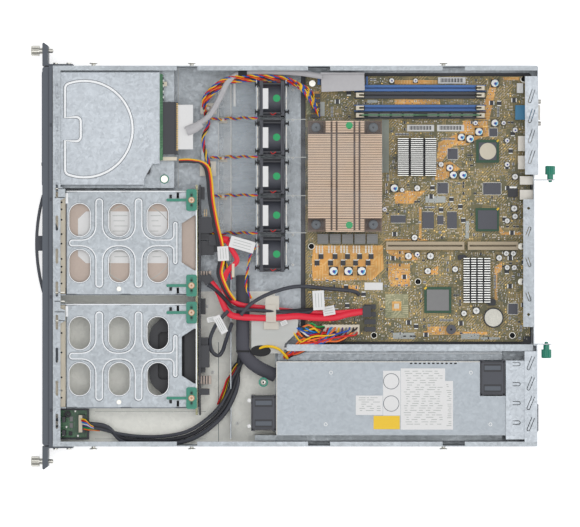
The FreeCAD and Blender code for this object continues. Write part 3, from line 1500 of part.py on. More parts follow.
# ---------------------------------------------------------------------------
# Power supply
# ---------------------------------------------------------------------------

def psu_case():
    """The power supply's closed case, stepped round its rear fan."""
    body = new_body("psu_case")
    left, right, front, rear = D.supply_left, D.supply_right, D.supply_front, D.supply_rear
    low, top = D.gauge, D.supply_top
    plan = [
        (left, front), (right, front), (right, rear), (left + 39.2, rear), (left + 39.2, rear - 29),
        (left, rear - 29),
    ]
    pad(body, "XY", (low, top), [plan])
    seam = [
        rectangle(left - 1, low + 2, left + 0.5, top - 2),
        rectangle(right - 0.5, low + 2, right + 1, top - 2),
    ]
    pocket(body, "XZ", (front + 12, front + 12.8), seam)
    vents = [Disc(136.5 + 5 * index, 32, 1.6) for index in range(11)]
    pocket(body, "YZ", (left - 1, left + 3), vents)
    pocket(body, "YZ", (right - 3, right + 1), vents)
    inlet = [Disc(x + 177.4, z + 21, 2.2) for x, z in honeycomb(5.6, 16)]
    pocket(body, "XZ", (front, front + 3), inlet)
    exit_holes = [Disc(x + 137.5, z + 21, 2.2) for x, z in honeycomb(5.6, 16)]
    pocket(body, "XZ", (rear - 32, rear - 29), exit_holes)
    return subpart("psu_case", body)


# ---------------------------------------------------------------------------
# Cables, held along their whole length inside the server
# ---------------------------------------------------------------------------

RIBBON_ROUTE = (
    (-145, -130.8, 34), (-145, -114, 34), (-156, -97, 34), (-176, -81, 33), (-195, -62, 31),
    (-205, -38, 30), (-206, -12, 30), (-204.5, 8, 29.5), (-199.4, 22, 29.2), (-199.4, 34, 29.2),
)
DATA_ROUTES = (
    ((-9, -86.4, 24), (-9, -74, 24), (-2, -63, 27), (9, -60, 29.4), (19, -68, 31), (29, -77, 32),
     (41, -77, 31.6), (51, -69, 30), (57, -56, 29), (59.4, -36, 27.6), (60.6, -10, 26), (62, 18, 25),
     (63, 46, 23.6), (63.6, 68, 21), (65, 87, 18.8)),
    ((24.8, -89.4, 25), (24.8, -79, 25), (36, -76.4, 25), (50, -77, 25.4), (62, -69, 26), (67.6, -54, 27),
     (69, -34, 26.8), (69.8, -10, 26), (71, 18, 25), (72, 46, 23.6), (72.8, 68, 21), (74.5, 87, 18.8)),
)
PANEL_ROUTE = (
    (190, -232.5, 16), (190, -220, 16), (197, -206, 15), (206, -190, 13), (209.4, -166, 13),
    (208.6, -138, 13), (202, -112, 14), (187, -90, 18), (170, -73, 21.6), (152, -62.5, 27),
    (131, -59, 30.5), (108, -57.5, 31.5), (84, -56.4, 32), (66, -54, 33), (53, -42, 33.4),
    (42, -22, 33), (34.6, 4, 32), (34, 30, 29.6), (38, 54, 26), (42, 76, 20),
)
SLEEVE_ROUTE = (
    (138, -15.8, 19), (138, -31, 19), (127, -45, 17), (109, -52, 15.4), (88, -54, 15), (64, -54.4, 15),
    (42, -54, 15), (24, -54, 15),
)
HARNESS_ROUTES = (
    (4.2, ((124, -15.8, 34), (124, -27, 34), (113, -33, 34), (102, -24, 33), (97, -8, 31), (91, 10, 28),
           (83.3, 22, 24.2), (83.3, 36.5, 24.2))),
    (2.2, ((-110, -128.2, 32.6), (-110, -115, 32.6), (-101, -100, 30), (-82, -91, 30), (-58, -86.6, 32.6),
           (-34, -85, 34), (-8, -84, 34.4), (16, -85, 35.4), (36, -82.6, 36.6), (51, -72, 37.6),
           (59, -54, 38.2), (61.4, -32, 38), (62.4, -8, 37), (66, 14, 36.6), (73, 32, 37), (82, 44, 37),
           (82, 44, 28.6))),
)


def smooth_path(points):
    """Straight runs joined by tangent arcs as large as the shorter run allows."""
    vectors = [Vector(*point) for point in points]
    edges = []
    radii = []
    start = vectors[0]
    for before, corner, after in zip(vectors, vectors[1:], vectors[2:]):
        back = before - corner
        ahead = after - corner
        shorter = min(back.Length, ahead.Length)
        turn = math.pi - back.getAngle(ahead)
        reach = 0.45 * shorter
        radius = reach / math.tan(turn / 2)
        radii.append(radius)
        back.normalize()
        ahead.normalize()
        entry = corner + back * reach
        leave = corner + ahead * reach
        inward = back + ahead
        inward.normalize()
        centre = corner + inward * math.hypot(radius, reach)
        edges.append(Part.LineSegment(start, entry).toShape())
        edges.append(Part.Arc(entry, centre - inward * radius, leave).toShape())
        start = leave
    edges.append(Part.LineSegment(start, vectors[-1]).toShape())
    return Part.Wire(edges), radii


def cable(name, radius, points):
    """A cable's tube along its route, checked against its section times its length."""
    path, radii = smooth_path(points)
    way = Vector(*points[1]) - Vector(*points[0])
    section = Part.Wire([Part.makeCircle(radius, Vector(*points[0]), way)])
    solid = path.makePipeShell([section], True, False)
    expected = math.pi * radius ** 2 * path.Length
    share = solid.Volume / expected
    if not 0.98 < share < 1.02:
        raise RuntimeError("%s has %.3f of the volume of its route" % (name, share))
    print("%s: length %.0f mm, radii %s" % (name, path.Length, [round(r) for r in radii]))
    tube = DOC.addObject("Part::Feature", name)
    tube.Shape = solid
    tube.Placement = Placement()
    return tube


def ribbon_cable():
    """The optical drive's ribbon, gathered to a round bundle, with its plug on the board."""
    tube = cable("ribbon", 3.2, RIBBON_ROUTE)
    board = board_top()
    plug = block((-203.2, -194.6), (34, 86), (board + 9, board + 14))
    riser = block((-203.2, -195.6), (34, 40), (board + 14, 33))
    return subpart("ribbon_cable", group([tube, plug, riser]))


def data_cables():
    """The two red disk cables with their plugs."""
    tubes = [cable("data_cable", 2.2, route) for route in DATA_ROUTES]
    return subpart("data_cables", group(tubes))


def power_harness():
    """The power supply's sleeved harness, the board's supply loom with plug, and the drives' lead."""
    tubes = [cable("harness", radius, route) for radius, route in HARNESS_ROUTES]
    tubes.append(cable("sleeve", 7.4, SLEEVE_ROUTE))
    board = board_top()
    tubes.append(block((78, 88.6), (36.5, 78), (board + 10, board + 20)))
    return subpart("power_harness", group(tubes))


def panel_cable():
    """The control panel's cable, laid along the right wall."""
    return subpart("panel_cable", group([cable("panel_lead", 2.4, PANEL_ROUTE)]))


# ---------------------------------------------------------------------------
# Fasteners
# ---------------------------------------------------------------------------

def pan_head(x, y, z, radius, height, shank=0.0, shank_radius=1.5):
    """A flat-topped screw head on an upward face, with an optional shank below it."""
    head = rod("Z", (x, y, z), height, radius)
    if not shank:
        return head
    return joined([head, rod("Z", (x, y, z - shank), shank, shank_radius)])


def screws():
    """Every plain screw: board, ears, heat sink, clips, cages and the optical bracket."""
    board = board_top()
    pieces = [pan_head(x, y, board, 3.6, 2, 6, 1.5) for x, y in STANDOFFS]
    for side in (-1, 1):
        start = (D.chassis_width / 2 + 2) * side
        for y in (-265.8, -250.8):
            low = start if side > 0 else start - 2
            pieces.append(rod("X", (low, y, 21.5), 2, 2.8))
    for x, y in SINK_SCREWS:
        post = rod("Z", (x, y, board), D.sink_base + 3 - board, 2.1)
        pieces.append(joined([post, rod("Z", (x, y, D.sink_base + 3), 6, 4.4)]))
    for _, x in BOARD_CLIPS:
        shank = rod("Z", (x, CLIP_ROW, D.bay_top), 3.2, 2.0)
        pieces.append(joined([shank, rod("Z", (x, CLIP_ROW, D.bay_top + 3.1), 1.2, 3.4)]))
    for bay in (D.first_bay, D.second_bay):
        pieces.append(rod("Z", (bay + 51.9, -193.5, D.bay_top), 1.4, 2.6))
    pieces.append(rod("Z", (-87.1, -142.4, D.optical_floor + 1.2), 2.4, 4))
    return subpart("screws", group(pieces))


# ---------------------------------------------------------------------------
# Assembly
# ---------------------------------------------------------------------------

def build():
    """Make every sub-part."""
    base_pan()
    rear_panel()
    expansion_bracket()
    front_frame()
    inner_walls()
    rail_studs()
    front_bezel()
    rack_ears()
    rack_screw("left_rack_screw", -1)
    rack_screw("right_rack_screw", 1)
    rear_screw("left_rear_screw", LEFT_TAB, LEFT_TAB_AXIS, -1)
    rear_screw("right_rear_screw", BRACKET_RIGHT, RIGHT_TAB_AXIS, 1)
    push_button("power_button", POWER_PLACE, 4, 1.4)
    push_button("reset_button", RESET_PLACE, 2.5, 0.6)
    front_io_board()
    cages = [drive_cage(D.first_bay), drive_cage(D.second_bay)]
    subpart("drive_cages", group(cages))
    drive_carrier()
    hard_drive()
    carrier_handle()
    drive_blank()
    for label, x in BOARD_CLIPS:
        board_clip(label, x)
    backplane()
    optical_bracket()
    optical_drive()
    optical_tray()
    eject_button()
    optical_adapter()
    fan_bracket()
    fan_frames()
    for index in range(FAN_COUNT):
        x = D.first_fan + D.fan_pitch * index
        fan_rotor("fan_rotor_%d" % (index + 1), x, D.fan_front, D.fan_floor)
    for label, x, y in SUPPLY_FANS:
        fan_rotor(label, x, y, SUPPLY_FAN_FLOOR)
    air_duct()
    board_insulator()
    motherboard()
    cpu_heatsink()
    chipset_heatsinks()
    memory_sockets()
    latches("front_latches", LATCH_PIVOTS[0], -1)
    latches("rear_latches", LATCH_PIVOTS[1], 1)
    memory_module()
    capacitors()
    board_chips()
    coin_cell()
    board_connectors()
    rear_ports()
    psu_case()
    ribbon_cable()
    data_cables()
    power_harness()
    panel_cable()
    screws()


def check_and_export():
    """Stop on any failed object or bad shape, then write one file per sub-part."""
    DOC.recompute()
    for thing in DOC.Objects:
        if "Invalid" in thing.State or "Error" in thing.State:
            raise RuntimeError("%s (%s) failed: %s" % (thing.Name, thing.Label, thing.State))
    os.makedirs("parts", exist_ok=True)
    for thing in SUBPARTS:
        shape = thing.Shape
        if shape.isNull() or not shape.isValid() or not shape.Solids:
            raise RuntimeError("%s has no valid solid" % thing.Label)
        shape.exportStep("parts/%s.step" % thing.Label)
    print("%d sub-parts written" % len(SUBPARTS))


build()
check_and_export()
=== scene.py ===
"""Looks of an open 1U rack server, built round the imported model."""

from __future__ import annotations

import logging
import math
import random
from dataclasses import dataclass, field
from enum import Enum

import bmesh
import bpy
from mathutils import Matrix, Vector

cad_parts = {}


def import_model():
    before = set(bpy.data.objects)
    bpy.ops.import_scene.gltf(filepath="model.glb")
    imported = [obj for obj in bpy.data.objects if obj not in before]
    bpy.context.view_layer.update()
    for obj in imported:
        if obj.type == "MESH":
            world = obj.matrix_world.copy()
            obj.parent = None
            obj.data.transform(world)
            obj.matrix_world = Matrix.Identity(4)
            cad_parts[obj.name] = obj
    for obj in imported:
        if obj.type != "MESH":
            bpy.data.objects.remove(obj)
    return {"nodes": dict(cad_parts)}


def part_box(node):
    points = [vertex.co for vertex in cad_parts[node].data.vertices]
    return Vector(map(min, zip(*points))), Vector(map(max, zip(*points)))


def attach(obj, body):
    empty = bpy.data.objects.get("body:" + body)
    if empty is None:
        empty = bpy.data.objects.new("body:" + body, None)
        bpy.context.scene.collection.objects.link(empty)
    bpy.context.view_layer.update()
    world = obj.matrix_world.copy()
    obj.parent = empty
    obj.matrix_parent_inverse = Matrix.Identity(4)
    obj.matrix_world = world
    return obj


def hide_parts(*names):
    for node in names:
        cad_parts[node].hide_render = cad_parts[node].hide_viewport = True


LOG = logging.getLogger("rack_server")
MM = 0.001
SMOOTH_BELOW = 35.0

Spot = tuple[float, float, float]
Span = tuple[float, float]
Colour = tuple[float, float, float]


def tone(colour: Colour) -> Colour:
    """A colour given as 0 to 255 display values, in linear light."""
    shares = (value / 255 for value in colour)
    return tuple(share / 12.92 if share <= 0.04045 else ((share + 0.055) / 1.055) ** 2.4 for share in shares)


# ---------------------------------------------------------------------------
# Shader groups and finishes
# ---------------------------------------------------------------------------


class Web:
    """Short ways to add and join nodes in a node tree."""

    def __init__(self, tree: bpy.types.NodeTree) -> None:
        """Start on a tree.

        Args:
            tree: The tree that gets the nodes.
        """
        self.tree = tree

    def add(self, kind: str, **values: object) -> bpy.types.Node:
        """Add a node.

        Args:
            kind: The node's type name.
            **values: Attributes to set on it.

        Returns:
            The new node.
        """
        node = self.tree.nodes.new(kind)
        for name, value in values.items():
            setattr(node, name, value)
        return node

    def join(self, source: object, target: bpy.types.NodeSocket) -> None:
        """Link a socket to a target, or set the target to a plain value."""
        if isinstance(source, bpy.types.NodeSocket):
            self.tree.links.new(source, target)
        else:
            target.default_value = source

    def sum(self, operation: str, first: object, second: object = 0.0,
            third: object = None) -> bpy.types.NodeSocket:
        """One step of arithmetic.

        Args:
            operation: The Math node's operation.
            first: A socket or number.
            second: A socket or number.
            third: A socket or number, for the operations that read it.

        Returns:
            The result's socket.
        """
        node = self.add("ShaderNodeMath", operation=operation)
        self.join(first, node.inputs[0])
        self.join(second, node.inputs[1])
        if third is not None:
            self.join(third, node.inputs[2])
        return node.outputs[0]

    def blend(self, share: object, first: object, second: object,
              way: str = "MIX") -> bpy.types.NodeSocket:
        """Mix two colours.

        Args:
            share: How much of the second, as a socket or number.
            first: A socket or colour.
            second: A socket or colour.
            way: The Mix node's blend type.

        Returns:
            The mixed colour's socket.
        """
        node = self.add("ShaderNodeMix", data_type="RGBA", blend_type=way)
        for value, target in ((share, node.inputs[0]), (first, node.inputs[6]), (second, node.inputs[7])):
            if isinstance(value, tuple):
                value = (*value, 1.0)
            self.join(value, target)
        return node.outputs[2]

    def shade(self, colour: object, factor: object) -> bpy.types.NodeSocket:
        """Make a colour darker or lighter by one factor."""
        grey = self.add("ShaderNodeCombineColor")
        for socket in grey.inputs:
            self.join(factor, socket)
        return self.blend(1.0, colour, grey.outputs[0], "MULTIPLY")

    def range(self, value: object, low: float, high: float, start: float = 0.0,
              end: float = 1.0) -> bpy.types.NodeSocket:
        """Carry a span of values to another span, clamped."""
        node = self.add("ShaderNodeMapRange")
        for item, target in zip((value, low, high, start, end), node.inputs):
            self.join(item, target)
        return node.outputs[0]

    def cloud(self, place: object, scale: object, detail: float = 3.0,
              rough: float = 0.55) -> bpy.types.NodeSocket:
        """Noise over a place."""
        node = self.add("ShaderNodeTexNoise")
        node.inputs["Detail"].default_value = detail
        node.inputs["Roughness"].default_value = rough
        self.join(place, node.inputs["Vector"])
        self.join(scale, node.inputs["Scale"])
        return node.outputs["Fac"]


class Kit(Enum):
    """The shader groups that several finishes share."""

    UNEVEN = "uneven_tint"
    SPANGLE = "zinc_spangle"
    TRACES = "copper_traces"


def new_group(kit: Kit, inputs: dict[str, object], outputs: dict[str, str]) -> tuple[Web, object, object]:
    """An empty shader group with named sockets.

    Args:
        kit: The group's name.
        inputs: Socket name to default value; a tuple makes a colour.
        outputs: Socket name to socket type.

    Returns:
        The group's web, its input node and its output node.
    """
    group = bpy.data.node_groups.new(kit.value, "ShaderNodeTree")
    for name, value in inputs.items():
        kind = "NodeSocketColor" if isinstance(value, tuple) else "NodeSocketFloat"
        socket = group.interface.new_socket(name, in_out="INPUT", socket_type=kind)
        socket.default_value = (*value, 1.0) if isinstance(value, tuple) else value
    for name, kind in outputs.items():
        group.interface.new_socket(name, in_out="OUTPUT", socket_type=kind)
    web = Web(group)
    return web, web.add("NodeGroupInput"), web.add("NodeGroupOutput")


def uneven_group() -> None:
    """Build the group that makes a plain colour uneven, with a matching height."""
    web, given, result = new_group(
        Kit.UNEVEN, {"Colour": (0.5, 0.5, 0.5), "Amount": 0.1, "Scale": 200.0},
        {"Colour": "NodeSocketColor", "Height": "NodeSocketFloat"})
    place = web.add("ShaderNodeTexCoord").outputs["Object"]
    fine = web.cloud(place, given.outputs["Scale"], 4.0)
    wide = web.cloud(place, web.sum("MULTIPLY", given.outputs["Scale"], 0.11), 2.0)
    both = web.sum("ADD", web.sum("MULTIPLY", fine, 0.6), web.sum("MULTIPLY", wide, 0.4))
    level = web.sum("MULTIPLY", web.sum("SUBTRACT", both, 0.5), given.outputs["Amount"])
    factor = web.sum("MULTIPLY_ADD", level, 2.0, 1.0)
    web.join(web.shade(given.outputs["Colour"], factor), result.inputs["Colour"])
    web.join(fine, result.inputs["Height"])


def spangle_group() -> None:
    """Build the group for zinc-coated sheet: crystals of slightly different grey, and faint streaks."""
    web, given, result = new_group(
        Kit.SPANGLE, {"Colour": (0.5, 0.5, 0.5), "Contrast": 0.2, "Scale": 130.0},
        {"Colour": "NodeSocketColor", "Roughness": "NodeSocketFloat", "Height": "NodeSocketFloat"})
    place = web.add("ShaderNodeTexCoord").outputs["Object"]
    warp = web.add("ShaderNodeTexNoise")
    warp.inputs["Scale"].default_value = 90.0
    web.join(place, warp.inputs["Vector"])
    shift = web.add("ShaderNodeVectorMath", operation="MULTIPLY_ADD")
    web.join(warp.outputs["Color"], shift.inputs[0])
    shift.inputs[1].default_value = (0.012, 0.012, 0.0)
    web.join(place, shift.inputs[2])
    cells = web.add("ShaderNodeTexVoronoi")
    web.join(shift.outputs[0], cells.inputs["Vector"])
    web.join(given.outputs["Scale"], cells.inputs["Scale"])
    split = web.add("ShaderNodeSeparateColor")
    web.join(cells.outputs["Color"], split.inputs[0])
    streaks = web.add("ShaderNodeMapping")
    streaks.inputs["Scale"].default_value = (1.0, 0.12, 1.0)
    web.join(place, streaks.inputs["Vector"])
    rolled = web.cloud(streaks.outputs[0], 240.0, 3.0)
    wide = web.cloud(place, 16.0, 2.0)
    level = web.sum("MULTIPLY", split.outputs[0], 0.45)
    level = web.sum("MULTIPLY_ADD", rolled, 0.35, level)
    level = web.sum("MULTIPLY_ADD", wide, 0.9, level)
    level = web.sum("MULTIPLY", web.sum("SUBTRACT", level, 0.85), given.outputs["Contrast"])
    factor = web.sum("MULTIPLY_ADD", level, 1.6, 1.0)
    web.join(web.shade(given.outputs["Colour"], factor), result.inputs["Colour"])
    web.join(web.range(split.outputs[1], 0.0, 1.0, 0.34, 0.52), result.inputs["Roughness"])
    web.join(web.sum("MULTIPLY_ADD", rolled, 0.5, split.outputs[2]), result.inputs["Height"])


def traces_group() -> None:
    """Build the group that lays bundles of fine tracks in changing directions over a board."""
    web, given, result = new_group(
        Kit.TRACES, {"Ground": (0.1, 0.1, 0.02), "Track": (0.5, 0.4, 0.1), "Pitch": 0.0016, "Patch": 110.0},
        {"Colour": "NodeSocketColor", "Mask": "NodeSocketFloat"})
    place = web.add("ShaderNodeTexCoord").outputs["Object"]
    cells = web.add("ShaderNodeTexVoronoi", distance="CHEBYCHEV")
    web.join(place, cells.inputs["Vector"])
    web.join(given.outputs["Patch"], cells.inputs["Scale"])
    choice = web.add("ShaderNodeSeparateColor")
    web.join(cells.outputs["Color"], choice.inputs[0])
    axes = web.add("ShaderNodeSeparateXYZ")
    web.join(place, axes.inputs[0])
    lean = web.range(web.sum("SNAP", choice.outputs[0], 0.34), 0.0, 0.68, 0.0, 1.0)
    along = web.sum("MULTIPLY", axes.outputs[0], lean)
    across = web.sum("MULTIPLY", axes.outputs[1], web.sum("SUBTRACT", 1.0, lean))
    steps = web.sum("DIVIDE", web.sum("ADD", along, across), given.outputs["Pitch"])
    lines = web.range(web.sum("PINGPONG", steps, 1.0), 0.45, 0.62)
    busy = web.range(choice.outputs[1], 0.3, 0.36)
    holes = web.add("ShaderNodeTexVoronoi")
    web.join(place, holes.inputs["Vector"])
    holes.inputs["Scale"].default_value = 420.0
    dots = web.range(holes.outputs["Distance"], 0.2, 0.26, 1.0, 0.0)
    sparse = web.range(web.cloud(place, 70.0, 1.0), 0.5, 0.56)
    mask = web.sum("MAXIMUM", web.sum("MULTIPLY", lines, busy), web.sum("MULTIPLY", dots, sparse))
    web.join(web.blend(mask, given.outputs["Ground"], given.outputs["Track"]), result.inputs["Colour"])
    web.join(mask, result.inputs["Mask"])


def grouped(web: Web, kit: Kit, **values: object) -> bpy.types.Node:
    """Place a shared group in a material's tree.

    Args:
        web: The material's web.
        kit: Which group.
        **values: Input name to number or colour.

    Returns:
        The group's node.
    """
    node = web.add("ShaderNodeGroup")
    node.node_tree = bpy.data.node_groups[kit.value]
    for name, value in values.items():
        node.inputs[name].default_value = (*value, 1.0) if isinstance(value, tuple) else value
    return node


@dataclass(frozen=True)
class Finish:
    """A moulded, painted or printed surface, slightly uneven in tone; its colour is in display values."""

    name: str
    colour: Colour
    roughness: float = 0.5
    metallic: float = 0.0
    amount: float = 0.08
    scale: float = 220.0
    bump: float = 0.0
    coat: float = 0.0
    alpha: float = 1.0

    def material(self) -> bpy.types.Material:
        """The finish's material, made once."""
        found = bpy.data.materials.get("look_" + self.name)
        if found:
            return found
        made = bpy.data.materials.new("look_" + self.name)
        made.use_nodes = True
        web = Web(made.node_tree)
        shader = made.node_tree.nodes["Principled BSDF"]
        for name, value in (("Roughness", self.roughness), ("Metallic", self.metallic),
                            ("Coat Weight", self.coat), ("Alpha", self.alpha)):
            shader.inputs[name].default_value = value
        self.paint(web, shader)
        return made

    def paint(self, web: Web, shader: bpy.types.Node) -> None:
        """Feed the shader's colour and normal."""
        group = grouped(web, Kit.UNEVEN, Colour=tone(self.colour), Amount=self.amount, Scale=self.scale)
        web.join(group.outputs["Colour"], shader.inputs["Base Color"])
        self.roughen(web, shader, group.outputs["Height"])

    def roughen(self, web: Web, shader: bpy.types.Node, height: bpy.types.NodeSocket) -> None:
        """Turn a height into a bump, where the finish has one."""
        if self.bump:
            bump = web.add("ShaderNodeBump")
            bump.inputs["Strength"].default_value = self.bump
            bump.inputs["Distance"].default_value = 0.0004
            web.join(height, bump.inputs["Height"])
            web.join(bump.outputs[0], shader.inputs["Normal"])


@dataclass(frozen=True)
class ZincSheet(Finish):
    """Zinc-coated sheet steel."""

    contrast: float = 0.22

    def paint(self, web: Web, shader: bpy.types.Node) -> None:
        """Feed the shader from the spangle group."""
        group = grouped(web, Kit.SPANGLE, Colour=tone(self.colour), Contrast=self.contrast, Scale=self.scale)
        web.join(group.outputs["Colour"], shader.inputs["Base Color"])
        web.join(group.outputs["Roughness"], shader.inputs["Roughness"])
        self.roughen(web, shader, group.outputs["Height"])


@dataclass(frozen=True)
class BoardMask(Finish):
    """A circuit board's face: solder mask over bundles of tracks."""

    track: Colour = (182, 154, 94)
    pitch: float = 0.0016
    patch: float = 110.0

    def paint(self, web: Web, shader: bpy.types.Node) -> None:
        """Feed the shader from the traces group."""
        group = grouped(web, Kit.TRACES, Ground=tone(self.colour), Track=tone(self.track), Pitch=self.pitch,
                        Patch=self.patch)
        place = web.add("ShaderNodeTexCoord").outputs["Object"]
        wide = web.range(web.cloud(place, 34.0, 2.0), 0.4, 0.6)
        dark = web.blend(1.0, group.outputs["Colour"], (0.62, 0.66, 0.6), "MULTIPLY")
        web.join(web.blend(wide, dark, group.outputs["Colour"]), shader.inputs["Base Color"])
        self.roughen(web, shader, group.outputs["Mask"])


@dataclass(frozen=True)
class ClearFilm(Finish):
    """Clear bent film with cloudy streaks."""

    streak: float = 0.5

    def paint(self, web: Web, shader: bpy.types.Node) -> None:
        """Let cloudy streaks show on a nearly clear film."""
        place = web.add("ShaderNodeTexCoord").outputs["Object"]
        stretch = web.add("ShaderNodeMapping")
        stretch.inputs["Scale"].default_value = (1.0, 0.3, 1.0)
        web.join(place, stretch.inputs["Vector"])
        mist = web.range(web.cloud(stretch.outputs[0], 60.0, 5.0), 0.42, 0.72)
        web.join(web.sum("MULTIPLY_ADD", mist, self.streak, self.alpha), shader.inputs["Alpha"])
        shader.inputs["Base Color"].default_value = (*tone(self.colour), 1.0)


def jacket(name: str, colour: Colour) -> Finish:
    """The skin of a thin wire."""
    return Finish(name + "_wire", colour, 0.42, amount=0.05)


STEEL = ZincSheet("zinc_sheet", (170, 176, 181), 0.42, 0.35, scale=420.0, contrast=0.3, bump=0.05)
# The floor's paler sheet: partly its own paler tone, partly painted light, its colour raised to near white
# where the walls keep light off the floor.
LIT_PALE_STEEL = ZincSheet("pale_zinc_sheet_painted_light", (250, 249, 240), 0.6, 0.0, scale=300.0, contrast=0.12)
# Painted shade: zinc sheet for the block in shade beside the power supply and for its cover's shaded edge.
SHADED_STEEL = ZincSheet("shaded_zinc_sheet", (168, 174, 178), 0.42, 0.25, scale=300.0, contrast=0.25)
LID_STEEL = ZincSheet("lid_sheet", (186, 192, 198), 0.42, 0.3, scale=420.0, contrast=0.26, bump=0.05)
SUPPLY_STEEL = ZincSheet("supply_sheet", (167, 174, 180), 0.5, 0.25, scale=500.0, contrast=0.06)
GLINT = Finish("steel_glint", (250, 251, 252), 0.4, 0.0, 0.04)
SHADE = Finish("steel_shade", (104, 110, 116), 0.6, 0.0, 0.06)
# Port shell metal; also painted highlight strips on the fan bracket and along the power supply cover's edges.
SHELL_AND_GLINT = Finish("port_shell", (186, 182, 174), 0.36, 0.5, 0.12)
# Nickel plating; also painted highlight lines on the front frame flange's tab edges.
NICKEL_AND_GLINT = Finish("nickel_and_glint", (200, 198, 190), 0.28, 0.85, 0.1)
CELL = Finish("cell_steel", (168, 166, 158), 0.32, 0.6, 0.5, 700.0, 0.2)
DULL_NICKEL = Finish("dull_nickel", (160, 160, 156), 0.4, 0.6, 0.2)
SLATE = Finish("slate_plastic", (84, 90, 99), 0.5, scale=900.0, bump=0.15)
SLATE_METAL = Finish("slate_paint", (78, 84, 92), 0.45, 0.1, 0.08, 700.0, 0.1)
BOW = Finish("bow_plastic", (58, 62, 72), 0.45, amount=0.1, scale=800.0, bump=0.1)
BLACK = Finish("black_plastic", (46, 47, 53), 0.45, amount=0.12, scale=500.0, bump=0.08)
FAN_BLACK = Finish("fan_plastic", (68, 70, 78), 0.5, amount=0.12, scale=500.0, bump=0.08)
# Near black, mostly painted shade inside holes, slots, sockets and openings.
DEEP = Finish("deep_black", (22, 22, 25), 0.7, amount=0.1)
RUBBER = Finish("black_rubber", (30, 31, 34), 0.75, amount=0.15, scale=400.0, bump=0.1)
FILM_BLACK = Finish("insulator_film", (52, 53, 62), 0.4, amount=0.1)
TEAL = Finish("teal_plastic", (4, 128, 104), 0.38, scale=400.0, coat=0.2)
# Painted shade: the clips' teal plastic where it lies in their recesses.
SHADED_TEAL = Finish("shaded_teal", (4, 88, 70), 0.45)
GREEN_DOT = Finish("green_sticker", (8, 158, 90), 0.5, amount=0.04)
COPPER = Finish("copper_fins", (222, 194, 168), 0.45, 0.25, 0.1, 130.0)
# Painted shade on the heat sink: darker copper for the gaps where the fins' folds meet, the sunken screw
# corners, and the base plate and end sheets.
COPPER_SHADE = Finish("copper_shade", (84, 66, 56), 0.55, 0.2, 0.3, 900.0)
COPPER_GAP_SHADE = Finish("copper_gap_shade", (120, 98, 82), 0.6, 0.3, 0.1, 300.0)
COPPER_SCREW = Finish("copper_screw", (170, 120, 86), 0.35, 0.7, 0.2)
ALUMINIUM = Finish("aluminium", (214, 214, 210), 0.34, 0.7, 0.1, 200.0)
DIE_CAST = Finish("die_cast", (184, 168, 157), 0.5, 0.3, 0.12, 400.0, 0.1)
OLIVE_BOARD = BoardMask("olive_board", (112, 104, 60), 0.42, coat=0.1, track=(182, 154, 94),
                        pitch=0.00085, patch=150.0)
PALE_BOARD = BoardMask("pale_board", (150, 148, 112), 0.42, track=(196, 188, 150), patch=260.0,
                       pitch=0.0011)
ORANGE_POUR = BoardMask("orange_pour", (222, 154, 56), 0.36, 0.1, coat=0.2, track=(228, 176, 96),
                        patch=170.0)
GREEN_BOARD = BoardMask("green_board", (34, 110, 64), 0.4, coat=0.2, track=(70, 130, 84))
GOLD = Finish("gold_pad", (222, 184, 110), 0.3, 0.6, 0.1)
SOLDER = Finish("solder", (206, 206, 202), 0.32, 0.5, 0.15, 900.0)
TAN = Finish("tan_ceramic", (176, 152, 116), 0.55, amount=0.25, scale=900.0)
CHIP = Finish("chip_package", (74, 75, 84), 0.45, amount=0.1, scale=600.0, bump=0.06)
# Dark chip plastic; also painted shade on the chipset heat sinks' base between their fins.
DARK_CHIP_AND_SHADE = Finish("chip_dark_and_shade", (44, 45, 50), 0.5, amount=0.15, scale=600.0)
CHIP_GREEN = Finish("chip_base", (24, 74, 46), 0.45, amount=0.12)
CHIP_GREY = Finish("chip_lid", (112, 112, 112), 0.38, 0.3, 0.1, 400.0)
FERRITE = Finish("ferrite", (122, 122, 120), 0.5, 0.15, 0.35, 900.0)
# Cream plastic; also the painted highlight on each clip's shiny stud.
CREAM_AND_GLINT = Finish("cream_plastic_and_glint", (214, 204, 184), 0.5, amount=0.06)
NATURAL = Finish("natural_nylon", (222, 216, 204), 0.45, amount=0.06, alpha=0.72)
RISER = Finish("riser_plastic", (176, 160, 134), 0.5, amount=0.1)
BLUE = Finish("blue_plastic", (52, 104, 172), 0.4)
DIMM_BLACK = Finish("slot_black", (50, 53, 62), 0.45, amount=0.1)
VGA_BLUE = Finish("display_blue", (40, 120, 160), 0.42, amount=0.06)
# White plastic; also painted highlight lines along the film's creases and the floor's edge before the fans.
WHITE_AND_GLINT = Finish("white_plastic_and_glint", (232, 232, 230), 0.5, amount=0.04)
PAPER = Finish("white_label", (228, 227, 226), 0.6, amount=0.05, scale=300.0)
GREY_PAPER = Finish("grey_label", (176, 180, 176), 0.6, amount=0.12, scale=300.0)
SPECKED = Finish("board_label", (150, 156, 146), 0.6, amount=0.2, scale=300.0)
YELLOW_PAPER = Finish("yellow_label", (240, 198, 44), 0.55, amount=0.05)
CYAN = Finish("cyan_mark", (60, 176, 214), 0.45, amount=0.05)
NAVY = Finish("navy_mark", (46, 52, 150), 0.45, amount=0.05)
RED = Finish("red_jacket", (226, 24, 54), 0.42, amount=0.06)
WIRE_RED = jacket("red", (214, 34, 34))
WIRE_BLACK = Finish("black_wire", (40, 40, 46), 0.42)
WIRE_YELLOW = jacket("yellow", (244, 196, 20))
WIRE_BLUE = jacket("blue", (30, 84, 176))
WIRE_SKY = jacket("sky", (20, 130, 214))
WIRE_GREEN = jacket("green", (20, 152, 72))
WIRE_ORANGE = jacket("orange", (240, 116, 40))
WIRE_VIOLET = jacket("violet", (74, 50, 120))
WIRE_GREY = jacket("grey", (132, 132, 136))
WIRE_WHITE = jacket("white", (226, 222, 216))
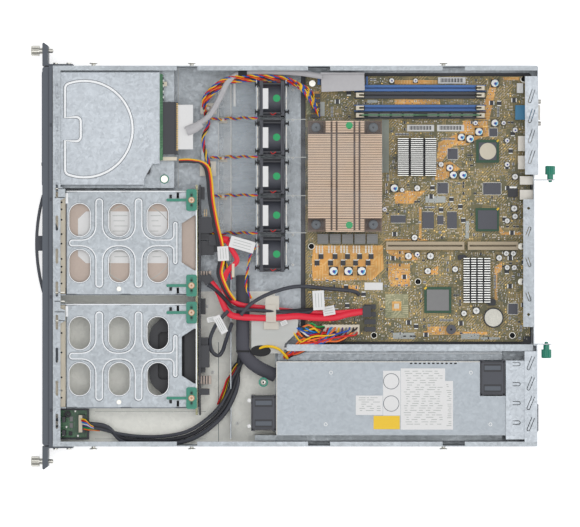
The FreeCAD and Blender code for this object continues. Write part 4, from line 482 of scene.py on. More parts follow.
RIBBON = Finish("ribbon_skin", (184, 182, 184), 0.5, amount=0.12, scale=300.0)
CABLE_GREY = Finish("cable_skin", (66, 68, 76), 0.45, scale=500.0)
SLEEVE = Finish("woven_sleeve", (74, 74, 82), 0.75, amount=0.16, scale=700.0, bump=0.3)
CLEAR = ClearFilm("clear_film", (226, 232, 236), 0.18, alpha=0.01, streak=0.05)
MIST = ClearFilm("misty_film", (232, 236, 238), 0.3, alpha=0.35, streak=0.5)
HAZE = ClearFilm("hazy_film", (208, 218, 226), 0.3, alpha=0.2, streak=0.3)
FROSTED = ClearFilm("frosted_film", (196, 197, 193), 0.4, alpha=0.86, streak=0.1)


# ---------------------------------------------------------------------------
# Building meshes
# ---------------------------------------------------------------------------


def placed(name: str, data: bpy.types.ID) -> bpy.types.Object:
    """A new object in the scene, holding some data."""
    thing = bpy.data.objects.new(name, data)
    bpy.context.scene.collection.objects.link(thing)
    return thing


def turned(x: float, y: float, angle: float) -> tuple[float, float]:
    """A point turned about the origin by an angle in degrees."""
    turn = math.radians(angle)
    return x * math.cos(turn) - y * math.sin(turn), x * math.sin(turn) + y * math.cos(turn)


def rounded(corners: list[tuple[float, ...]], steps: int = 6) -> list[tuple[float, float]]:
    """A closed outline with its corners rounded.

    Args:
        corners: Each corner's X and Y, and its radius where it has one.
        steps: Points on each rounded corner, less one.

    Returns:
        The outline's points.
    """
    points = []
    for index, corner in enumerate(corners):
        here = Vector(corner[:2])
        radius = corner[2] if len(corner) > 2 else 0.0
        if not radius:
            points.append(tuple(here))
            continue
        back = (Vector(corners[index - 1][:2]) - here).normalized()
        ahead = (Vector(corners[(index + 1) % len(corners)][:2]) - here).normalized()
        half = back.angle(ahead) / 2
        middle = here + (back + ahead).normalized() * (radius / math.sin(half))
        start = here + back * (radius / math.tan(half)) - middle
        sweep = (math.pi - 2 * half) * (1 if ahead.cross(back) > 0 else -1)
        for step in range(steps + 1):
            x, y = turned(start.x, start.y, math.degrees(sweep * step / steps))
            points.append((middle.x + x, middle.y + y))
    return points


def smooth(route: list[Spot], step: float = 2.5) -> list[Spot]:
    """A curve through a route's points, as evenly placed points.

    Args:
        route: Points in millimetres.
        step: About how far apart the new points are.

    Returns:
        The points along the curve.
    """
    points = [Vector(spot) for spot in route]
    points = [points[0] * 2 - points[1]] + points + [points[-1] * 2 - points[-2]]
    result: list[Spot] = []
    for first, second, third, fourth in zip(points, points[1:], points[2:], points[3:]):
        count = max(2, int((third - second).length / step))
        for index in range(count):
            share = index / count
            bend = (second * 2 + (third - first) * share
                    + (first * 2 - second * 5 + third * 4 - fourth) * share ** 2
                    + (second * 3 - third * 3 + fourth - first) * share ** 3) / 2
            result.append(tuple(bend))
    result.append(tuple(points[-2]))
    return result


def frames(path: list[Spot]) -> list[tuple[Vector, Vector, Vector]]:
    """The point, side and up directions along a path, without sudden twists."""
    points = [Vector(spot) for spot in path]
    side = Vector((0, 0, 1)).cross(points[1] - points[0])
    if side.length < 1e-6:
        side = Vector((1, 0, 0))
    side.normalize()
    result = []
    for index, point in enumerate(points):
        before, after = points[max(index - 1, 0)], points[min(index + 1, len(points) - 1)]
        way = (after - before).normalized()
        side = (side - way * side.dot(way)).normalized()
        result.append((point, side, way.cross(side)))
    return result


def bands(levels: int, sides: int, closed: bool = False) -> list[tuple[int, ...]]:
    """The four-sided faces between rings of points.

    Args:
        levels: How many rings there are.
        sides: How many points each ring has.
        closed: Whether the last ring joins the first.

    Returns:
        The faces, as numbers of points.
    """
    faces = []
    for level in range(levels if closed else levels - 1):
        low, high = level * sides, (level + 1) % levels * sides
        faces += [(low + index, low + (index + 1) % sides, high + (index + 1) % sides, high + index)
                  for index in range(sides)]
    return faces


def strand(path: list[Spot], radius: float, pitch: float, phase: float) -> list[Spot]:
    """One strand of a twisted bundle round a path.

    Args:
        path: The bundle's middle line in millimetres.
        radius: The strand's distance from it.
        pitch: Length of one turn.
        phase: Start angle in degrees.

    Returns:
        The strand's points.
    """
    result, run, last = [], 0.0, None
    for point, side, up in frames(path):
        run += (point - last).length if last else 0.0
        last = point
        angle = math.radians(phase) + 2 * math.pi * run / pitch
        result.append(tuple(point + side * radius * math.cos(angle) + up * radius * math.sin(angle)))
    return result


class Form:
    """A mesh in the making: points in millimetres, faces, and a finish for each face."""

    def __init__(self) -> None:
        """Start empty."""
        self.points: list[Spot] = []
        self.faces: list[tuple[int, ...]] = []
        self.marks: list[int] = []
        self.finishes: list[Finish] = []

    def add(self, points: list[Spot], faces: list[tuple[int, ...]], finish: Finish) -> None:
        """Add points and faces in one finish."""
        if finish not in self.finishes:
            self.finishes.append(finish)
        start = len(self.points)
        self.points.extend(points)
        self.faces.extend(tuple(start + index for index in face) for face in faces)
        self.marks.extend([self.finishes.index(finish)] * len(faces))

    def prism(self, outline: list[tuple[float, float]], z: Span, finish: Finish) -> None:
        """Add a closed outline carried up from one height to another.

        Args:
            outline: Corners in X and Y, counter-clockwise from above.
            z: Lower and upper height.
            finish: The finish of all faces.
        """
        count = len(outline)
        points = [(x, y, height) for height in z for x, y in outline]
        faces = [tuple(reversed(range(count))), tuple(range(count, 2 * count))]
        faces += [(index, (index + 1) % count, (index + 1) % count + count, index + count)
                  for index in range(count)]
        self.add(points, faces, finish)

    def box(self, x: Span, y: Span, z: Span, finish: Finish, turn: float = 0.0) -> None:
        """Add a block, turned in degrees about its own upright middle line."""
        middle = ((x[0] + x[1]) / 2, (y[0] + y[1]) / 2)
        corners = []
        for corner in ((x[0], y[0]), (x[1], y[0]), (x[1], y[1]), (x[0], y[1])):
            across, along = turned(corner[0] - middle[0], corner[1] - middle[1], turn)
            corners.append((middle[0] + across, middle[1] + along))
        self.prism(corners, z, finish)

    def pad(self, middle: tuple[float, float], half: tuple[float, float], z: Span, finish: Finish,
            turn: float = 0.0) -> None:
        """Add a block given by the middle of its plan and half its two sides."""
        (x, y), (across, along) = middle, half
        self.box((x - across, x + across), (y - along, y + along), z, finish, turn)

    def lathe(self, centre: Spot, profile: list[tuple[float, float]], finish: Finish, axis: str = "Z",
              sides: int = 20) -> None:
        """Add a turned shape.

        Args:
            centre: Where the profile's zero is.
            profile: Radius and distance along the axis, from one end to the other.
            finish: The finish of all faces.
            axis: "X", "Y" or "Z".
            sides: Number of sides.
        """
        rings = []
        for radius, height in profile:
            for index in range(sides):
                turn = 2 * math.pi * index / sides
                first, second = radius * math.cos(turn), radius * math.sin(turn)
                offset = {"X": (height, first, second), "Y": (second, height, first),
                          "Z": (first, second, height)}[axis]
                rings.append(tuple(centre[i] + offset[i] for i in range(3)))
        caps = [tuple(reversed(range(sides))), tuple(range(len(rings) - sides, len(rings)))]
        self.add(rings, bands(len(profile), sides) + caps, finish)

    def disc(self, x: float, y: float, radius: float, z: Span, finish: Finish, sides: int = 20) -> None:
        """Add a flat upright disc or pin."""
        self.lathe((x, y, z[0]), [(radius, 0), (radius, z[1] - z[0])], finish, "Z", sides)

    def ring(self, x: float, y: float, radii: Span, z: Span, finish: Finish, sides: int = 24) -> None:
        """Add an upright ring with an open middle."""
        points = []
        for radius, height in ((radii[0], z[0]), (radii[1], z[0]), (radii[1], z[1]), (radii[0], z[1])):
            points += [(x + radius * math.cos(2 * math.pi * index / sides),
                        y + radius * math.sin(2 * math.pi * index / sides), height) for index in range(sides)]
        self.add(points, bands(4, sides, closed=True), finish)

    def bead(self, outline: list[tuple[float, float]], level: float, size: Span, finish: Finish,
             shift: float = 0.0) -> None:
        """Add a low rounded ridge along a closed outline.

        Args:
            outline: Points in X and Y.
            level: The height it stands on.
            size: Its width and height.
            finish: The finish of its faces.
            shift: How far it lies to the left of the outline's direction.
        """
        count = len(outline)
        section = [(-0.5, 0.0), (-0.28, 0.75), (0.0, 1.0), (0.28, 0.75), (0.5, 0.0)]
        points = []
        for index, spot in enumerate(outline):
            way = (Vector(outline[(index + 1) % count]) - Vector(outline[index - 1])).normalized()
            for across, up in section:
                reach = shift + across * size[0]
                points.append((spot[0] - way.y * reach, spot[1] + way.x * reach, level + up * size[1]))
        self.add(points, bands(count, len(section), closed=True), finish)

    def tube(self, path: list[Spot], radius: float, finish: Finish, sides: int = 8,
             flat: float = 1.0) -> None:
        """Add a round or flattened cable along a path.

        Args:
            path: Points in millimetres.
            radius: Half its width.
            finish: The finish of its skin.
            sides: Sides of its section.
            flat: Its height as a share of its width.
        """
        points = []
        line = frames(path)
        for point, side, up in line:
            for index in range(sides):
                turn = 2 * math.pi * (index + 0.5) / sides
                points.append(tuple(point + side * radius * math.cos(turn)
                                    + up * radius * flat * math.sin(turn)))
        caps = [tuple(reversed(range(sides))), tuple(range(len(points) - sides, len(points)))]
        self.add(points, bands(len(line), sides) + caps, finish)

    def cable(self, route: list[Spot], radius: float, finish: Finish, sides: int = 10,
              flat: float = 1.0) -> None:
        """Add a tube along the smooth curve through a route's points."""
        self.tube(smooth(route), radius, finish, sides, flat)

    def mesh(self, name: str) -> bpy.types.Mesh:
        """The form as a mesh in metres, with its faces pointing outwards."""
        mesh = bpy.data.meshes.new(name)
        mesh.from_pydata([tuple(value * MM for value in point) for point in self.points], [], self.faces)
        mesh.polygons.foreach_set("material_index", self.marks)
        for finish in self.finishes:
            mesh.materials.append(finish.material())
        shape = bmesh.new()
        shape.from_mesh(mesh)
        bmesh.ops.recalc_face_normals(shape, faces=shape.faces)
        shape.to_mesh(mesh)
        shape.free()
        return mesh

    def plain(self, name: str) -> bpy.types.Object:
        """Make the form a plain object in the scene."""
        return placed(name, self.mesh(name))

    def piece(self, name: str, body: str = "server", slot: str = "", bevel: float = 0.0,
              replaces: tuple[str, ...] = ()) -> bpy.types.Object:
        """Make the form an object that rides on a body.

        Args:
            name: The piece's name.
            body: The body it moves with.
            slot: Not used.
            bevel: Edge rounding in millimetres.
            replaces: The solids that it stands for.

        Returns:
            The object.
        """
        return settle(self.plain(name), body, bevel, replaces)


def settle(thing: bpy.types.Object, body: str, bevel: float = 0.0,
           replaces: tuple[str, ...] = ()) -> bpy.types.Object:
    """Shade an object, round its edges and tell the frame about it."""
    thing.data.polygons.foreach_set("use_smooth", [True] * len(thing.data.polygons))
    thing.data.set_sharp_from_angle(angle=math.radians(SMOOTH_BELOW))
    if bevel:
        edge = thing.modifiers.new("edges", "BEVEL")
        edge.width = bevel * MM
        edge.segments = 2
        edge.limit_method = "ANGLE"
        edge.angle_limit = math.radians(SMOOTH_BELOW)
        edge.harden_normals = True
    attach(thing, body)
    if replaces:
        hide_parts(*replaces)
    LOG.info("piece %s on %s: %d faces", thing.name, body, len(thing.data.polygons))
    return thing


def join(pieces: list[bpy.types.Object], name: str) -> bpy.types.Object:
    """Join plain meshes into one, keeping each one's materials."""
    target = pieces[0]
    with bpy.context.temp_override(active_object=target, selected_editable_objects=pieces):
        bpy.ops.object.join()
    target.name = name
    target.data.name = name
    return target


# ---------------------------------------------------------------------------
# Repeats, made by geometry nodes
# ---------------------------------------------------------------------------


Layer = tuple[Form, Finish]


@dataclass
class Repeat:
    """Copies of a small form at many places, made by a geometry node tree."""

    name: str
    places: list[tuple[float, ...]]
    forms: list[Layer]

    def tree(self) -> bpy.types.NodeTree:
        """The tree, built once: points in, copies of a form out."""
        found = bpy.data.node_groups.get("copies_at_points")
        if found:
            return found
        tree = bpy.data.node_groups.new("copies_at_points", "GeometryNodeTree")
        for name, way, kind in (("Places", "INPUT", "Geometry"), ("Form", "INPUT", "Object"),
                                ("Finish", "INPUT", "Material"), ("Copies", "OUTPUT", "Geometry")):
            tree.interface.new_socket(name, in_out=way, socket_type="NodeSocket" + kind)
        web = Web(tree)
        given, result = web.add("NodeGroupInput"), web.add("NodeGroupOutput")
        form = web.add("GeometryNodeObjectInfo")
        web.join(given.outputs["Form"], form.inputs["Object"])
        copies = web.add("GeometryNodeInstanceOnPoints")
        web.join(given.outputs["Places"], copies.inputs["Points"])
        web.join(form.outputs["Geometry"], copies.inputs["Instance"])
        for name, target in (("turn", "Rotation"), ("stretch", "Scale")):
            stored = web.add("GeometryNodeInputNamedAttribute", data_type="FLOAT_VECTOR")
            stored.inputs["Name"].default_value = name
            web.join(stored.outputs[0], copies.inputs[target])
        real = web.add("GeometryNodeRealizeInstances")
        web.join(copies.outputs[0], real.inputs[0])
        dress = web.add("GeometryNodeSetMaterial")
        web.join(real.outputs[0], dress.inputs["Geometry"])
        web.join(given.outputs["Finish"], dress.inputs["Material"])
        web.join(dress.outputs[0], result.inputs[0])
        return tree

    def layer(self, form: Form, finish: Finish) -> bpy.types.Object:
        """One form's copies as a plain mesh.

        Args:
            form: The form to copy, round the origin.
            finish: Its finish.

        Returns:
            An object with the realized copies.
        """
        sample = form.plain("sample")
        spots = bpy.data.meshes.new(self.name)
        spots.from_pydata([tuple(value * MM for value in place[:3]) for place in self.places], [], [])
        turns = spots.attributes.new("turn", "FLOAT_VECTOR", "POINT")
        sizes = spots.attributes.new("stretch", "FLOAT_VECTOR", "POINT")
        for index, place in enumerate(self.places):
            turns.data[index].vector = (0.0, 0.0, math.radians(place[3] if len(place) > 3 else 0.0))
            sizes.data[index].vector = place[4:7] if len(place) > 6 else (1.0, 1.0, 1.0)
        holder = placed(self.name, spots)
        modifier = holder.modifiers.new("copies", "NODES")
        modifier.node_group = self.tree()
        names = {item.name: item.identifier for item in modifier.node_group.interface.items_tree
                 if item.in_out == "INPUT"}
        modifier[names["Form"]] = sample
        modifier[names["Finish"]] = finish.material()
        graph = bpy.context.evaluated_depsgraph_get()
        made = bpy.data.meshes.new_from_object(holder.evaluated_get(graph))
        holder.modifiers.clear()
        holder.data = made
        bpy.data.objects.remove(sample)
        return holder

    def piece(self, body: str = "server", slot: str = "", bevel: float = 0.0,
              replaces: tuple[str, ...] = ()) -> bpy.types.Object:
        """All layers as one piece that rides on a body."""
        layers = [self.layer(form, finish) for form, finish in self.forms]
        whole = join(layers, self.name) if len(layers) > 1 else layers[0]
        whole.name = self.name
        return settle(whole, body, bevel, replaces)


def block(finish: Finish, x: Span, y: Span, z: Span) -> Layer:
    """A block to repeat."""
    form = Form()
    form.box(x, y, z, finish)
    return form, finish


def slab(finish: Finish, across: float, along: float, z: Span) -> Layer:
    """A block to repeat, given by half its two sides."""
    return block(finish, (-across, across), (-along, along), z)


def pin(finish: Finish, radius: float, z: Span, sides: int = 12) -> Layer:
    """A disc or pin to repeat."""
    form = Form()
    form.disc(0, 0, radius, z, finish, sides)
    return form, finish


def spun(finish: Finish, profile: list[tuple[float, float]], sides: int) -> Layer:
    """A turned shape to repeat."""
    form = Form()
    form.lathe((0, 0, 0), profile, finish, "Z", sides)
    return form, finish


@dataclass(frozen=True)
class Zone:
    """A part of a solid, given by the spans that its faces' middles lie in."""

    finish: Finish
    x: Span = (-math.inf, math.inf)
    y: Span = (-math.inf, math.inf)
    z: Span = (-math.inf, math.inf)

    def holds(self, spot: Spot) -> bool:
        """Whether a place in millimetres lies in the zone."""
        return all(low <= value <= high for value, (low, high) in zip(spot, (self.x, self.y, self.z)))


PLAIN_COATS: dict[Finish, tuple[str, ...]] = {
    STEEL: ("base_pan", "expansion_bracket", "front_frame", "optical_bracket", "inner_walls", "drive_cages",
            "fan_bracket"),
    LID_STEEL: ("rear_panel", "optical_drive"),
    SUPPLY_STEEL: ("psu_case",),
    NICKEL_AND_GLINT: ("rail_studs", "left_rack_screw", "right_rack_screw"),
    SLATE: ("eject_button",),
    SLATE_METAL: ("rack_ears", "power_button", "reset_button"),
    BOW: ("carrier_handle",),
    TEAL: ("left_rear_screw", "right_rear_screw", "clip_1", "clip_2", "clip_3", "clip_4"),
    FAN_BLACK: ("fan_frames",),
    BLACK: ("fan_rotor_1", "fan_rotor_2", "fan_rotor_3", "fan_rotor_4", "fan_rotor_5", "psu_rotor_front",
            "psu_rotor_rear"),
    FILM_BLACK: ("board_insulator",),
    OLIVE_BOARD: ("motherboard",),
    CREAM_AND_GLINT: ("front_latches", "rear_latches"),
}
SLIDER_ZONES = (Zone(CREAM_AND_GLINT, y=(-268.4, -253.0), z=(34.4, 37.0)), Zone(BLACK, y=(-253.0, -100.0)))
ZONED_COATS: dict[str, tuple[Finish, tuple[Zone, ...]]] = {
    "screws": (NICKEL_AND_GLINT, (Zone(COPPER_SCREW, x=(-70.0, 165.0), y=(-115.0, -108.0), z=(37.0, 43.0)),
                        Zone(SHADE, x=(-160.0, -20.0), y=(15.0, 110.0), z=(12.0, 30.0)))),
    "front_bezel": (SLATE, (Zone(BOW, z=(-1.0, 0.8)),)),
    "front_io_board": (GREEN_BOARD, (
        Zone(SHELL_AND_GLINT, y=(-280.0, -262.0)), Zone(BLACK, y=(-261.9, -228.1), z=(8.5, 12.1)),
        Zone(BLACK, x=(179.0, 201.0), y=(-241.0, -232.0), z=(8.5, 20.0)),
        Zone(BLACK, y=(-258.1, -254.4), z=(8.5, 32.0)))),
    "drive_carrier": (SLATE_METAL, SLIDER_ZONES),
    "drive_blank": (SLATE_METAL, SLIDER_ZONES),
    "hard_drive": (DIE_CAST, (Zone(BLACK, z=(4.0, 14.0)),)),
    "optical_tray": (BLACK, (Zone(SLATE_METAL, y=(-281.0, -277.0)),)),
    "optical_adapter": (BLACK, (Zone(GREEN_BOARD, y=(-147.6, -145.7)),
                                Zone(CREAM_AND_GLINT, x=(-198.0, -191.0), y=(-145.0, -127.0)),
                                Zone(CREAM_AND_GLINT, x=(-113.0, -106.0)))),
    "backplane": (BLACK, (Zone(PALE_BOARD, y=(-106.9, -104.5)),)),
    "air_duct": (CLEAR, (Zone(HAZE, y=(-100.0, -36.0)),)),
    # Painted shade: the base between the chipset sinks' fins is dark.
    "chipset_heatsinks": (DULL_NICKEL, (Zone(DARK_CHIP_AND_SHADE, z=(12.9, 13.1)), Zone(ALUMINIUM, z=(25.9, 26.1)),
                                        Zone(ALUMINIUM, x=(0.0, 56.0), z=(21.9, 22.1)))),
    "memory_sockets": (DIMM_BLACK, (Zone(BLUE, x=(-195.0, -186.5)), Zone(BLUE, x=(-172.0, -164.0)))),
    "memory_module": (GREEN_BOARD, (Zone(CHIP_GREY, x=(-161.3, -160.1)),
                                    Zone(CHIP_GREY, x=(-158.7, -157.5)))),
    "board_chips": (CHIP, (Zone(CHIP_GREEN, x=(-133.0, -105.0), y=(210.0, 238.0)),
                           Zone(CHIP_GREEN, x=(-55.0, -27.5), y=(209.5, 237.5)),
                           Zone(CHIP_GREEN, x=(34.5, 65.0), y=(151.5, 183.0)),
                           Zone(CHIP_GREEN, x=(-130.5, -94.0), y=(125.0, 162.0)),
                           Zone(CHIP_GREEN, x=(9.0, 45.5), y=(197.5, 225.5)),
                           Zone(FERRITE, x=(-25.2, -13.8), y=(30.0, 100.0)))),
    "coin_cell": (DARK_CHIP_AND_SHADE, (Zone(CELL, z=(12.85, 13.3)),)),
    "board_connectors": (RISER, (
        Zone(CREAM_AND_GLINT, x=(77.0, 89.2), y=(35.0, 79.0)), Zone(BLACK, x=(54.0, 90.0), y=(83.5, 97.5)),
        Zone(BLUE, x=(-204.0, -194.0), y=(30.0, 89.0)), Zone(WHITE_AND_GLINT, x=(-197.0, -184.0), y=(256.0, 265.0)),
        Zone(BLACK, x=(-185.0, -155.0), y=(23.0, 35.0)))),
    "rear_ports": (SHELL_AND_GLINT, (Zone(VGA_BLUE, x=(-172.0, -153.5), y=(254.0, 278.5)),
                           Zone(BLACK, x=(160.0, 205.0)))),
}


def dress(mesh: bpy.types.Mesh, finish: Finish, zones: tuple[Zone, ...] = ()) -> None:
    """Give a solid its finish, and other finishes where its zones are.

    Args:
        mesh: The solid's mesh.
        finish: Its main finish.
        zones: Later zones win over earlier ones.
    """
    finishes = list(dict.fromkeys((finish, *(zone.finish for zone in zones))))
    mesh.materials.clear()
    for item in finishes:
        mesh.materials.append(item.material())
    marks = [0] * len(mesh.polygons)
    for index, face in enumerate(mesh.polygons if zones else ()):
        spot = tuple(value / MM for value in face.center)
        for zone in zones:
            if zone.holds(spot):
                marks[index] = finishes.index(zone.finish)
    mesh.polygons.foreach_set("material_index", marks)
    mesh.update()


def dress_all(nodes: dict[str, bpy.types.Object]) -> None:
    """Dress every solid that stays visible."""
    for finish, names in PLAIN_COATS.items():
        for name in names:
            dress(nodes[name].data, finish)
    for name, (finish, zones) in ZONED_COATS.items():
        dress(nodes[name].data, finish, zones)


# ---------------------------------------------------------------------------
# Sheet metal, front and bays
# ---------------------------------------------------------------------------


@dataclass
class Chassis:
    """What is riveted, screwed or pressed into the tray and its walls."""

    floor: float = 1.0
    joint: float = -81.5
    pale_from: float = 40.0
    screw_top: float = 10.5
    board_screws: tuple[tuple[float, float], ...] = (
        (-11, 24), (29, 145), (90, 95), (90, 252), (-11, 266), (29, 266), (-201, 265))
    green_ring: tuple[float, float] = (-87.1, -142.4)
    cage_screw: tuple[float, float] = (142.4, -30.4)

    def build(self) -> None:
        """Add the chassis' small pieces."""
        self.floor_marks()
        self.rivets()
        self.rings()

    def floor_marks(self) -> None:
        """The floor's second sheet, pale partly as painted light, its joint and pressed lines, a white line
        of painted highlight, and the ledges beside the power supply, with painted highlight strips on one and
        painted shade on the other.
        """
        form = Form()
        low, ledge = self.floor, (-14, 240)
        for x, y, z, finish in (
                ((self.pale_from, 213.6), (-262, -17), (low, low + 0.06), LIT_PALE_STEEL),
                ((98, 213.6), (self.joint - 0.35, self.joint + 0.35), (low, low + 0.12), SHADE),
                # A thin white upright strip: painted highlight along the edge before the fans.
                ((24, 209), (-67.7, -66.9), (low, low + 7.0), WHITE_AND_GLINT),
                ((-214, -77), (-127.6, -127), (low, low + 0.12), DULL_NICKEL),
                # Ledge by the divider, with painted highlight strips on its upper part.
                ((103.4, 118.4), ledge, (low, 18.0), STEEL), ((103.4, 105.6), ledge, (18.0, 30.0), GLINT),
                ((109.6, 110.4), ledge, (18.0, 18.3), GLINT),
                # Painted shade: a shaded block in the gap between the power supply and the side wall.
                ((202.8, 209), (-40, 240), (low, 22.0), SHADED_STEEL),
                ((176.5, 177.0), (-222, -96), (low, low + 0.15), DULL_NICKEL),
                ((207.5, 208.0), (-222, -96), (low, low + 0.15), DULL_NICKEL)):
            form.box(x, y, z, finish)
        form.piece("floor_marks", slot="galvanised_steel")

    def rivets(self) -> None:
        """Rivet heads on the floor and fan bracket."""
        low = self.floor
        spots = [(63.9, -75.8, low), (152.8, -76.4, low), (132, -88, low), (57, -95, low), (190, -60, low)]
        spots += [(x, 3.0, 2.0) for x in (-188.8, -154.7, -111.5, -68.3, -24.0, 10.0)]
        head = [(2.1, 0), (2.1, 0.25), (1.5, 0.9), (0.5, 1.1)]
        cup = [(0.9, 0.8), (0.9, 1.25)]
        Repeat("rivet_heads", spots, [spun(WHITE_AND_GLINT, head, 14), spun(DULL_NICKEL, cup, 10)]).piece(
            slot="nickel_steel")

    def rings(self) -> None:
        """Green rings round the captive screws, and the screws' cross slots and socket as near-black marks of
        painted shade.
        """
        form = Form()
        form.ring(*self.green_ring, (3.9, 5.2), (28.0, 29.4), TEAL)
        form.ring(*self.cage_screw, (3.6, 5.4), (41.0, 42.0), TEAL)
        form.lathe((*self.cage_screw, 38.5), [(3.4, 0), (3.4, 2.6), (2.4, 3.2)], NICKEL_AND_GLINT)
        # The screw's socket: a near-black disc of painted shade.
        form.disc(*self.cage_screw, 1.3, (41.6, 41.9), DEEP, 6)
        form.piece("captive_rings", slot="green_plastic", bevel=0.2)
        spots = [(*self.green_ring, 31.0)] + [(x, y, 25.0) for y in (29.3, 94.0) for x in (-145.7, -35.9)]
        slots = [(*spot, turn) for spot in spots for turn in (20.0, 110.0)]
        Repeat("cross_slots", slots, [slab(DEEP, 1.5, 0.3, (-0.2, 0.08))]).piece(
            slot="nickel_steel")
        # Each board screw gets a dark disc with a near-black middle of painted shade.
        heads = [(x, y, self.screw_top) for x, y in self.board_screws]
        Repeat("screw_recesses", heads, [pin(DARK_CHIP_AND_SHADE, 3.1, (-0.2, 0.1), 20),
                                         pin(DEEP, 1.5, (0.0, 0.16), 6)]).piece(slot="nickel_steel")


@dataclass
class FrontPanel:
    """Trim on the moulded bezel, the lamps and the control board's small parts."""

    face: float = -280.0
    lamp: float = 186.0
    board_top: float = 8.5

    def build(self) -> None:
        """Add the trim."""
        self.trim()
        self.controls()

    def trim(self) -> None:
        """Ridges along the bezel's upper edge."""
        form = Form()
        form.box((-212, 212), (-273.0, -272.2), (42.3, 42.6), BOW)
        form.box((-212, 212), (-268.9, -268.2), (42.3, 42.7), BLACK)
        for start, end in ((-150, -146), (-66, -62), (44, 48), (172, 176)):
            form.box((start, end), (-271.4, -269.2), (42.35, 42.7), BOW)
        form.piece("bezel_ridges", slot="slate_plastic", bevel=0.1)

    def controls(self) -> None:
        """Lamps beside the buttons, and the control board's chips, coil and plug."""
        form = Form()
        board = self.board_top
        for offset, finish in ((0.0, GREEN_DOT), (4.0, CREAM_AND_GLINT), (8.0, WIRE_BLUE)):
            form.lathe((self.lamp + offset, self.face - 0.4, 21.0), [(0.7, 0), (1.0, 0.4), (1.0, 1.6)],
                       finish, "Y", 12)
        for left in (182.0, 189.4):
            form.box((left, left + 5.6), (-250.4, -246.6), (board, 10.2), CHIP_GREY)
        form.box((199.0, 203.4), (-251.4, -247.4), (board, 10.0), DARK_CHIP_AND_SHADE)
        form.ring(179.5, -252.5, (1.2, 3.6), (board, 13.0), DARK_CHIP_AND_SHADE)
        for spot in ((186, -258), (194, -254), (203, -258), (176, -244), (204, -241), (198, -236)):
            form.pad(spot, (1.2, 0.9), (board, 9.7), SOLDER)
        form.box((180.2, 199.8), (-239.8, -235.6), (19.0, 21.4), CREAM_AND_GLINT)
        form.piece("control_details", slot="button_plastic", bevel=0.15)


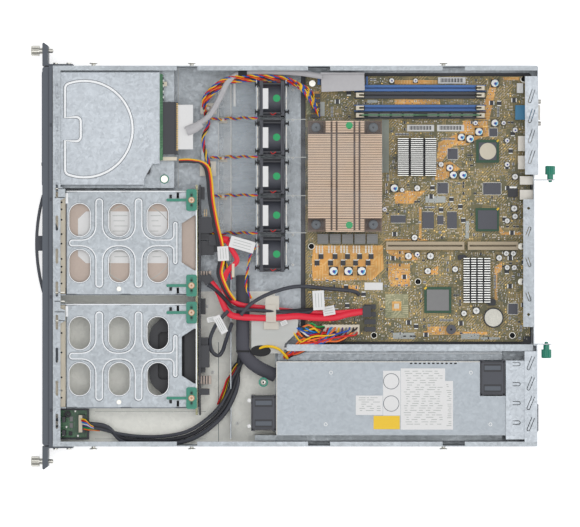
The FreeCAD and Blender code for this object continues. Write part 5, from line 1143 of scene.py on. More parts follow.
@dataclass
class DriveBays:
    """Small parts on the two drive cages, on what slides in them, and on the clips behind."""

    top: float = 38.0
    clip_top: float = 41.0
    clip_line: float = -111.5
    columns: tuple[float, ...] = (-237.8, -193.2, -149.6)
    middles: tuple[float, ...] = (-14.8, 113.0)
    clip_rows: tuple[float, ...] = (-63.3, 33.3, 63.8, 160.4)

    def build(self) -> None:
        """Add painted highlight and shade lines on the cages' pressed shapes, the drive's label, the strips'
        holes and the clips' marks.
        """
        for index, bay in enumerate(self.middles):
            self.light_and_shade_lines(index + 1, bay)
        self.drive_label()
        self.dimples()
        for index, row in enumerate(self.clip_rows):
            self.clip_trim(index + 1, row)

    def rib(self, bay: float) -> list[tuple[float, float]]:
        """The outline of one cage's raised rib: a spine with two long arms and a short one."""
        spine, arm, short = 4.0, 50.5, 23.8
        right = [(spine, -250, 3.9), (spine, -220.3, 15), (arm, -220.3, 4.4), (arm, -211.3, 4.4),
                 (spine, -211.3, 15), (spine, -175.9, 15), (arm, -175.9, 4.4), (arm, -166.9, 4.4),
                 (spine, -166.9, 15), (spine, -132.3, 5), (short, -132.3, 2.4), (short, -127.3, 2.4)]
        left = [(-x, y, radius) for x, y, radius in reversed(right)]
        return rounded([(bay + x, y, radius) for x, y, radius in right + left])

    def light_and_shade_lines(self, index: int, bay: float) -> None:
        """Painted highlight and shade lines along one cage's pressed rib and windows, and along its folded
        edges and bent tab.

        Args:
            index: The cage's number.
            bay: The X of its middle.
        """
        form = Form()
        rib = self.rib(bay)
        form.bead(rib, self.top + 0.55, (1.3, 0.3), GLINT, 0.75)
        form.bead(rib, self.top - 0.02, (0.7, 0.12), SHADE, -0.4)
        radius, half = 11.75, (18.35, 11.75)
        for row in self.columns:
            for x in (bay - 26.0, bay + 26.0):
                window = rounded([(x + across * half[0], row + along * half[1], radius)
                                  for across, along in ((-1, -1), (1, -1), (1, 1), (-1, 1))], 10)
                form.bead(window, self.top - 0.05, (0.9, 0.2), GLINT, -0.5)
                form.bead(window, self.top - 0.05, (0.5, 0.1), SHADE, -1.3)
        for x0, x1, y0, y1, finish in (
                (-56.4, -44.6, -253.8, -251.0, GLINT), (-58.6, 58.6, -106.6, -105.4, GLINT),
                (-58.8, -57.9, -253.0, -107.0, GLINT), (57.9, 58.8, -253.0, -107.0, SHADE),
                (-44.6, 58.6, -253.0, -252.2, SHADE)):
            form.box((bay + x0, bay + x1), (y0, y1), (self.top - 0.1, self.top + 0.12), finish)
        form.piece(f"cage_reliefs_{index}", slot="galvanised_steel")

    def drive_label(self) -> None:
        """The drive's bare label, the platter's pressed rings and the cover's screws."""
        form = Form()
        high, middle = 32.7, (-14.8, -176)
        form.prism([(-50.5, -231), (-42, -240), (0, -240), (8, -231), (8, -139), (-50.5, -139)],
                   (high, high + 0.15), PAPER)
        for step in range(9):
            x = -46 + 5.8 * step
            for y0, y1 in ((-201, -184), (-158, -146)):
                form.box((x, x + 0.7), (y0 + step % 3, y1 - step % 2 * 3), (high + 0.15, high + 0.2),
                         GREY_PAPER)
        form.ring(*middle, (44.6, 45.4), (high, high + 0.3), DULL_NICKEL, 48)
        form.ring(*middle, (12.0, 12.8), (high, high + 0.3), DULL_NICKEL, 32)
        form.disc(*middle, 5.0, (high, high + 0.3), ALUMINIUM)
        form.box((-62, 32), (-203.8, -203.2), (high, high + 0.2), DULL_NICKEL)
        for x, y in ((-60, -250), (30, -250), (-60, -180), (30, -180), (-60, -112), (30, -112)):
            form.disc(x, y, 2.2, (high, high + 0.5), DULL_NICKEL, 12)
        form.piece("drive_cover_details", "carrier", "drive_metal")

    def dimples(self) -> None:
        """Small dark holes in the pale strips before the cages, in painted shade, and painted highlights on
        the flange tabs' edges.
        """
        for body, rows in (("carrier", (-60.8, -41, -14, 12, 31)), ("blank", (65, 87, 109, 137, 160))):
            Repeat(f"{body}_dimples", [(x, -258.5, 36.0) for x in rows],
                   [pin(DEEP, 1.1, (-0.1, 0.06))]).piece(body, "dark_plastic")
        form = Form()
        for x in (-71, 46, 68):
            for offset in (-5, 5):
                form.pad((x + offset, -260.3), (0.4, 5.7), (42.6, 43.0), NICKEL_AND_GLINT)
        form.piece("flange_tab_edges", slot="galvanised_steel")

    def clip_trim(self, index: int, row: float) -> None:
        """The recess marks of one clip in painted shade, its dark hole, and its stud's ring, a cream disc of
        painted highlight under a copper star.

        Args:
            index: The clip's number.
            row: The X of its pivot.
        """
        form = Form()
        side = 1 if index % 2 else -1
        line, top = self.clip_line, self.clip_top
        form.disc(row, line, 2.7, (top + 1.2, top + 1.5), CREAM_AND_GLINT, 18)
        for turn in (0.0, 60.0, 120.0):
            form.pad((row, line), (2.0, 0.3), (top + 1.5, top + 1.6), COPPER_SCREW, turn)
        for x in (row - side * 5.6, row + side * 5.8):
            form.ring(x, line, (0.9, 1.9), (top, top + 0.2), SHADED_TEAL, 14)
            form.pad((x, line), (0.9, 0.9), (top, top + 0.15), DEEP)
        form.pad((row - side * 4, -135.05), (2.0, 1.45), (top, top + 0.15), DEEP)
        form.piece(f"clip_{index}_marks", f"clip_arm_{index}", "green_plastic")


@dataclass
class OpticalBay:
    """The slim optical drive's lid and the small board behind it."""

    board_row: float = -147.4
    shelf: float = 27.5
    disc: tuple[float, float] = (-143.4, -232.6)
    flat: float = -255.6
    radius: float = 55.7

    def build(self) -> None:
        """Add the board's parts and the painted highlight and shade lines of the lid's relief."""
        self.lid()
        form = Form()
        form.box((-205.4, -108.4), (self.board_row + 1.7, self.board_row + 3.4), (self.shelf + 0.6, 39.4),
                 GREEN_BOARD)
        for index in range(9):
            x = -202 + index * 3.1
            form.box((x, x + 1.6), (-144.0, -142.8), (34.0, 36.6), SOLDER if index % 2 else DARK_CHIP_AND_SHADE)
        form.box((-171, -120.6), (-128.2, -109.8), (35.2, 35.8), PAPER)
        form.box((-174, -115), (-131.2, -127.2), (29.4, 36.6), BLACK)
        form.piece("adapter_parts", slot="green_board", bevel=0.1)
        pins = [(-172.0 + 2.0 * index, -127.4, 36.9) for index in range(27)]
        Repeat("adapter_pins", pins, [block(GOLD, (-0.35, 0.35), (-1.2, 0.6), (-0.3, 0.1))]).piece(
            slot="green_board")

    def lid(self) -> None:
        """Painted highlight and shade lines on the rounded shoulder of the disc pressed into the lid, and
        along the lid's folded edges.
        """
        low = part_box("optical_drive")
        top = low[1][2] / MM - 0.5
        x, y = self.disc
        corner = 7.0
        rise = self.flat + corner - y
        reach = math.sqrt((self.radius - corner) ** 2 - rise ** 2)
        start = math.degrees(math.atan2(rise, reach))
        outline = []
        for middle_x, middle_y, radius, first, last, steps in (
                (x, y, self.radius, start, 180 - start, 48),
                (x - reach, self.flat + corner, corner, 180 - start, 270, 8)):
            for step in range(steps + 1):
                across, along = turned(radius, 0.0, first + (last - first) * step / steps)
                outline.append((middle_x + across, middle_y + along))
        outline += rounded([(x - 12.5, self.flat), (x - 12.5, -237.8, 4), (x + 12.6, -237.8, 4),
                            (x + 12.6, self.flat)], 5)
        for step in range(9):
            across, along = turned(corner, 0.0, 270 + (90 + start) * step / 8)
            outline.append((x + reach + across, self.flat + corner + along))
        form = Form()
        form.bead(outline, top + 0.45, (2.6, 0.5), GLINT, 1.2)
        form.bead(outline, top - 0.02, (0.8, 0.14), SHADE, -0.4)
        form.bead(outline, top + 0.45, (0.7, 0.14), SHADE, 2.8)
        for x0, x1, y0, y1, finish in ((-208.4, -83.0, -274.0, -273.0, GLINT),
                                       (-208.6, -207.4, -273, -148, SHADE),
                                       (-80.6, -79.8, -273.0, -166.0, SHADE)):
            form.box((x0, x1), (y0, y1), (top - 0.1, top + 0.15), finish)
        form.piece("optical_lid_reliefs", slot="drive_cover")


@dataclass
class Backplane:
    """Plugs, pins and chips on the upright board behind the drives."""

    face: float = -104.6

    def build(self) -> None:
        """Add the board's edge, plugs, pins and chips."""
        form = Form()
        form.box((-80.4, 179.6), (-106.9, -104.5), (36.95, 37.25), PALE_BOARD)
        for x0, x1, y0, y1, high in ((-36, -18, -103.6, -92, 32), (-78, -64, -103, -97, 30),
                                     (92, 108, -104, -93, 30), (118, 132, -104, -96, 26),
                                     (48, 66, -104, -96, 22)):
            form.box((x0, x1), (y0, y1), (high - 8, high), BLACK)
            form.box((x0 + 2, x1 - 2), (y0 + 1.4, y1 - 2), (high, high + 0.5), DARK_CHIP_AND_SHADE)
        for x, high in ((18.5, 28), (137, 26)):
            form.box((x - 1.5, x + 8), (-104, -89.5), (high - 6, high), DIE_CAST)
            for step in range(4):
                form.box((x - 1.6, x + 8.1), (-102.6 + 3 * step, -101.4 + 3 * step), (high, high + 0.7),
                         BLACK)
        form.piece("backplane_plugs", slot="dark_plastic", bevel=0.25)
        pins = [(-52.0 + 2.1 * index, y, 30.0) for y in (-97.0, -94.6) for index in range(12)]
        Repeat("backplane_pins", pins, [slab(GOLD, 0.4, 0.4, (-8, 0.2))]).piece(
            slot="dark_plastic")
        parts = [(x, self.face + 1.0, 34.6, 0.0, 1.0 + 0.4 * (index % 3), 1.0, 1.0)
                 for index, x in enumerate(range(-74, 176, 9))]
        Repeat("backplane_chips", parts, [slab(DARK_CHIP_AND_SHADE, 1.2, 1.1, (-1.4, 1.4))]).piece(
            slot="olive_board")


# ---------------------------------------------------------------------------
# Fans and the clear air guide
# ---------------------------------------------------------------------------


@dataclass
class FanRow:
    """Stickers and rubber mounts of the five fans, and the folds of the film round them."""

    rows: tuple[float, ...] = (-178.2, -134.2, -90.2, -46.2, -2.2)
    top: float = 42.0
    front: float = -34.6
    rear: float = -6.6

    def build(self) -> None:
        """Add what sits on the fans."""
        self.stickers()
        self.mounts()
        self.film_edges()

    def stickers(self) -> None:
        """The blank strip and the green dot on each fan, its ribs, and its short leads."""
        strips = [(row + 0.4, -27.9, self.top) for row in self.rows]
        Repeat("fan_strips", strips, [slab(PAPER, 11.6, 3.1, (-0.1, 0.2))]).piece(
            slot="fan_plastic")
        dots = [(row, -15.4, self.top) for row in self.rows]
        Repeat("fan_dots", dots, [pin(GREEN_DOT, 4.1, (-0.1, 0.2), 28)]).piece(slot="green_plastic")
        form = Form()
        tall, low = (self.top - 0.3, self.top + 0.3), (self.top - 0.3, self.top + 0.12)
        for row in self.rows:
            for side in (-1, 1):
                form.pad((row + side * 19.4, -20.5), (0.5, 12.5), tall, BLACK)
                form.pad((row + side * 16.6, -21.0), (1.0, 10.0), low, DARK_CHIP_AND_SHADE)
            for y in (-33.6, -8.4):
                form.pad((row, y), (15.0, 0.6), tall, BLACK)
            for step in range(3):
                form.tube([(row + 16, -30 + 7 * step, 41.6), (row + 19, -27 + 7 * step, 42.1),
                           (row + 16.5, -23 + 7 * step, 41.8)], 0.5, WIRE_RED if step == 1 else WIRE_BLACK, 6)
        form.piece("fan_ribs", slot="fan_plastic")

    def mounts(self) -> None:
        """The rubber pins that hold each fan at its corners, and painted highlights on the bracket's edges
        between them.
        """
        form = Form()
        form.pad((0, 0), (1.3, 2.0), (0, 1.2), RUBBER)
        for y in (-2.0, 2.0):
            form.pad((0, y), (2.6, 0.6), (0, 1.0), RUBBER)
        for name, aside, along, layer, slot, bevel in (
                ("fan_mounts", 15.4, 2.6, (form, RUBBER), "black_film", 0.2),
                ("bracket_glints", 6.5, 2.2, slab(SHELL_AND_GLINT, 5.6, 0.5, (-0.2, 0.15)),
                 "galvanised_steel", 0.0)):
            spots = [(row + side * aside, y, 41.0) for row in self.rows for side in (-1, 1)
                     for y in (self.front - along, self.rear + along)]
            Repeat(name, spots, [layer]).piece(slot=slot, bevel=bevel)

    def film_edges(self) -> None:
        """Milky folded edges of the film, and white lines of painted highlight along its creases before the
        fans.
        """
        form = Form()
        fold, width = (38.9, 39.9), (-198.5, 5.5)
        for x in (-154.8, -112.0, -68.6, -26.6):
            form.box((x, x + 0.7), (-4.0, 18.0), fold, FROSTED)
        form.box((-154.6, -26.4), (-4.4, -3.7), fold, FROSTED)
        form.box(width, (-67.9, -67.0), (1.6, 2.6), WHITE_AND_GLINT)
        form.box(width, (-76.0, -62.0), (1.4, 1.5), MIST)
        form.box(width, (-81.9, -81.3), (1.5, 2.0), WHITE_AND_GLINT)
        form.box((-196, -170), (-64.5, -62), (3.6, 4.4), WHITE_AND_GLINT)
        for x in (-176, -132, -88, -44, -2):
            form.box((x - 14, x + 12), (-38.4, -37.2), (38.2, 39.4), WHITE_AND_GLINT)
            form.box((x - 17, x + 15), (-66.6, -65.8), (1.4, 3.0), DULL_NICKEL)
        form.box((8.6, 24), (-66, -63), (40.1, 40.5), CREAM_AND_GLINT)
        form.piece("film_edges", slot="clear_film")


# ---------------------------------------------------------------------------
# Motherboard
# ---------------------------------------------------------------------------


@dataclass
class CopperSink:
    """The processor's heat sink: folded fins on a base, with four screw corners."""

    x: Span = (-153.2, -27.7)
    y: Span = (20.0, 103.7)
    z: Span = (16.0, 38.0)
    base: float = 3.0
    corner: tuple[float, float] = (14.0, 20.0)
    fins: int = 66
    lines: tuple[float, ...] = (46.3, 52.1, 72.2, 77.9)

    def build(self) -> None:
        """Join the fins to the base, and add the screw plates and screws in painted shade, and two stickers.
        """
        whole = join([self.stack(), self.foot()], "copper_heat_sink")
        settle(whole, "server", replaces=("cpu_heatsink",))
        low = self.z[0] + self.base
        plates = Form()
        for x in (-145.7, -35.9):
            for y in (29.3, 94.0):
                plates.pad((x, y), (6.6, 8.4), (low, low + 0.4), COPPER_SHADE)
                plates.lathe((x, y, low + 0.4), [(5.4, 0), (5.4, 0.6), (4.9, 0.9)], SHADE)
        plates.piece("heat_sink_corners", slot="copper")
        dots = [(x, 66.7, self.z[1]) for x in (-147.6, -35.0)]
        Repeat("heat_sink_dots", dots, [pin(GREEN_DOT, 3.9, (0.02, 0.2), 28)]).piece(slot="green_plastic")

    def stack(self) -> bpy.types.Object:
        """The fins, each a thin sheet folded over at its top; those beside the screws are shorter."""
        pitch = (self.x[1] - self.x[0] - 1.7) / (self.fins - 1)
        wide, deep = self.corner
        places = []
        for index in range(self.fins):
            x = self.x[0] + 0.85 + pitch * index
            outer = x < self.x[0] + wide + 0.6 or x > self.x[1] - wide - 0.6
            low, high = self.y[0] + deep * outer, self.y[1] - deep * outer
            places.append((x, (low + high) / 2, self.z[0] + self.base, 0.0, 1.0, high - low, 1.0))
        tall = self.z[1] - self.z[0] - self.base
        fin = Form()
        fin.box((-0.3, 0.3), (-0.5, 0.5), (-0.2, tall - 0.4), COPPER)
        fin.box((-0.3, 0.85), (-0.5, 0.5), (tall - 0.5, tall), COPPER)
        return Repeat("heat_sink_fins", places, [(fin, COPPER)]).layer(fin, COPPER)

    def foot(self) -> bpy.types.Object:
        """The base plate and the end sheets in darker copper, and dark strips where the fins' folds meet, all
        painted shade.
        """
        form = Form()
        (left, right), (front, rear), (low, high) = self.x, self.y, self.z
        form.box(self.x, self.y, (low, low + self.base), COPPER_GAP_SHADE)
        for x in (left + 0.6, right - 1.4):
            form.box((x, x + 0.8), (front + self.corner[1], rear - self.corner[1]), (low, high - 0.4),
                     COPPER_GAP_SHADE)
        for y in self.lines:
            form.box((left + 1.0, right - 1.0), (y - 0.8, y + 1.4), (high - 0.4, high + 0.06), COPPER_SHADE)
        for x in (left + 14.2, right - 15.0):
            form.box((x, x + 0.8), (front + 1, rear - 1), (high - 0.4, high + 0.05), COPPER_SHADE)
        return form.plain("heat_sink_base")


@dataclass
class MainBoard:
    """The motherboard with all that is soldered to it."""

    nodes: dict[str, bpy.types.Object]
    top: float = 8.6
    x: Span = (-203.0, 96.0)
    y: Span = (18.5, 271.0)
    seed: int = 11
    patience: int = 30
    screws_below: float = 25.0
    taken: set[tuple[int, int]] = field(default_factory=set)

    def build(self) -> None:
        """Add the small parts."""
        self.pours()
        self.labels()
        self.regulator()
        self.cans()
        self.packages()
        self.survey()
        self.small_parts()
        CopperSink().build()

    def pours(self) -> None:
        """Copper areas that show orange under the solder mask."""
        form = Form()
        high = (self.top - 0.05, self.top + 0.06)
        outlines = [
            [(-12.1, 26.6), (-12.1, 105), (14.7, 106), (27.1, 93.7), (28.2, 25.5), (4.4, 24.5)],
            [(-71, 118.5), (-74.1, 126.7), (-74.1, 153.6), (-63.8, 143.2), (-59.7, 139.1), (-59.7, 119.5)],
            [(-128.9, 168), (-140.3, 192.8), (-153.7, 196.9), (-153.7, 223.8), (-136.2, 225.8),
             (-134.1, 214.5), (-125.8, 201), (-125.8, 184.5), (-107.2, 172.2), (-107.2, 166)],
            [(-105.1, 167), (-107.2, 182.5), (-99, 192.8), (-86.5, 174.2), (-86.5, 163.9)],
            [(8.5, 111.2), (8.5, 136), (34.4, 136), (34.4, 114.3), (25.1, 111.2)],
            [(79.9, 155.6), (79.9, 186.6), (86, 186.6), (86, 223.8), (89.2, 223.8), (89.2, 151.5),
             (85, 151.5), (85, 155.6)],
            [(-55.5, 146.3), (-55.5, 149), (-19.4, 149), (-19.4, 155.6), (-17.3, 155.6), (-17.3, 146.3)],
            [(-7, 108.1), (-7, 135), (4.4, 145.3), (5.4, 126.7), (-3.9, 110.2)],
            [(12.7, 232), (6.5, 240.3), (14.7, 240.3), (21, 235.1), (49.9, 235.1), (49.9, 232)],
            [(-203.3, 241.3), (-203.3, 259.9), (-199.8, 259.9), (-199.8, 241.3)],
            [(-199.8, 118.5), (-199.8, 167), (-195.2, 167), (-195.2, 118.5)],
            [(-177.9, 118.5), (-177.9, 170), (-172.3, 170), (-172.3, 118.5)],
            [(-171.3, 219.6), (-203, 230), (-192, 234), (-154.8, 225.8), (-154.8, 209.3)],
            [(33.3, 58.6), (33.3, 77.2), (40.6, 77.2), (40.6, 58.6)],
            [(21, 152.5), (10.6, 168), (21, 168)],
            [(-19.5, 108), (-19.5, 148), (-17.8, 148), (-17.8, 108)],
            [(-187, 24), (-187, 33), (-161, 33), (-161, 24)],
            [(60, 20), (60, 34), (70, 34), (70, 20)],
            [(-32, 232), (-24, 240), (-24, 262), (-27, 262), (-27, 243), (-36, 236)],
        ]
        for outline in outlines:
            form.prism(outline, high, ORANGE_POUR)
        form.piece("copper_pours", slot="olive_board")
        land = Form()
        land.box((43, 70), (108, 134), high, PALE_BOARD)
        land.box((51.5, 62), (115.5, 126), (self.top, self.top + 0.1), ORANGE_POUR)
        land.box((54, 59.5), (118, 123.5), (self.top, self.top + 0.14), CREAM_AND_GLINT)
        land.box((-187, -161), (18.4, 24), high, PALE_BOARD)
        land.box((-175, -159), (34, 39), (self.top, self.top + 0.2), GREY_PAPER)
        land.piece("bare_lands", slot="olive_board")

    def labels(self) -> None:
        """Blank labels on the board; three carry plain bars."""
        form = Form()
        high, bars = self.top + 0.1, 22
        for x, y in (((-149, -141.7), (132.6, 163.3)), ((-149, -141.7), (166.7, 197.4)),
                     ((-203, -195.8), (167.8, 199))):
            form.box(x, y, (high, high + 0.12), PAPER)
            for index in range(bars):
                start = y[0] + 2.4 + index * (y[1] - y[0] - 5) / bars
                wide = 0.35 + 0.35 * ((index * 7) % 3)
                form.box((x[0] + 1.2, x[1] - 1.6), (start, start + wide), (high, high + 0.16), DARK_CHIP_AND_SHADE)
        for x, y, finish in (
                ((-155, -94.7), (104, 112), SPECKED), ((30, 38.5), (84.3, 105), PAPER),
                ((-67.9, -60.7), (153.6, 176.3), GREY_PAPER), ((87, 94), (116.4, 141.2), GREY_PAPER),
                ((88, 94.4), (194, 214.5), GREY_PAPER), ((-177.5, -174), (87.5, 99), GREY_PAPER),
                ((-40, -20), (199, 203), GREY_PAPER), ((92, 94.6), (216, 238), GREY_PAPER)):
            form.box(x, y, (high, high + 0.12), finish)
        form.piece("board_labels", slot="connector_plastic")

    def regulator(self) -> None:
        """The voltage regulator's switches, pads and coils' marks."""
        switches = [(0.5, y, self.top) for y in (34.9, 50.8, 65.0, 78.7, 91.7)]
        switches += [(7.8, y, self.top) for y in (30.4, 45.7, 59.9, 74.1, 88.3)]
        body = slab(DARK_CHIP_AND_SHADE, 2.8, 2.8, (0, 2.2))
        tab = block(SOLDER, (-3.8, -2.6), (-2.4, 2.4), (0, 0.5))
        legs = block(SOLDER, (2.6, 4.0), (-2.2, -1.2), (0, 0.4))
        Repeat("power_switches", switches, [body, tab, legs]).piece(slot="chip_plastic", bevel=0.15)
        pads = [(x, y + dy, self.top) for y in (33, 47, 61, 75, 89) for x in (-10.5, -7.5, -4.8)
                for dy in (-3.2, 0.2, 3.4)]
        Repeat("regulator_pads", pads, [slab(CREAM_AND_GLINT, 0.9, 1.0, (0, 0.8)),
                                        slab(SOLDER, 1.3, 0.7, (0, 0.5))]).piece(
            slot="olive_board")
        grooves = [(-25.0 + 1.9 * step, row + 6.2, self.top + 8.0) for row in (30.8, 44.8, 58.8, 72.8, 86.8)
                   for step in range(1, 6)]
        Repeat("coil_marks", grooves, [slab(CHIP_GREY, 0.3, 5.6, (-0.1, 0.12))]).piece(
            slot="chip_plastic")

    def cans(self) -> None:
        """Every upright capacitor: foot, can, and a top with a coloured mark."""
        marked = ((-199, 115, 3.0), (-199, 142, 2.6), (-196, 232, 4.5), (-151, 210, 2.8), (-151, 232, 4.1),
                  (-151, 242, 2.6), (-143, 255, 3.0), (-141, 214, 4.5), (-135, 194, 4.1), (-133, 204, 4.5),
                  (-131, 246, 2.8), (-100, 181, 3.9), (-92, 185, 4.2), (-92, 196, 4.5), (-104, 246, 3.0),
                  (-77, 118, 4.5), (-53, 107, 2.6), (-2, 144, 3.0), (17, 49, 5.0), (17, 66, 5.0),
                  (17, 81, 5.0))
        scored = ((-104, 171, 3.0), (-75, 127, 2.6), (-77, 144, 3.4), (-90, 255, 3.4), (-21, 141, 3.4),
                  (-54, 254, 3.6), (-45, 255, 3.2), (-40, 246, 3.0), (0, 134, 3.9), (0, 159, 3.9),
                  (17, 156, 3.6), (15, 187, 3.4), (2, 237, 3.4), (-3, 245, 3.0), (-3, 253, 3.0),
                  (13, 246, 3.0), (13, 254, 3.0), (65, 197, 3.2), (62, 211, 3.9))
        heights = {5.0: 12.0, 4.5: 10.0}
        blue, plain = ([(x, y, self.top, 0.0, radius, radius, heights.get(radius, 8.0) / 8)
                        for x, y, radius in cans] for cans in (marked, scored))
        wall = [(0.94, 0), (0.94, 0.9), (0.88, 1.1), (0.94, 1.4), (0.94, 7.7), (0.86, 7.96)]
        can = spun(ALUMINIUM, wall, 22)
        foot = slab(DARK_CHIP_AND_SHADE, 1.0, 1.0, (0, 0.8))
        lid = spun(WHITE_AND_GLINT, [(0.8, 7.9), (0.78, 8.0)], 22)
        Repeat("capacitor_cans", blue + plain, [can, foot, lid]).piece(
            slot="bare_aluminium", replaces=("capacitors",))
        large = [spot for spot in blue if spot[4] > 4.0]
        cyan = Form()
        reach = 0.74
        arc = [(reach * math.cos(turn / 10), reach * math.sin(turn / 10)) for turn in range(2, 22)]
        cyan.prism([(0.0, 0.0), *arc], (7.99, 8.02), CYAN)
        Repeat("capacitor_sectors", large, [(cyan, CYAN)]).piece(slot="bare_aluminium")
        dot = Form()
        dot.disc(0.1, 0.1, 0.34, (7.99, 8.04), NAVY, 14)
        Repeat("capacitor_dots", blue, [(dot, NAVY)]).piece(slot="bare_aluminium")
        Repeat("capacitor_scores", plain + [(*spot[:3], 90.0, *spot[4:]) for spot in plain],
               [slab(CHIP_GREY, 0.5, 0.07, (7.99, 8.03))]).piece(slot="bare_aluminium")

    def packages(self) -> None:
        """Lids, round label and pins of the larger packages."""
        top = self.top
        form = Form()
        form.box((-129, -109), (214, 234), (top + 2.1, top + 3.0), CHIP)
        form.disc(-119, 224.2, 9.4, (top + 3.0, top + 3.2), CREAM_AND_GLINT, 36)
        form.box((-52, -30.5), (213, 234.6), (top + 2.1, top + 3.0), CHIP)
        form.box((38, 61.8), (155, 180), (top + 2.1, top + 3.4), CHIP_GREY)
        for x, y in ((-131, 235.6), (-53.4, 235.6), (36.4, 153.4)):
            form.pad((x, y), (1.0, 1.6), (top + 2.1, top + 2.3), YELLOW_PAPER, 45)
        mark = 1.6
        for x, y, wide, deep, high in ((-77, 229, 11, 18, 1.7), (-77, 173, 10, 10, 1.5),
                                       (-116, 184.3, 10, 9.4, 1.5)):
            form.disc(x - wide / 2 + mark, y - deep / 2 + mark, 0.7, (top + high, top + high + 0.06),
                      DARK_CHIP_AND_SHADE, 10)
        form.lathe((83.2, 182.5, top + 7.9), [(1.2, 0), (1.2, 0.3)], DEEP)
        form.box((-77, -67), (247, 258), (top, top + 2.6), DARK_CHIP_AND_SHADE)
        form.box((-79, -76), (248, 257), (top, top + 1.0), SOLDER)
        form.box((-46, -36), (167, 174), (top, top + 1.6), CHIP)
        form.piece("package_lids", slot="chip_plastic", bevel=0.12)
        fine, coarse = 0.95, 1.1
        pins = []
        for x, y in (((-83, -70), (219, 239)), ((-83, -71), (167, 179)), ((-122, -110), (178.6, 190)),
                     ((-145, -136), (226, 235)), ((54, 66), (247.5, 258))):
            pins += self.pin_rows(x, y, fine) + self.pin_rows(x, y, fine, 90.0)
        for x, y in (((-50, -31.5), (150, 163)), ((-50, -31.5), (178, 189)), ((-46, -38), (114, 131)),
                     ((-46, -36), (167, 174))):
            pins += self.pin_rows(x, y, coarse)
        Repeat("package_pins", pins, [slab(SOLDER, 0.9, 0.22, (0, 0.5))]).piece(slot="chip_plastic")

    def pin_rows(self, x: Span, y: Span, pitch: float, turn: float = 0.0) -> list[tuple[float, ...]]:
        """The pins on two opposite sides of a package.

        Args:
            x: The package's span in X.
            y: Its span in Y.
            pitch: The step from pin to pin.
            turn: 0 for the sides along Y, 90 for those along X.

        Returns:
            The pins' places and turns.
        """
        low, high = x if turn else y
        runs = [low + 0.6 + pitch * index for index in range(int((high - low) / pitch))]
        if turn:
            return [(run, side, self.top, turn) for run in runs for side in y]
        return [(side, run, self.top, turn) for run in runs for side in x]

    def survey(self) -> None:
        """Note which square millimetres of the board already carry something."""
        for node in ("board_chips", "capacitors", "board_connectors", "memory_sockets", "cpu_heatsink",
                     "chipset_heatsinks", "coin_cell", "rear_ports", "front_latches", "rear_latches",
                     "screws"):
            mesh = self.nodes[node].data
            for face in mesh.polygons:
                columns, rows, heights = zip(*(mesh.vertices[index].co for index in face.vertices))
                if node != "screws" or min(heights) / MM <= self.screws_below:
                    self.take(min(columns) / MM, max(columns) / MM, min(rows) / MM, max(rows) / MM, 0.6)
        for x0, x1, y0, y1 in ((-203, -195, 118, 199), (-150, -141, 132, 198), (-155, -94, 103, 113),
                               (-30, 24, 26, 106), (43, 70, 108, 134), (-187, -159, 18, 40),
                               (30, 39, 84, 105)):
            self.take(x0, x1, y0, y1, 0.0)

    def take(self, x0: float, x1: float, y0: float, y1: float, margin: float) -> None:
        """Mark a rectangle of the board as used."""
        for x in range(math.floor(x0 - margin), math.ceil(x1 + margin)):
            for y in range(math.floor(y0 - margin), math.ceil(y1 + margin)):
                self.taken.add((x, y))

    def free(self, x: float, y: float, reach: float) -> bool:
        """Whether a square round a place is on the board and unused."""
        if not (self.x[0] + reach < x < self.x[1] - reach and self.y[0] + reach < y < self.y[1] - reach):
            return False
        return all((column, row) not in self.taken
                   for column in range(math.floor(x - reach), math.ceil(x + reach))
                   for row in range(math.floor(y - reach), math.ceil(y + reach)))

    def small_parts(self) -> None:
        """Hundreds of small parts, in rows and clusters on what is left free, large kinds first."""
        dice = random.Random(self.seed)
        kinds = {
            "small_chips": (34, 3.6, [slab(DARK_CHIP_AND_SHADE, 2.0, 2.6, (0, 1.5)),
                                      slab(SOLDER, 3.0, 2.2, (0, 0.4))]),
            "arrays": (80, 2.0, [slab(CHIP, 0.8, 1.8, (0, 0.7)),
                                 slab(SOLDER, 1.2, 1.6, (0, 0.4))]),
            "transistors": (70, 1.9, [slab(DARK_CHIP_AND_SHADE, 0.9, 1.5, (0, 1.1)),
                                      block(SOLDER, (-1.5, 1.5), (-0.9, -0.5), (0, 0.4)),
                                      block(SOLDER, (-1.5, 1.5), (0.5, 0.9), (0, 0.4))]),
            "large_ceramics": (120, 1.7, [slab(TAN, 0.9, 0.8, (0, 1.3)),
                                          slab(SOLDER, 1.5, 0.75, (0, 1.0))]),
            "ceramics": (520, 1.1, [slab(TAN, 0.5, 0.5, (0, 0.8)),
                                    slab(SOLDER, 0.9, 0.45, (0, 0.6))]),
            "resistors": (700, 1.1, [slab(DARK_CHIP_AND_SHADE, 0.5, 0.45, (0, 0.6)),
                                     slab(SOLDER, 0.85, 0.4, (0, 0.45))]),
            "gold_pads": (160, 0.9, [slab(GOLD, 0.6, 0.6, (-0.05, 0.1))]),
            "test_pads": (240, 0.8, [pin(SOLDER, 0.55, (-0.05, 0.1), 10)]),
        }
        for kind, (count, reach, layers) in kinds.items():
            spots, tries = [], 0
            while len(spots) < count and tries < count * self.patience:
                tries += 1
                x, y = dice.uniform(*self.x), dice.uniform(*self.y)
                turn = dice.choice((0.0, 90.0))
                run = dice.choice((1, 1, 2, 3, 4)) if reach < 2.1 else 1
                for step in range(run):
                    shift = step * reach * 2
                    place = (x + shift, y) if turn else (x, y + shift)
                    if self.free(*place, reach):
                        spots.append((*place, self.top, turn))
                        (left, right), (low, high) = ((value - reach, value + reach) for value in place)
                        self.take(left, right, low, high, -0.3)
            Repeat(f"board_{kind}", spots, layers).piece(slot="chip_plastic")


# ---------------------------------------------------------------------------
# Power supply and wiring
# ---------------------------------------------------------------------------


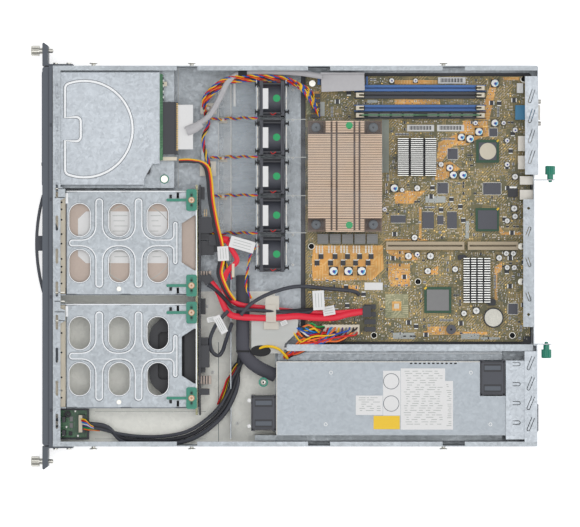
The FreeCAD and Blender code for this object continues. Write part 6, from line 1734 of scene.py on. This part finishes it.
@dataclass
class PowerSupply:
    """The power supply's bare labels, the painted light along its cover's edges, its rivets and slots, and
    fan caps.
    """

    top: float = 41.0
    seed: int = 3

    def build(self) -> None:
        """Add labels, painted edge lines, rivets, slots and fan caps."""
        self.labels()
        self.edge_light()
        self.fan_caps()

    def labels(self) -> None:
        """The stepped label with two printed rings, the yellow one, and rows of plain bars."""
        form = Form()
        high = (self.top, self.top + 0.15)
        form.box((129.5, 180.0), (104.8, 124.4), high, PAPER)
        form.box((126.8, 196.0), (124.8, 174.9), high, PAPER)
        form.box((141.0, 196.0), (174.9, 183.8), high, PAPER)
        form.box((157.5, 179.4), (74, 104.4), high, PAPER)
        form.box((180.4, 195.5), (94, 123.6), high, YELLOW_PAPER)
        for x in (141.4, 166.5):
            form.ring(x, 114, (8.4, 9.1), (high[1], high[1] + 0.06), SHADE, 32)
        form.piece("supply_labels", slot="supply_case")
        dice = random.Random(self.seed)
        rules = []
        for x0, x1, y0, y1, gap in ((130, 194, 128, 172, 2.6), (143, 194, 176, 182, 2.2),
                                    (160, 177, 77, 102, 2.4)):
            for step in range(int((x1 - x0) / gap)):
                start = y0 + dice.uniform(0, 4)
                while start < y1 - 3:
                    size = min(dice.uniform(2.0, 9.0), y1 - start)
                    rules.append((x0 + gap * step, start + size / 2, high[1], 0.0, 1.0, size, 1.0))
                    start += size + dice.uniform(1.0, 7.0)
        Repeat("supply_rules", rules, [slab(GREY_PAPER, 0.35, 0.5, (-0.02, 0.05))]).piece(
            slot="supply_case")

    def edge_light(self) -> None:
        """Painted highlight strips on two of the cover's edges and painted shade on the third, its four
        rivets, and the row of slots beside it, dark as painted shade.
        """
        form = Form()
        fold = (self.top - 0.2, self.top + 0.12)
        form.box((119.4, 201.8), (-15.7, -14.9), fold, SHELL_AND_GLINT)
        form.box((119.0, 119.8), (-15.7, 214), fold, SHELL_AND_GLINT)
        form.box((201.4, 202.2), (-15.7, 243), fold, SHADED_STEEL)
        for x, y in ((131.6, 46), (190, 40), (131.6, 204), (190, 226)):
            form.ring(x, y, (1.4, 2.1), (self.top, self.top + 0.1), WHITE_AND_GLINT)
        for index in range(11):
            form.pad((121.2, 136.5 + 5 * index), (0.8, 1.4), (self.top, self.top + 0.08), DEEP)
        form.piece("supply_seams", slot="supply_case")

    def fan_caps(self) -> None:
        """The black tops of the two fans, each with a rim and two bars, and the front fan's screws."""
        form = Form()
        rim = (self.top + 0.2, self.top + 0.6)
        wide, deep = 19.0, 13.5
        for x, y in ((177.4, -30.1), (137.8, 228.5)):
            form.pad((x, y), (wide, deep), (self.top, rim[0]), FAN_BLACK)
            for side in (-1, 1):
                form.pad((x + side * (wide - 0.8), y), (0.8, deep), rim, BLACK)
                form.pad((x, y + side * (deep - 0.8)), (wide, 0.8), rim, BLACK)
                bar = (x + side * 11.6, y)
                form.pad(bar, (4.6, deep - 3.4), (rim[0], self.top + 0.35), DARK_CHIP_AND_SHADE)
                form.pad(bar, (2.4, deep - 4.4), (self.top + 0.35, rim[1]), SLATE)
        form.piece("supply_fan_caps", slot="fan_plastic", bevel=0.15)
        heads = [(163, -46.4, 40.6), (192, -46.4, 40.6)]
        Repeat("supply_fan_screws", heads, [spun(WHITE_AND_GLINT, [(2.2, 0), (2.2, 0.8), (1.2, 1.2)], 14)]).piece(
            slot="nickel_steel")


@dataclass
class Twist:
    """A twisted bundle of thin wires along a route."""

    route: list[Spot]
    finishes: list[Finish]
    radius: float = 1.1
    wire: float = 0.75
    pitch: float = 15.0

    def lay(self, form: Form) -> None:
        """Add the bundle's wires to a form."""
        path = smooth(self.route)
        for index, finish in enumerate(self.finishes):
            line = strand(path, self.radius, self.pitch, 360 * index / len(self.finishes))
            form.tube(line, self.wire, finish, 6)


@dataclass
class Wiring:
    """Every cable inside the case, all held at both ends and lying on what is under it."""

    seed: int = 5
    bright: tuple[Finish, ...] = (WIRE_RED, WIRE_BLACK, WIRE_YELLOW, WIRE_BLUE)

    def build(self) -> None:
        """Lay the cables, the tags and the ties."""
        self.disk_cables()
        self.ribbon()
        self.panel()
        self.harness()
        self.fan_leads()
        self.ties()
        self.tags()

    def disk_cables(self) -> None:
        """Two flat red disk cables with black plugs."""
        form = Form()
        first = [(-17.4, -71, 36), (-8, -66.5, 37), (4.7, -60, 37.6), (13, -67, 37), (19.8, -72.4, 36),
                 (33.5, -75.8, 33), (44, -71, 32), (52, -64, 31.4), (56, -52, 31.4), (57.5, -40, 30),
                 (59, -26, 28.4), (61, -12, 26.4), (62.6, 4, 25), (64, 24, 24), (64.6, 46, 23),
                 (63.4, 66, 21.4), (62, 84, 19.4)]
        second = [(27, -92, 30), (34, -86, 31), (41.8, -80.7, 32), (52, -76.4, 33), (60, -73, 34),
                  (67, -66, 36), (69, -54, 36.4), (69.6, -42, 36.4), (70, -25.6, 36.2), (69, -6, 35.8),
                  (68, 8, 34), (70, 29.5, 29), (69.6, 50, 25), (65.6, 66, 23), (62.6, 84, 20.4)]
        for route, wide in ((first, 3.0), (second, 3.7)):
            form.cable(route, wide, RED, 10, 0.42)
            form.cable([(x, y, z + 0.5) for x, y, z in route], wide * 0.52, RED, 8, 0.5)
        form.cable([(-19, -77, 33), (-18.5, -73, 36), (-17.4, -70, 37.2)], 4.2, RED, 10, 0.6)
        form.box((22, 31), (-99, -88), (26, 33.6), BLACK, 35)
        form.box((56.4, 69), (82, 91.5), (12.5, 23), BLACK)
        form.box((-24, -12), (-92, -76), (28, 33), BLACK)
        form.box((-13.6, -4.6), (-89.6, -81), (16.6, 27.6), BLACK)
        form.piece("disk_cables", slot="red_cable", replaces=("data_cables",))

    def ribbon(self) -> None:
        """The grey ribbon, folded on itself, with its tie and its plug on the board."""
        form = Form()
        route = [(-143.4, -118, 37), (-146, -111, 37), (-151, -101, 37), (-159.2, -91, 37.4), (-170, -84, 37),
                 (-184, -77, 36), (-196, -71, 35.4), (-204.2, -62, 35), (-207.4, -50, 34.4),
                 (-208.2, -34, 34), (-208, -12, 34), (-207, 10, 33.4), (-205, 24, 33), (-203, 36, 33)]
        path = smooth(route)
        form.tube(path, 3.3, RIBBON, 12, 0.75)
        for side in (-1.5, 0.0, 1.5):
            form.tube([(x + side * 0.4, y + side, z + 1.9) for x, y, z in path], 0.85, RIBBON, 6)
        form.cable([(-140.6, -117, 36.6), (-143.6, -109, 37), (-150, -100.4, 37.6)], 5.0, RIBBON, 12, 0.5)
        form.box((-207.6, -186.6), (35, 84), (27.6, 29.2), RIBBON, 2)
        form.box((-207.6, -205.8), (34, 84), (27.6, 34), RIBBON)
        form.box((-203.4, -194.6), (34, 86), (17.6, 24), BLACK)
        form.box((-202, -196), (38, 82), (24, 27.8), RIBBON)
        form.box((-209.4, -203.2), (-58.8, -49), (30.6, 38.6), RUBBER)
        form.piece("grey_ribbon", slot="ribbon_skin", bevel=0.25, replaces=("ribbon_cable",))

    def panel(self) -> None:
        """The control panel's cables, three side by side along the right wall."""
        form = Form()
        base = [(206, -190), (209, -166), (208.6, -138), (203, -112), (190, -91), (174, -75), (156, -65),
                (140, -60)]
        for index, (radius, finish) in enumerate(((2.5, CABLE_GREY), (2.3, WIRE_BLACK), (2.1, CABLE_GREY))):
            shift = 4.9 * (index - 1)
            route = [(190 + 2 * index, -232.5, 17), (190.6 + 2 * index, -222, 17),
                     (196 + shift * 0.4, -207, 15)]
            route += [(x - shift * 0.9, y - shift * 0.5 - 2, 13 + 0.6 * index) for x, y in base]
            route += [(124 - shift, -56.5 + shift * 0.6, 10.5), (112, -54.5 + shift * 0.6, 10)]
            form.tube(smooth(route, 4.0), radius, finish, 10)
        for index, finish in enumerate((WIRE_YELLOW, WIRE_RED, WIRE_SKY, WIRE_WHITE, WIRE_VIOLET, WIRE_GREEN,
                                        WIRE_ORANGE)):
            start = (184.5 + 1.9 * index, -237 + 0.5 * index, 21.6)
            form.cable([start, (start[0] + 1, -232 + index * 0.6, 24), (192 + index * 0.8, -226, 20),
                        (195 + index * 0.5, -216, 15)], 0.8, finish, 6)
        form.piece("panel_cables", slot="black_cable", replaces=("panel_cable",))

    def harness(self) -> None:
        """Everything that leaves the power supply, as one piece, and the film cover over its bend."""
        dice = random.Random(self.seed)
        form = Form()
        self.trunks(form)
        self.loom(form, dice)
        self.stray(form, dice)
        for index, finish in enumerate((WIRE_BLACK, WIRE_YELLOW, WIRE_BLACK, WIRE_RED)):
            shift = 1.9 * index
            form.cable([(120 + shift, -60 - shift * 0.3, 14), (128 + shift, -66.0, 16),
                        (140, -69.5 - shift * 0.4, 18 + shift), (152, -73 - shift * 0.5, 16 + shift),
                        (168, -79 - shift * 0.6, 10)], 0.95, finish, 7)
        form.piece("power_cables", slot="black_cable", replaces=("power_harness",))
        self.film()

    def trunks(self, form: Form) -> None:
        """The woven sleeve, the cables that leave it, and the yellow arc beside it."""
        form.cable([(22.5, -54, 16), (40, -53.8, 20), (58, -53.6, 24), (76, -53.6, 27), (94, -53.8, 29),
                    (107, -53, 30), (118, -46, 30), (126, -36, 29), (132, -24, 27), (135, -17, 25)],
                   7.8, SLEEVE, 14, 0.62)
        form.box((106.6, 108.6), (-61.4, -46.2), (33.4, 35.4), DEEP)
        for finish, start, bend in ((WIRE_BLACK, -1.6, 34.0), (CABLE_GREY, 1.8, 33.0)):
            form.cable([(30.8 + start, -93.1, 30), (39.1, -83.4, 32), (50.1, -72.4, bend + 2),
                        (58.3, -64.1, 37), (61, -43.4, 37.6), (62.5, -11.8, 35), (62.5 + start, 15.6, 26),
                        (60, 30, 22)], 2.2, finish)
        form.cable([(66.6, -55.9, 38), (55.6, -46.2, 38.6), (45.9, -31.1, 37), (38.4, -11.8, 34),
                    (34.2, 10.2, 30), (36.3, 36.4, 24), (39.7, 70.8, 17), (44, 78, 13)], 2.2, CABLE_GREY)
        form.cable([(62, -70, 37), (72, -80, 34), (81.8, -86.2, 30), (95.6, -91, 26), (108, -88.6, 22),
                    (112.8, -81.5, 20), (107, -76.4, 20), (98, -73.6, 24), (88.6, -70.4, 30),
                    (76, -66, 36)], 2.2, CABLE_GREY)
        form.cable([(116, -43, 24), (108, -39.6, 30), (102.8, -31, 34), (102.2, -22, 36), (105.2, -13, 36),
                    (111, -6.8, 34), (116, -3, 30)], 1.5, WIRE_YELLOW, 8)

    def loom(self, form: Form, dice: random.Random) -> None:
        """The loose loom to the board's main socket, with its plug."""
        first_pin, pin_step, columns = 39, 4.1, (85.9, 80.7)
        skins = [WIRE_RED, WIRE_BLACK, WIRE_ORANGE, WIRE_RED, WIRE_GREEN, WIRE_SKY, WIRE_BLACK, WIRE_ORANGE,
                 WIRE_ORANGE, WIRE_YELLOW, WIRE_BLACK, WIRE_VIOLET, WIRE_RED, WIRE_GREY, WIRE_YELLOW,
                 WIRE_BLUE, WIRE_ORANGE, WIRE_BLACK, WIRE_RED, WIRE_BLACK]
        for index, finish in enumerate(skins):
            x, y = columns[index % 2], first_pin + pin_step * (index // 2)
            rise = dice.uniform(0, 6)
            form.cable([(114 + dice.uniform(-3, 3), -5 + dice.uniform(-3, 3), 26 + rise * 0.4),
                        (106 + dice.uniform(-4, 4), 2 + index * 0.5, 29 + rise),
                        (96 + dice.uniform(-5, 5), 12 + index * 1.4, 31 + rise),
                        (93 + dice.uniform(-5, 5), 0.5 * (22 + index + y), 32 + rise),
                        (x + dice.uniform(1, 7), y - 3, 34 + rise * 0.4), (x, y, 27)], 1.0, finish, 7)
        form.box((78, 88.6), (36.5, 78), (18.6, 28.4), CREAM_AND_GLINT)
        for index in range(10):
            form.pad((77.8, first_pin + pin_step * index), (0.4, 1.0), (19, 27), CREAM_AND_GLINT)

    def stray(self, form: Form, dice: random.Random) -> None:
        """Wires that leave the loom early."""
        for index, (finish, mid) in enumerate((
                (WIRE_RED, 92), (WIRE_YELLOW, 99), (WIRE_BLACK, 84), (WIRE_BLUE, 88), (WIRE_ORANGE, 96),
                (WIRE_VIOLET, 90), (WIRE_SKY, 86), (WIRE_WHITE, 94), (WIRE_ORANGE, 82), (WIRE_RED, 98),
                (WIRE_GREEN, 80), (WIRE_BLACK, 101), (WIRE_YELLOW, 86))):
            form.cable([(73 + index * 0.4, -14 + index * 1.5, 24), (76 + index * 0.7, -4 + index * 1.6, 30),
                        (mid - 4, 8 + index * 1.6, 33 + dice.uniform(-2, 2)), (mid, 20 + index, 31),
                        (mid + dice.uniform(-6, 4), 30 + index, 27)], 1.05, finish, 7)

    def film(self) -> None:
        """The frosted cover over the harness, with its dark oval opening in painted shade."""
        cover = Form()
        cover.prism([(66, -44), (66, 6), (72, 9), (86, 8), (99, -6), (110, -8), (110, -42), (104, -44)],
                    (33.2, 33.7), FROSTED)
        cover.piece("film_cover", slot="clear_film")
        opening = Form()
        ring = [(107.2 + 6.4 * math.sin(turn / 12 * math.pi), -33.5 + 11.6 * math.cos(turn / 12 * math.pi))
                for turn in range(24)]
        opening.prism(ring[::-1], (33.7, 33.9), DEEP)
        opening.piece("film_opening", slot="black_film")

    def fan_leads(self) -> None:
        """Twisted leads from the fans to their ties, the trunks along the fans, and on to the board."""
        form = Form()
        trio = [WIRE_RED, WIRE_BLUE, WIRE_YELLOW]
        for x in (-156.4, -112.6, -69.2, -26.4):
            Twist([(x, -37, 41), (x + 0.8, -45, 38), (x - 0.6, -54, 26), (x + 1.0, -62, 14),
                   (x - 0.8, -70, 9), (x + 2, -77, 10), (x + 0.6, -84, 16), (x + 1, -90, 22)], trio, 0.95,
                  0.7, 13).lay(form)
        Twist([(-12, -36, 40), (-4, -44, 36), (14, -48, 34), (34, -50, 37), (48, -44, 38)], trio, 0.9,
              0.65).lay(form)
        trunk = [(-169.6, -91, 24), (-162, -96, 22), (-149.5, -92.7, 22), (-133.6, -98.7, 24),
                 (-114.5, -95.5, 24), (-104.9, -92.3, 26), (-85.7, -90.7, 26), (-63.4, -89.1, 28),
                 (-44, -86, 30), (-26, -82, 32), (-8, -78, 34), (10, -73, 34), (26, -66, 32)]
        Twist(trunk, [WIRE_RED, WIRE_BLUE, WIRE_YELLOW, WIRE_BLACK], 1.3, 0.85, 22).lay(form)
        heavy = [(-109, -126, 31), (-109.4, -116, 31.6), (-108.6, -108, 31), (-106, -98, 30),
                 (-100, -91.6, 30), (-86, -88.6, 31), (-63, -86.5, 32), (-36, -81.6, 35), (-14, -76.4, 37),
                 (4, -75, 37.6), (20, -77, 36), (38, -70, 34), (50, -62, 32)]
        bend = -104
        for index, finish in enumerate((WIRE_YELLOW, WIRE_RED, WIRE_BLACK, WIRE_BLACK)):
            shift = 1.8 * index
            form.cable([(x + shift * 0.5, y, z) if y < bend else (x, y - shift, z) for x, y, z in heavy],
                       1.15, finish, 7)
        wall = [(-168.7, -98.6, 26), (-178, -98, 28), (-186, -93, 31), (-194, -84, 34), (-200, -74, 36),
                (-203.0, -60, 37), (-203.6, -40, 37.6), (-203, -20, 37.4), (-201, -4, 36), (-196, 8, 33)]
        for index, finishes in enumerate(([WIRE_RED, WIRE_BLUE, WIRE_YELLOW],
                                          [WIRE_BLACK, WIRE_RED, WIRE_ORANGE],
                                          [WIRE_YELLOW, WIRE_RED, WIRE_BLUE])):
            Twist([(x + 2.6 * index, y + 1.4 * index, z - 1.6 * index) for x, y, z in wall], finishes, 1.0,
                  0.75, 17).lay(form)
        for index in range(5):
            end = (-182 + 5.8 * index, 27 + 1.5 * index, 17.2)
            Twist([(-197 + index, 6, 34 - index), (-193 + 1.6 * index, 14, 32), (-189 + 3 * index, 21, 27),
                   end], [self.bright[index % 4], WIRE_BLUE, WIRE_YELLOW], 0.9, 0.7, 12).lay(form)
        form.piece("fan_leads", slot="black_cable")

    def ties(self) -> None:
        """The nylon saddles and ties that hold the leads down."""
        ties = Form()
        for x0, x1, y0, y1, z in ((-173.5, -160.7, -101.8, -83.5, 22), (-107.3, -90.5, -102.6, -84.0, 22)):
            ties.box((x0, x1), (y0, y1), (z - 1, z), NATURAL)
            ties.lathe(((x0 + x1) / 2, (y0 + y1) / 2, z), [(3.4, 0), (3.0, 5.0), (1.6, 8.4)], NATURAL, "Z",
                       12)
        for x in (-154.4, -110.4, -67.4):
            ties.box((x - 3.4, x + 3.6), (-81, -71.4), (1.7, 4.0), NATURAL)
            ties.box((x - 2.0, x + 2.0), (-78, -74.6), (4.0, 11.6), NATURAL)
        ties.box((-122, -104), (-101, -97), (2, 22), STEEL)
        for x, y, z in (((45, 62), (-28.4, -12.6), 35.8), ((55, 74.6), (-27.6, -16), 37.4),
                        ((74, 83), (-30, -13), 34.8)):
            ties.box(x, y, (z, z + 0.8), NATURAL)
        ties.piece("cable_ties", slot="latch_plastic", bevel=0.3)

    def tags(self) -> None:
        """White tags that fold round the cables, laid here as flat plates with plain bars only."""
        form = Form()
        for x0, x1, y0, y1, z, turn in (
                (-19.5, -6.5, -68.5, -40.0, 40.2, -16), (-11, 5.4, -82, -69.6, 39.6, 4),
                (39, 61, 25.5, 38.5, 34.6, 3), (56.6, 67, 37, 50.5, 28.2, 10),
                (68.6, 74.4, -94, -83.4, 36.4, 12), (66.6, 88, -83, -74.6, 38.0, 28),
                (73, 78, -10.8, -3.4, 36.4, 24)):
            form.box((x0, x1), (y0, y1), (z, z + 0.35), PAPER, turn)
            middle = ((x0 + x1) / 2, (y0 + y1) / 2)
            wide, deep, lean = x1 - x0, y1 - y0, turn
            if wide >= deep:
                wide, deep, lean = deep, wide, turn + 90
            for step in (-1, 0, 1):
                across, along = turned(step * wide / 4, 0.0, lean)
                form.pad((middle[0] + across, middle[1] + along), (0.3, deep * 0.36), (z + 0.35, z + 0.4),
                         GREY_PAPER, lean)
        form.piece("cable_tags", slot="latch_plastic", bevel=0.1)


# ---------------------------------------------------------------------------
# Studio
# ---------------------------------------------------------------------------


@dataclass
class Studio:
    """The floor, the lamps, the world and the camera over the open case."""

    distance: float = 6.0
    view_width: float = 0.6594
    centre: tuple[float, float] = (0.0084, -0.0003)
    sensor: float = 36.0
    aim: Spot = (0.0, 0.0, 0.02)
    lamps: tuple[tuple[str, Spot, float, float], ...] = (
        ("overhead", (0.1, 0.2, 2.7), 2.4, 34.0), ("rear_side", (-0.3, 2.6, 1.3), 1.8, 20.0),
        ("front_side", (-0.6, -2.4, 1.6), 1.6, 12.0))

    def build(self) -> None:
        """Set the stage."""
        self.floor()
        self.world()
        for lamp in self.lamps:
            self.lamp(*lamp)
        data = bpy.data.cameras.new("over_case")
        data.sensor_width = self.sensor
        data.lens = self.sensor * self.distance / self.view_width
        data.clip_end = 30.0
        camera = placed("over_case", data)
        camera.location = (*self.centre, self.distance)
        camera.rotation_euler = (0.0, 0.0, math.pi / 2)
        bpy.context.scene.camera = camera
        bpy.context.scene.view_settings.view_transform = "Standard"

    def floor(self) -> None:
        """A wide pale floor that the camera sees as white."""
        mesh = bpy.data.meshes.new("studio_floor")
        reach = 8.0
        mesh.from_pydata([(-reach, -reach, 0), (reach, -reach, 0), (reach, reach, 0), (-reach, reach, 0)], [],
                         [(0, 1, 2, 3)])
        paper = bpy.data.materials.new("studio_paper")
        paper.use_nodes = True
        web = Web(paper.node_tree)
        shader = paper.node_tree.nodes["Principled BSDF"]
        shader.inputs["Base Color"].default_value = (0.82, 0.82, 0.82, 1.0)
        shader.inputs["Roughness"].default_value = 0.9
        rays = web.add("ShaderNodeLightPath")
        seen = web.sum("MAXIMUM", rays.outputs["Is Camera Ray"], rays.outputs["Is Glossy Ray"])
        web.join(web.sum("MULTIPLY", seen, 0.6), shader.inputs["Emission Strength"])
        shader.inputs["Emission Color"].default_value = (1.0, 1.0, 1.0, 1.0)
        mesh.materials.append(paper)
        thing = placed("studio_floor", mesh)

    def world(self) -> None:
        """Even pale light from all round."""
        world = bpy.data.worlds.new("studio")
        world.use_nodes = True
        back = world.node_tree.nodes["Background"]
        back.inputs["Color"].default_value = (0.95, 0.97, 1.0, 1.0)
        back.inputs["Strength"].default_value = 0.42
        bpy.context.scene.world = world

    def lamp(self, name: str, place: Spot, size: float, power: float) -> None:
        """Hang a square soft lamp, aimed at the case.

        Args:
            name: The lamp's name.
            place: Where it hangs, in metres.
            size: Its side in metres.
            power: Its power in watts.
        """
        data = bpy.data.lights.new(name, "AREA")
        data.shape = "SQUARE"
        data.size = size
        data.energy = power
        lamp = placed(name, data)
        lamp.location = place
        lamp.rotation_euler = (Vector(self.aim) - Vector(place)).to_track_quat("-Z", "Y").to_euler()


def main() -> None:
    """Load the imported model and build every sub-assembly."""
    logging.basicConfig(level=logging.INFO, format="%(name)s: %(message)s")
    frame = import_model()
    nodes = frame["nodes"]
    uneven_group()
    spangle_group()
    traces_group()
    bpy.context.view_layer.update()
    dress_all(nodes)
    for part in (Chassis(), FrontPanel(), OpticalBay(), DriveBays(), Backplane(), FanRow(), MainBoard(nodes),
                 PowerSupply(), Wiring(), Studio()):
        LOG.info("building %s", type(part).__name__)
        part.build()


if __name__ == "__main__":
    main()
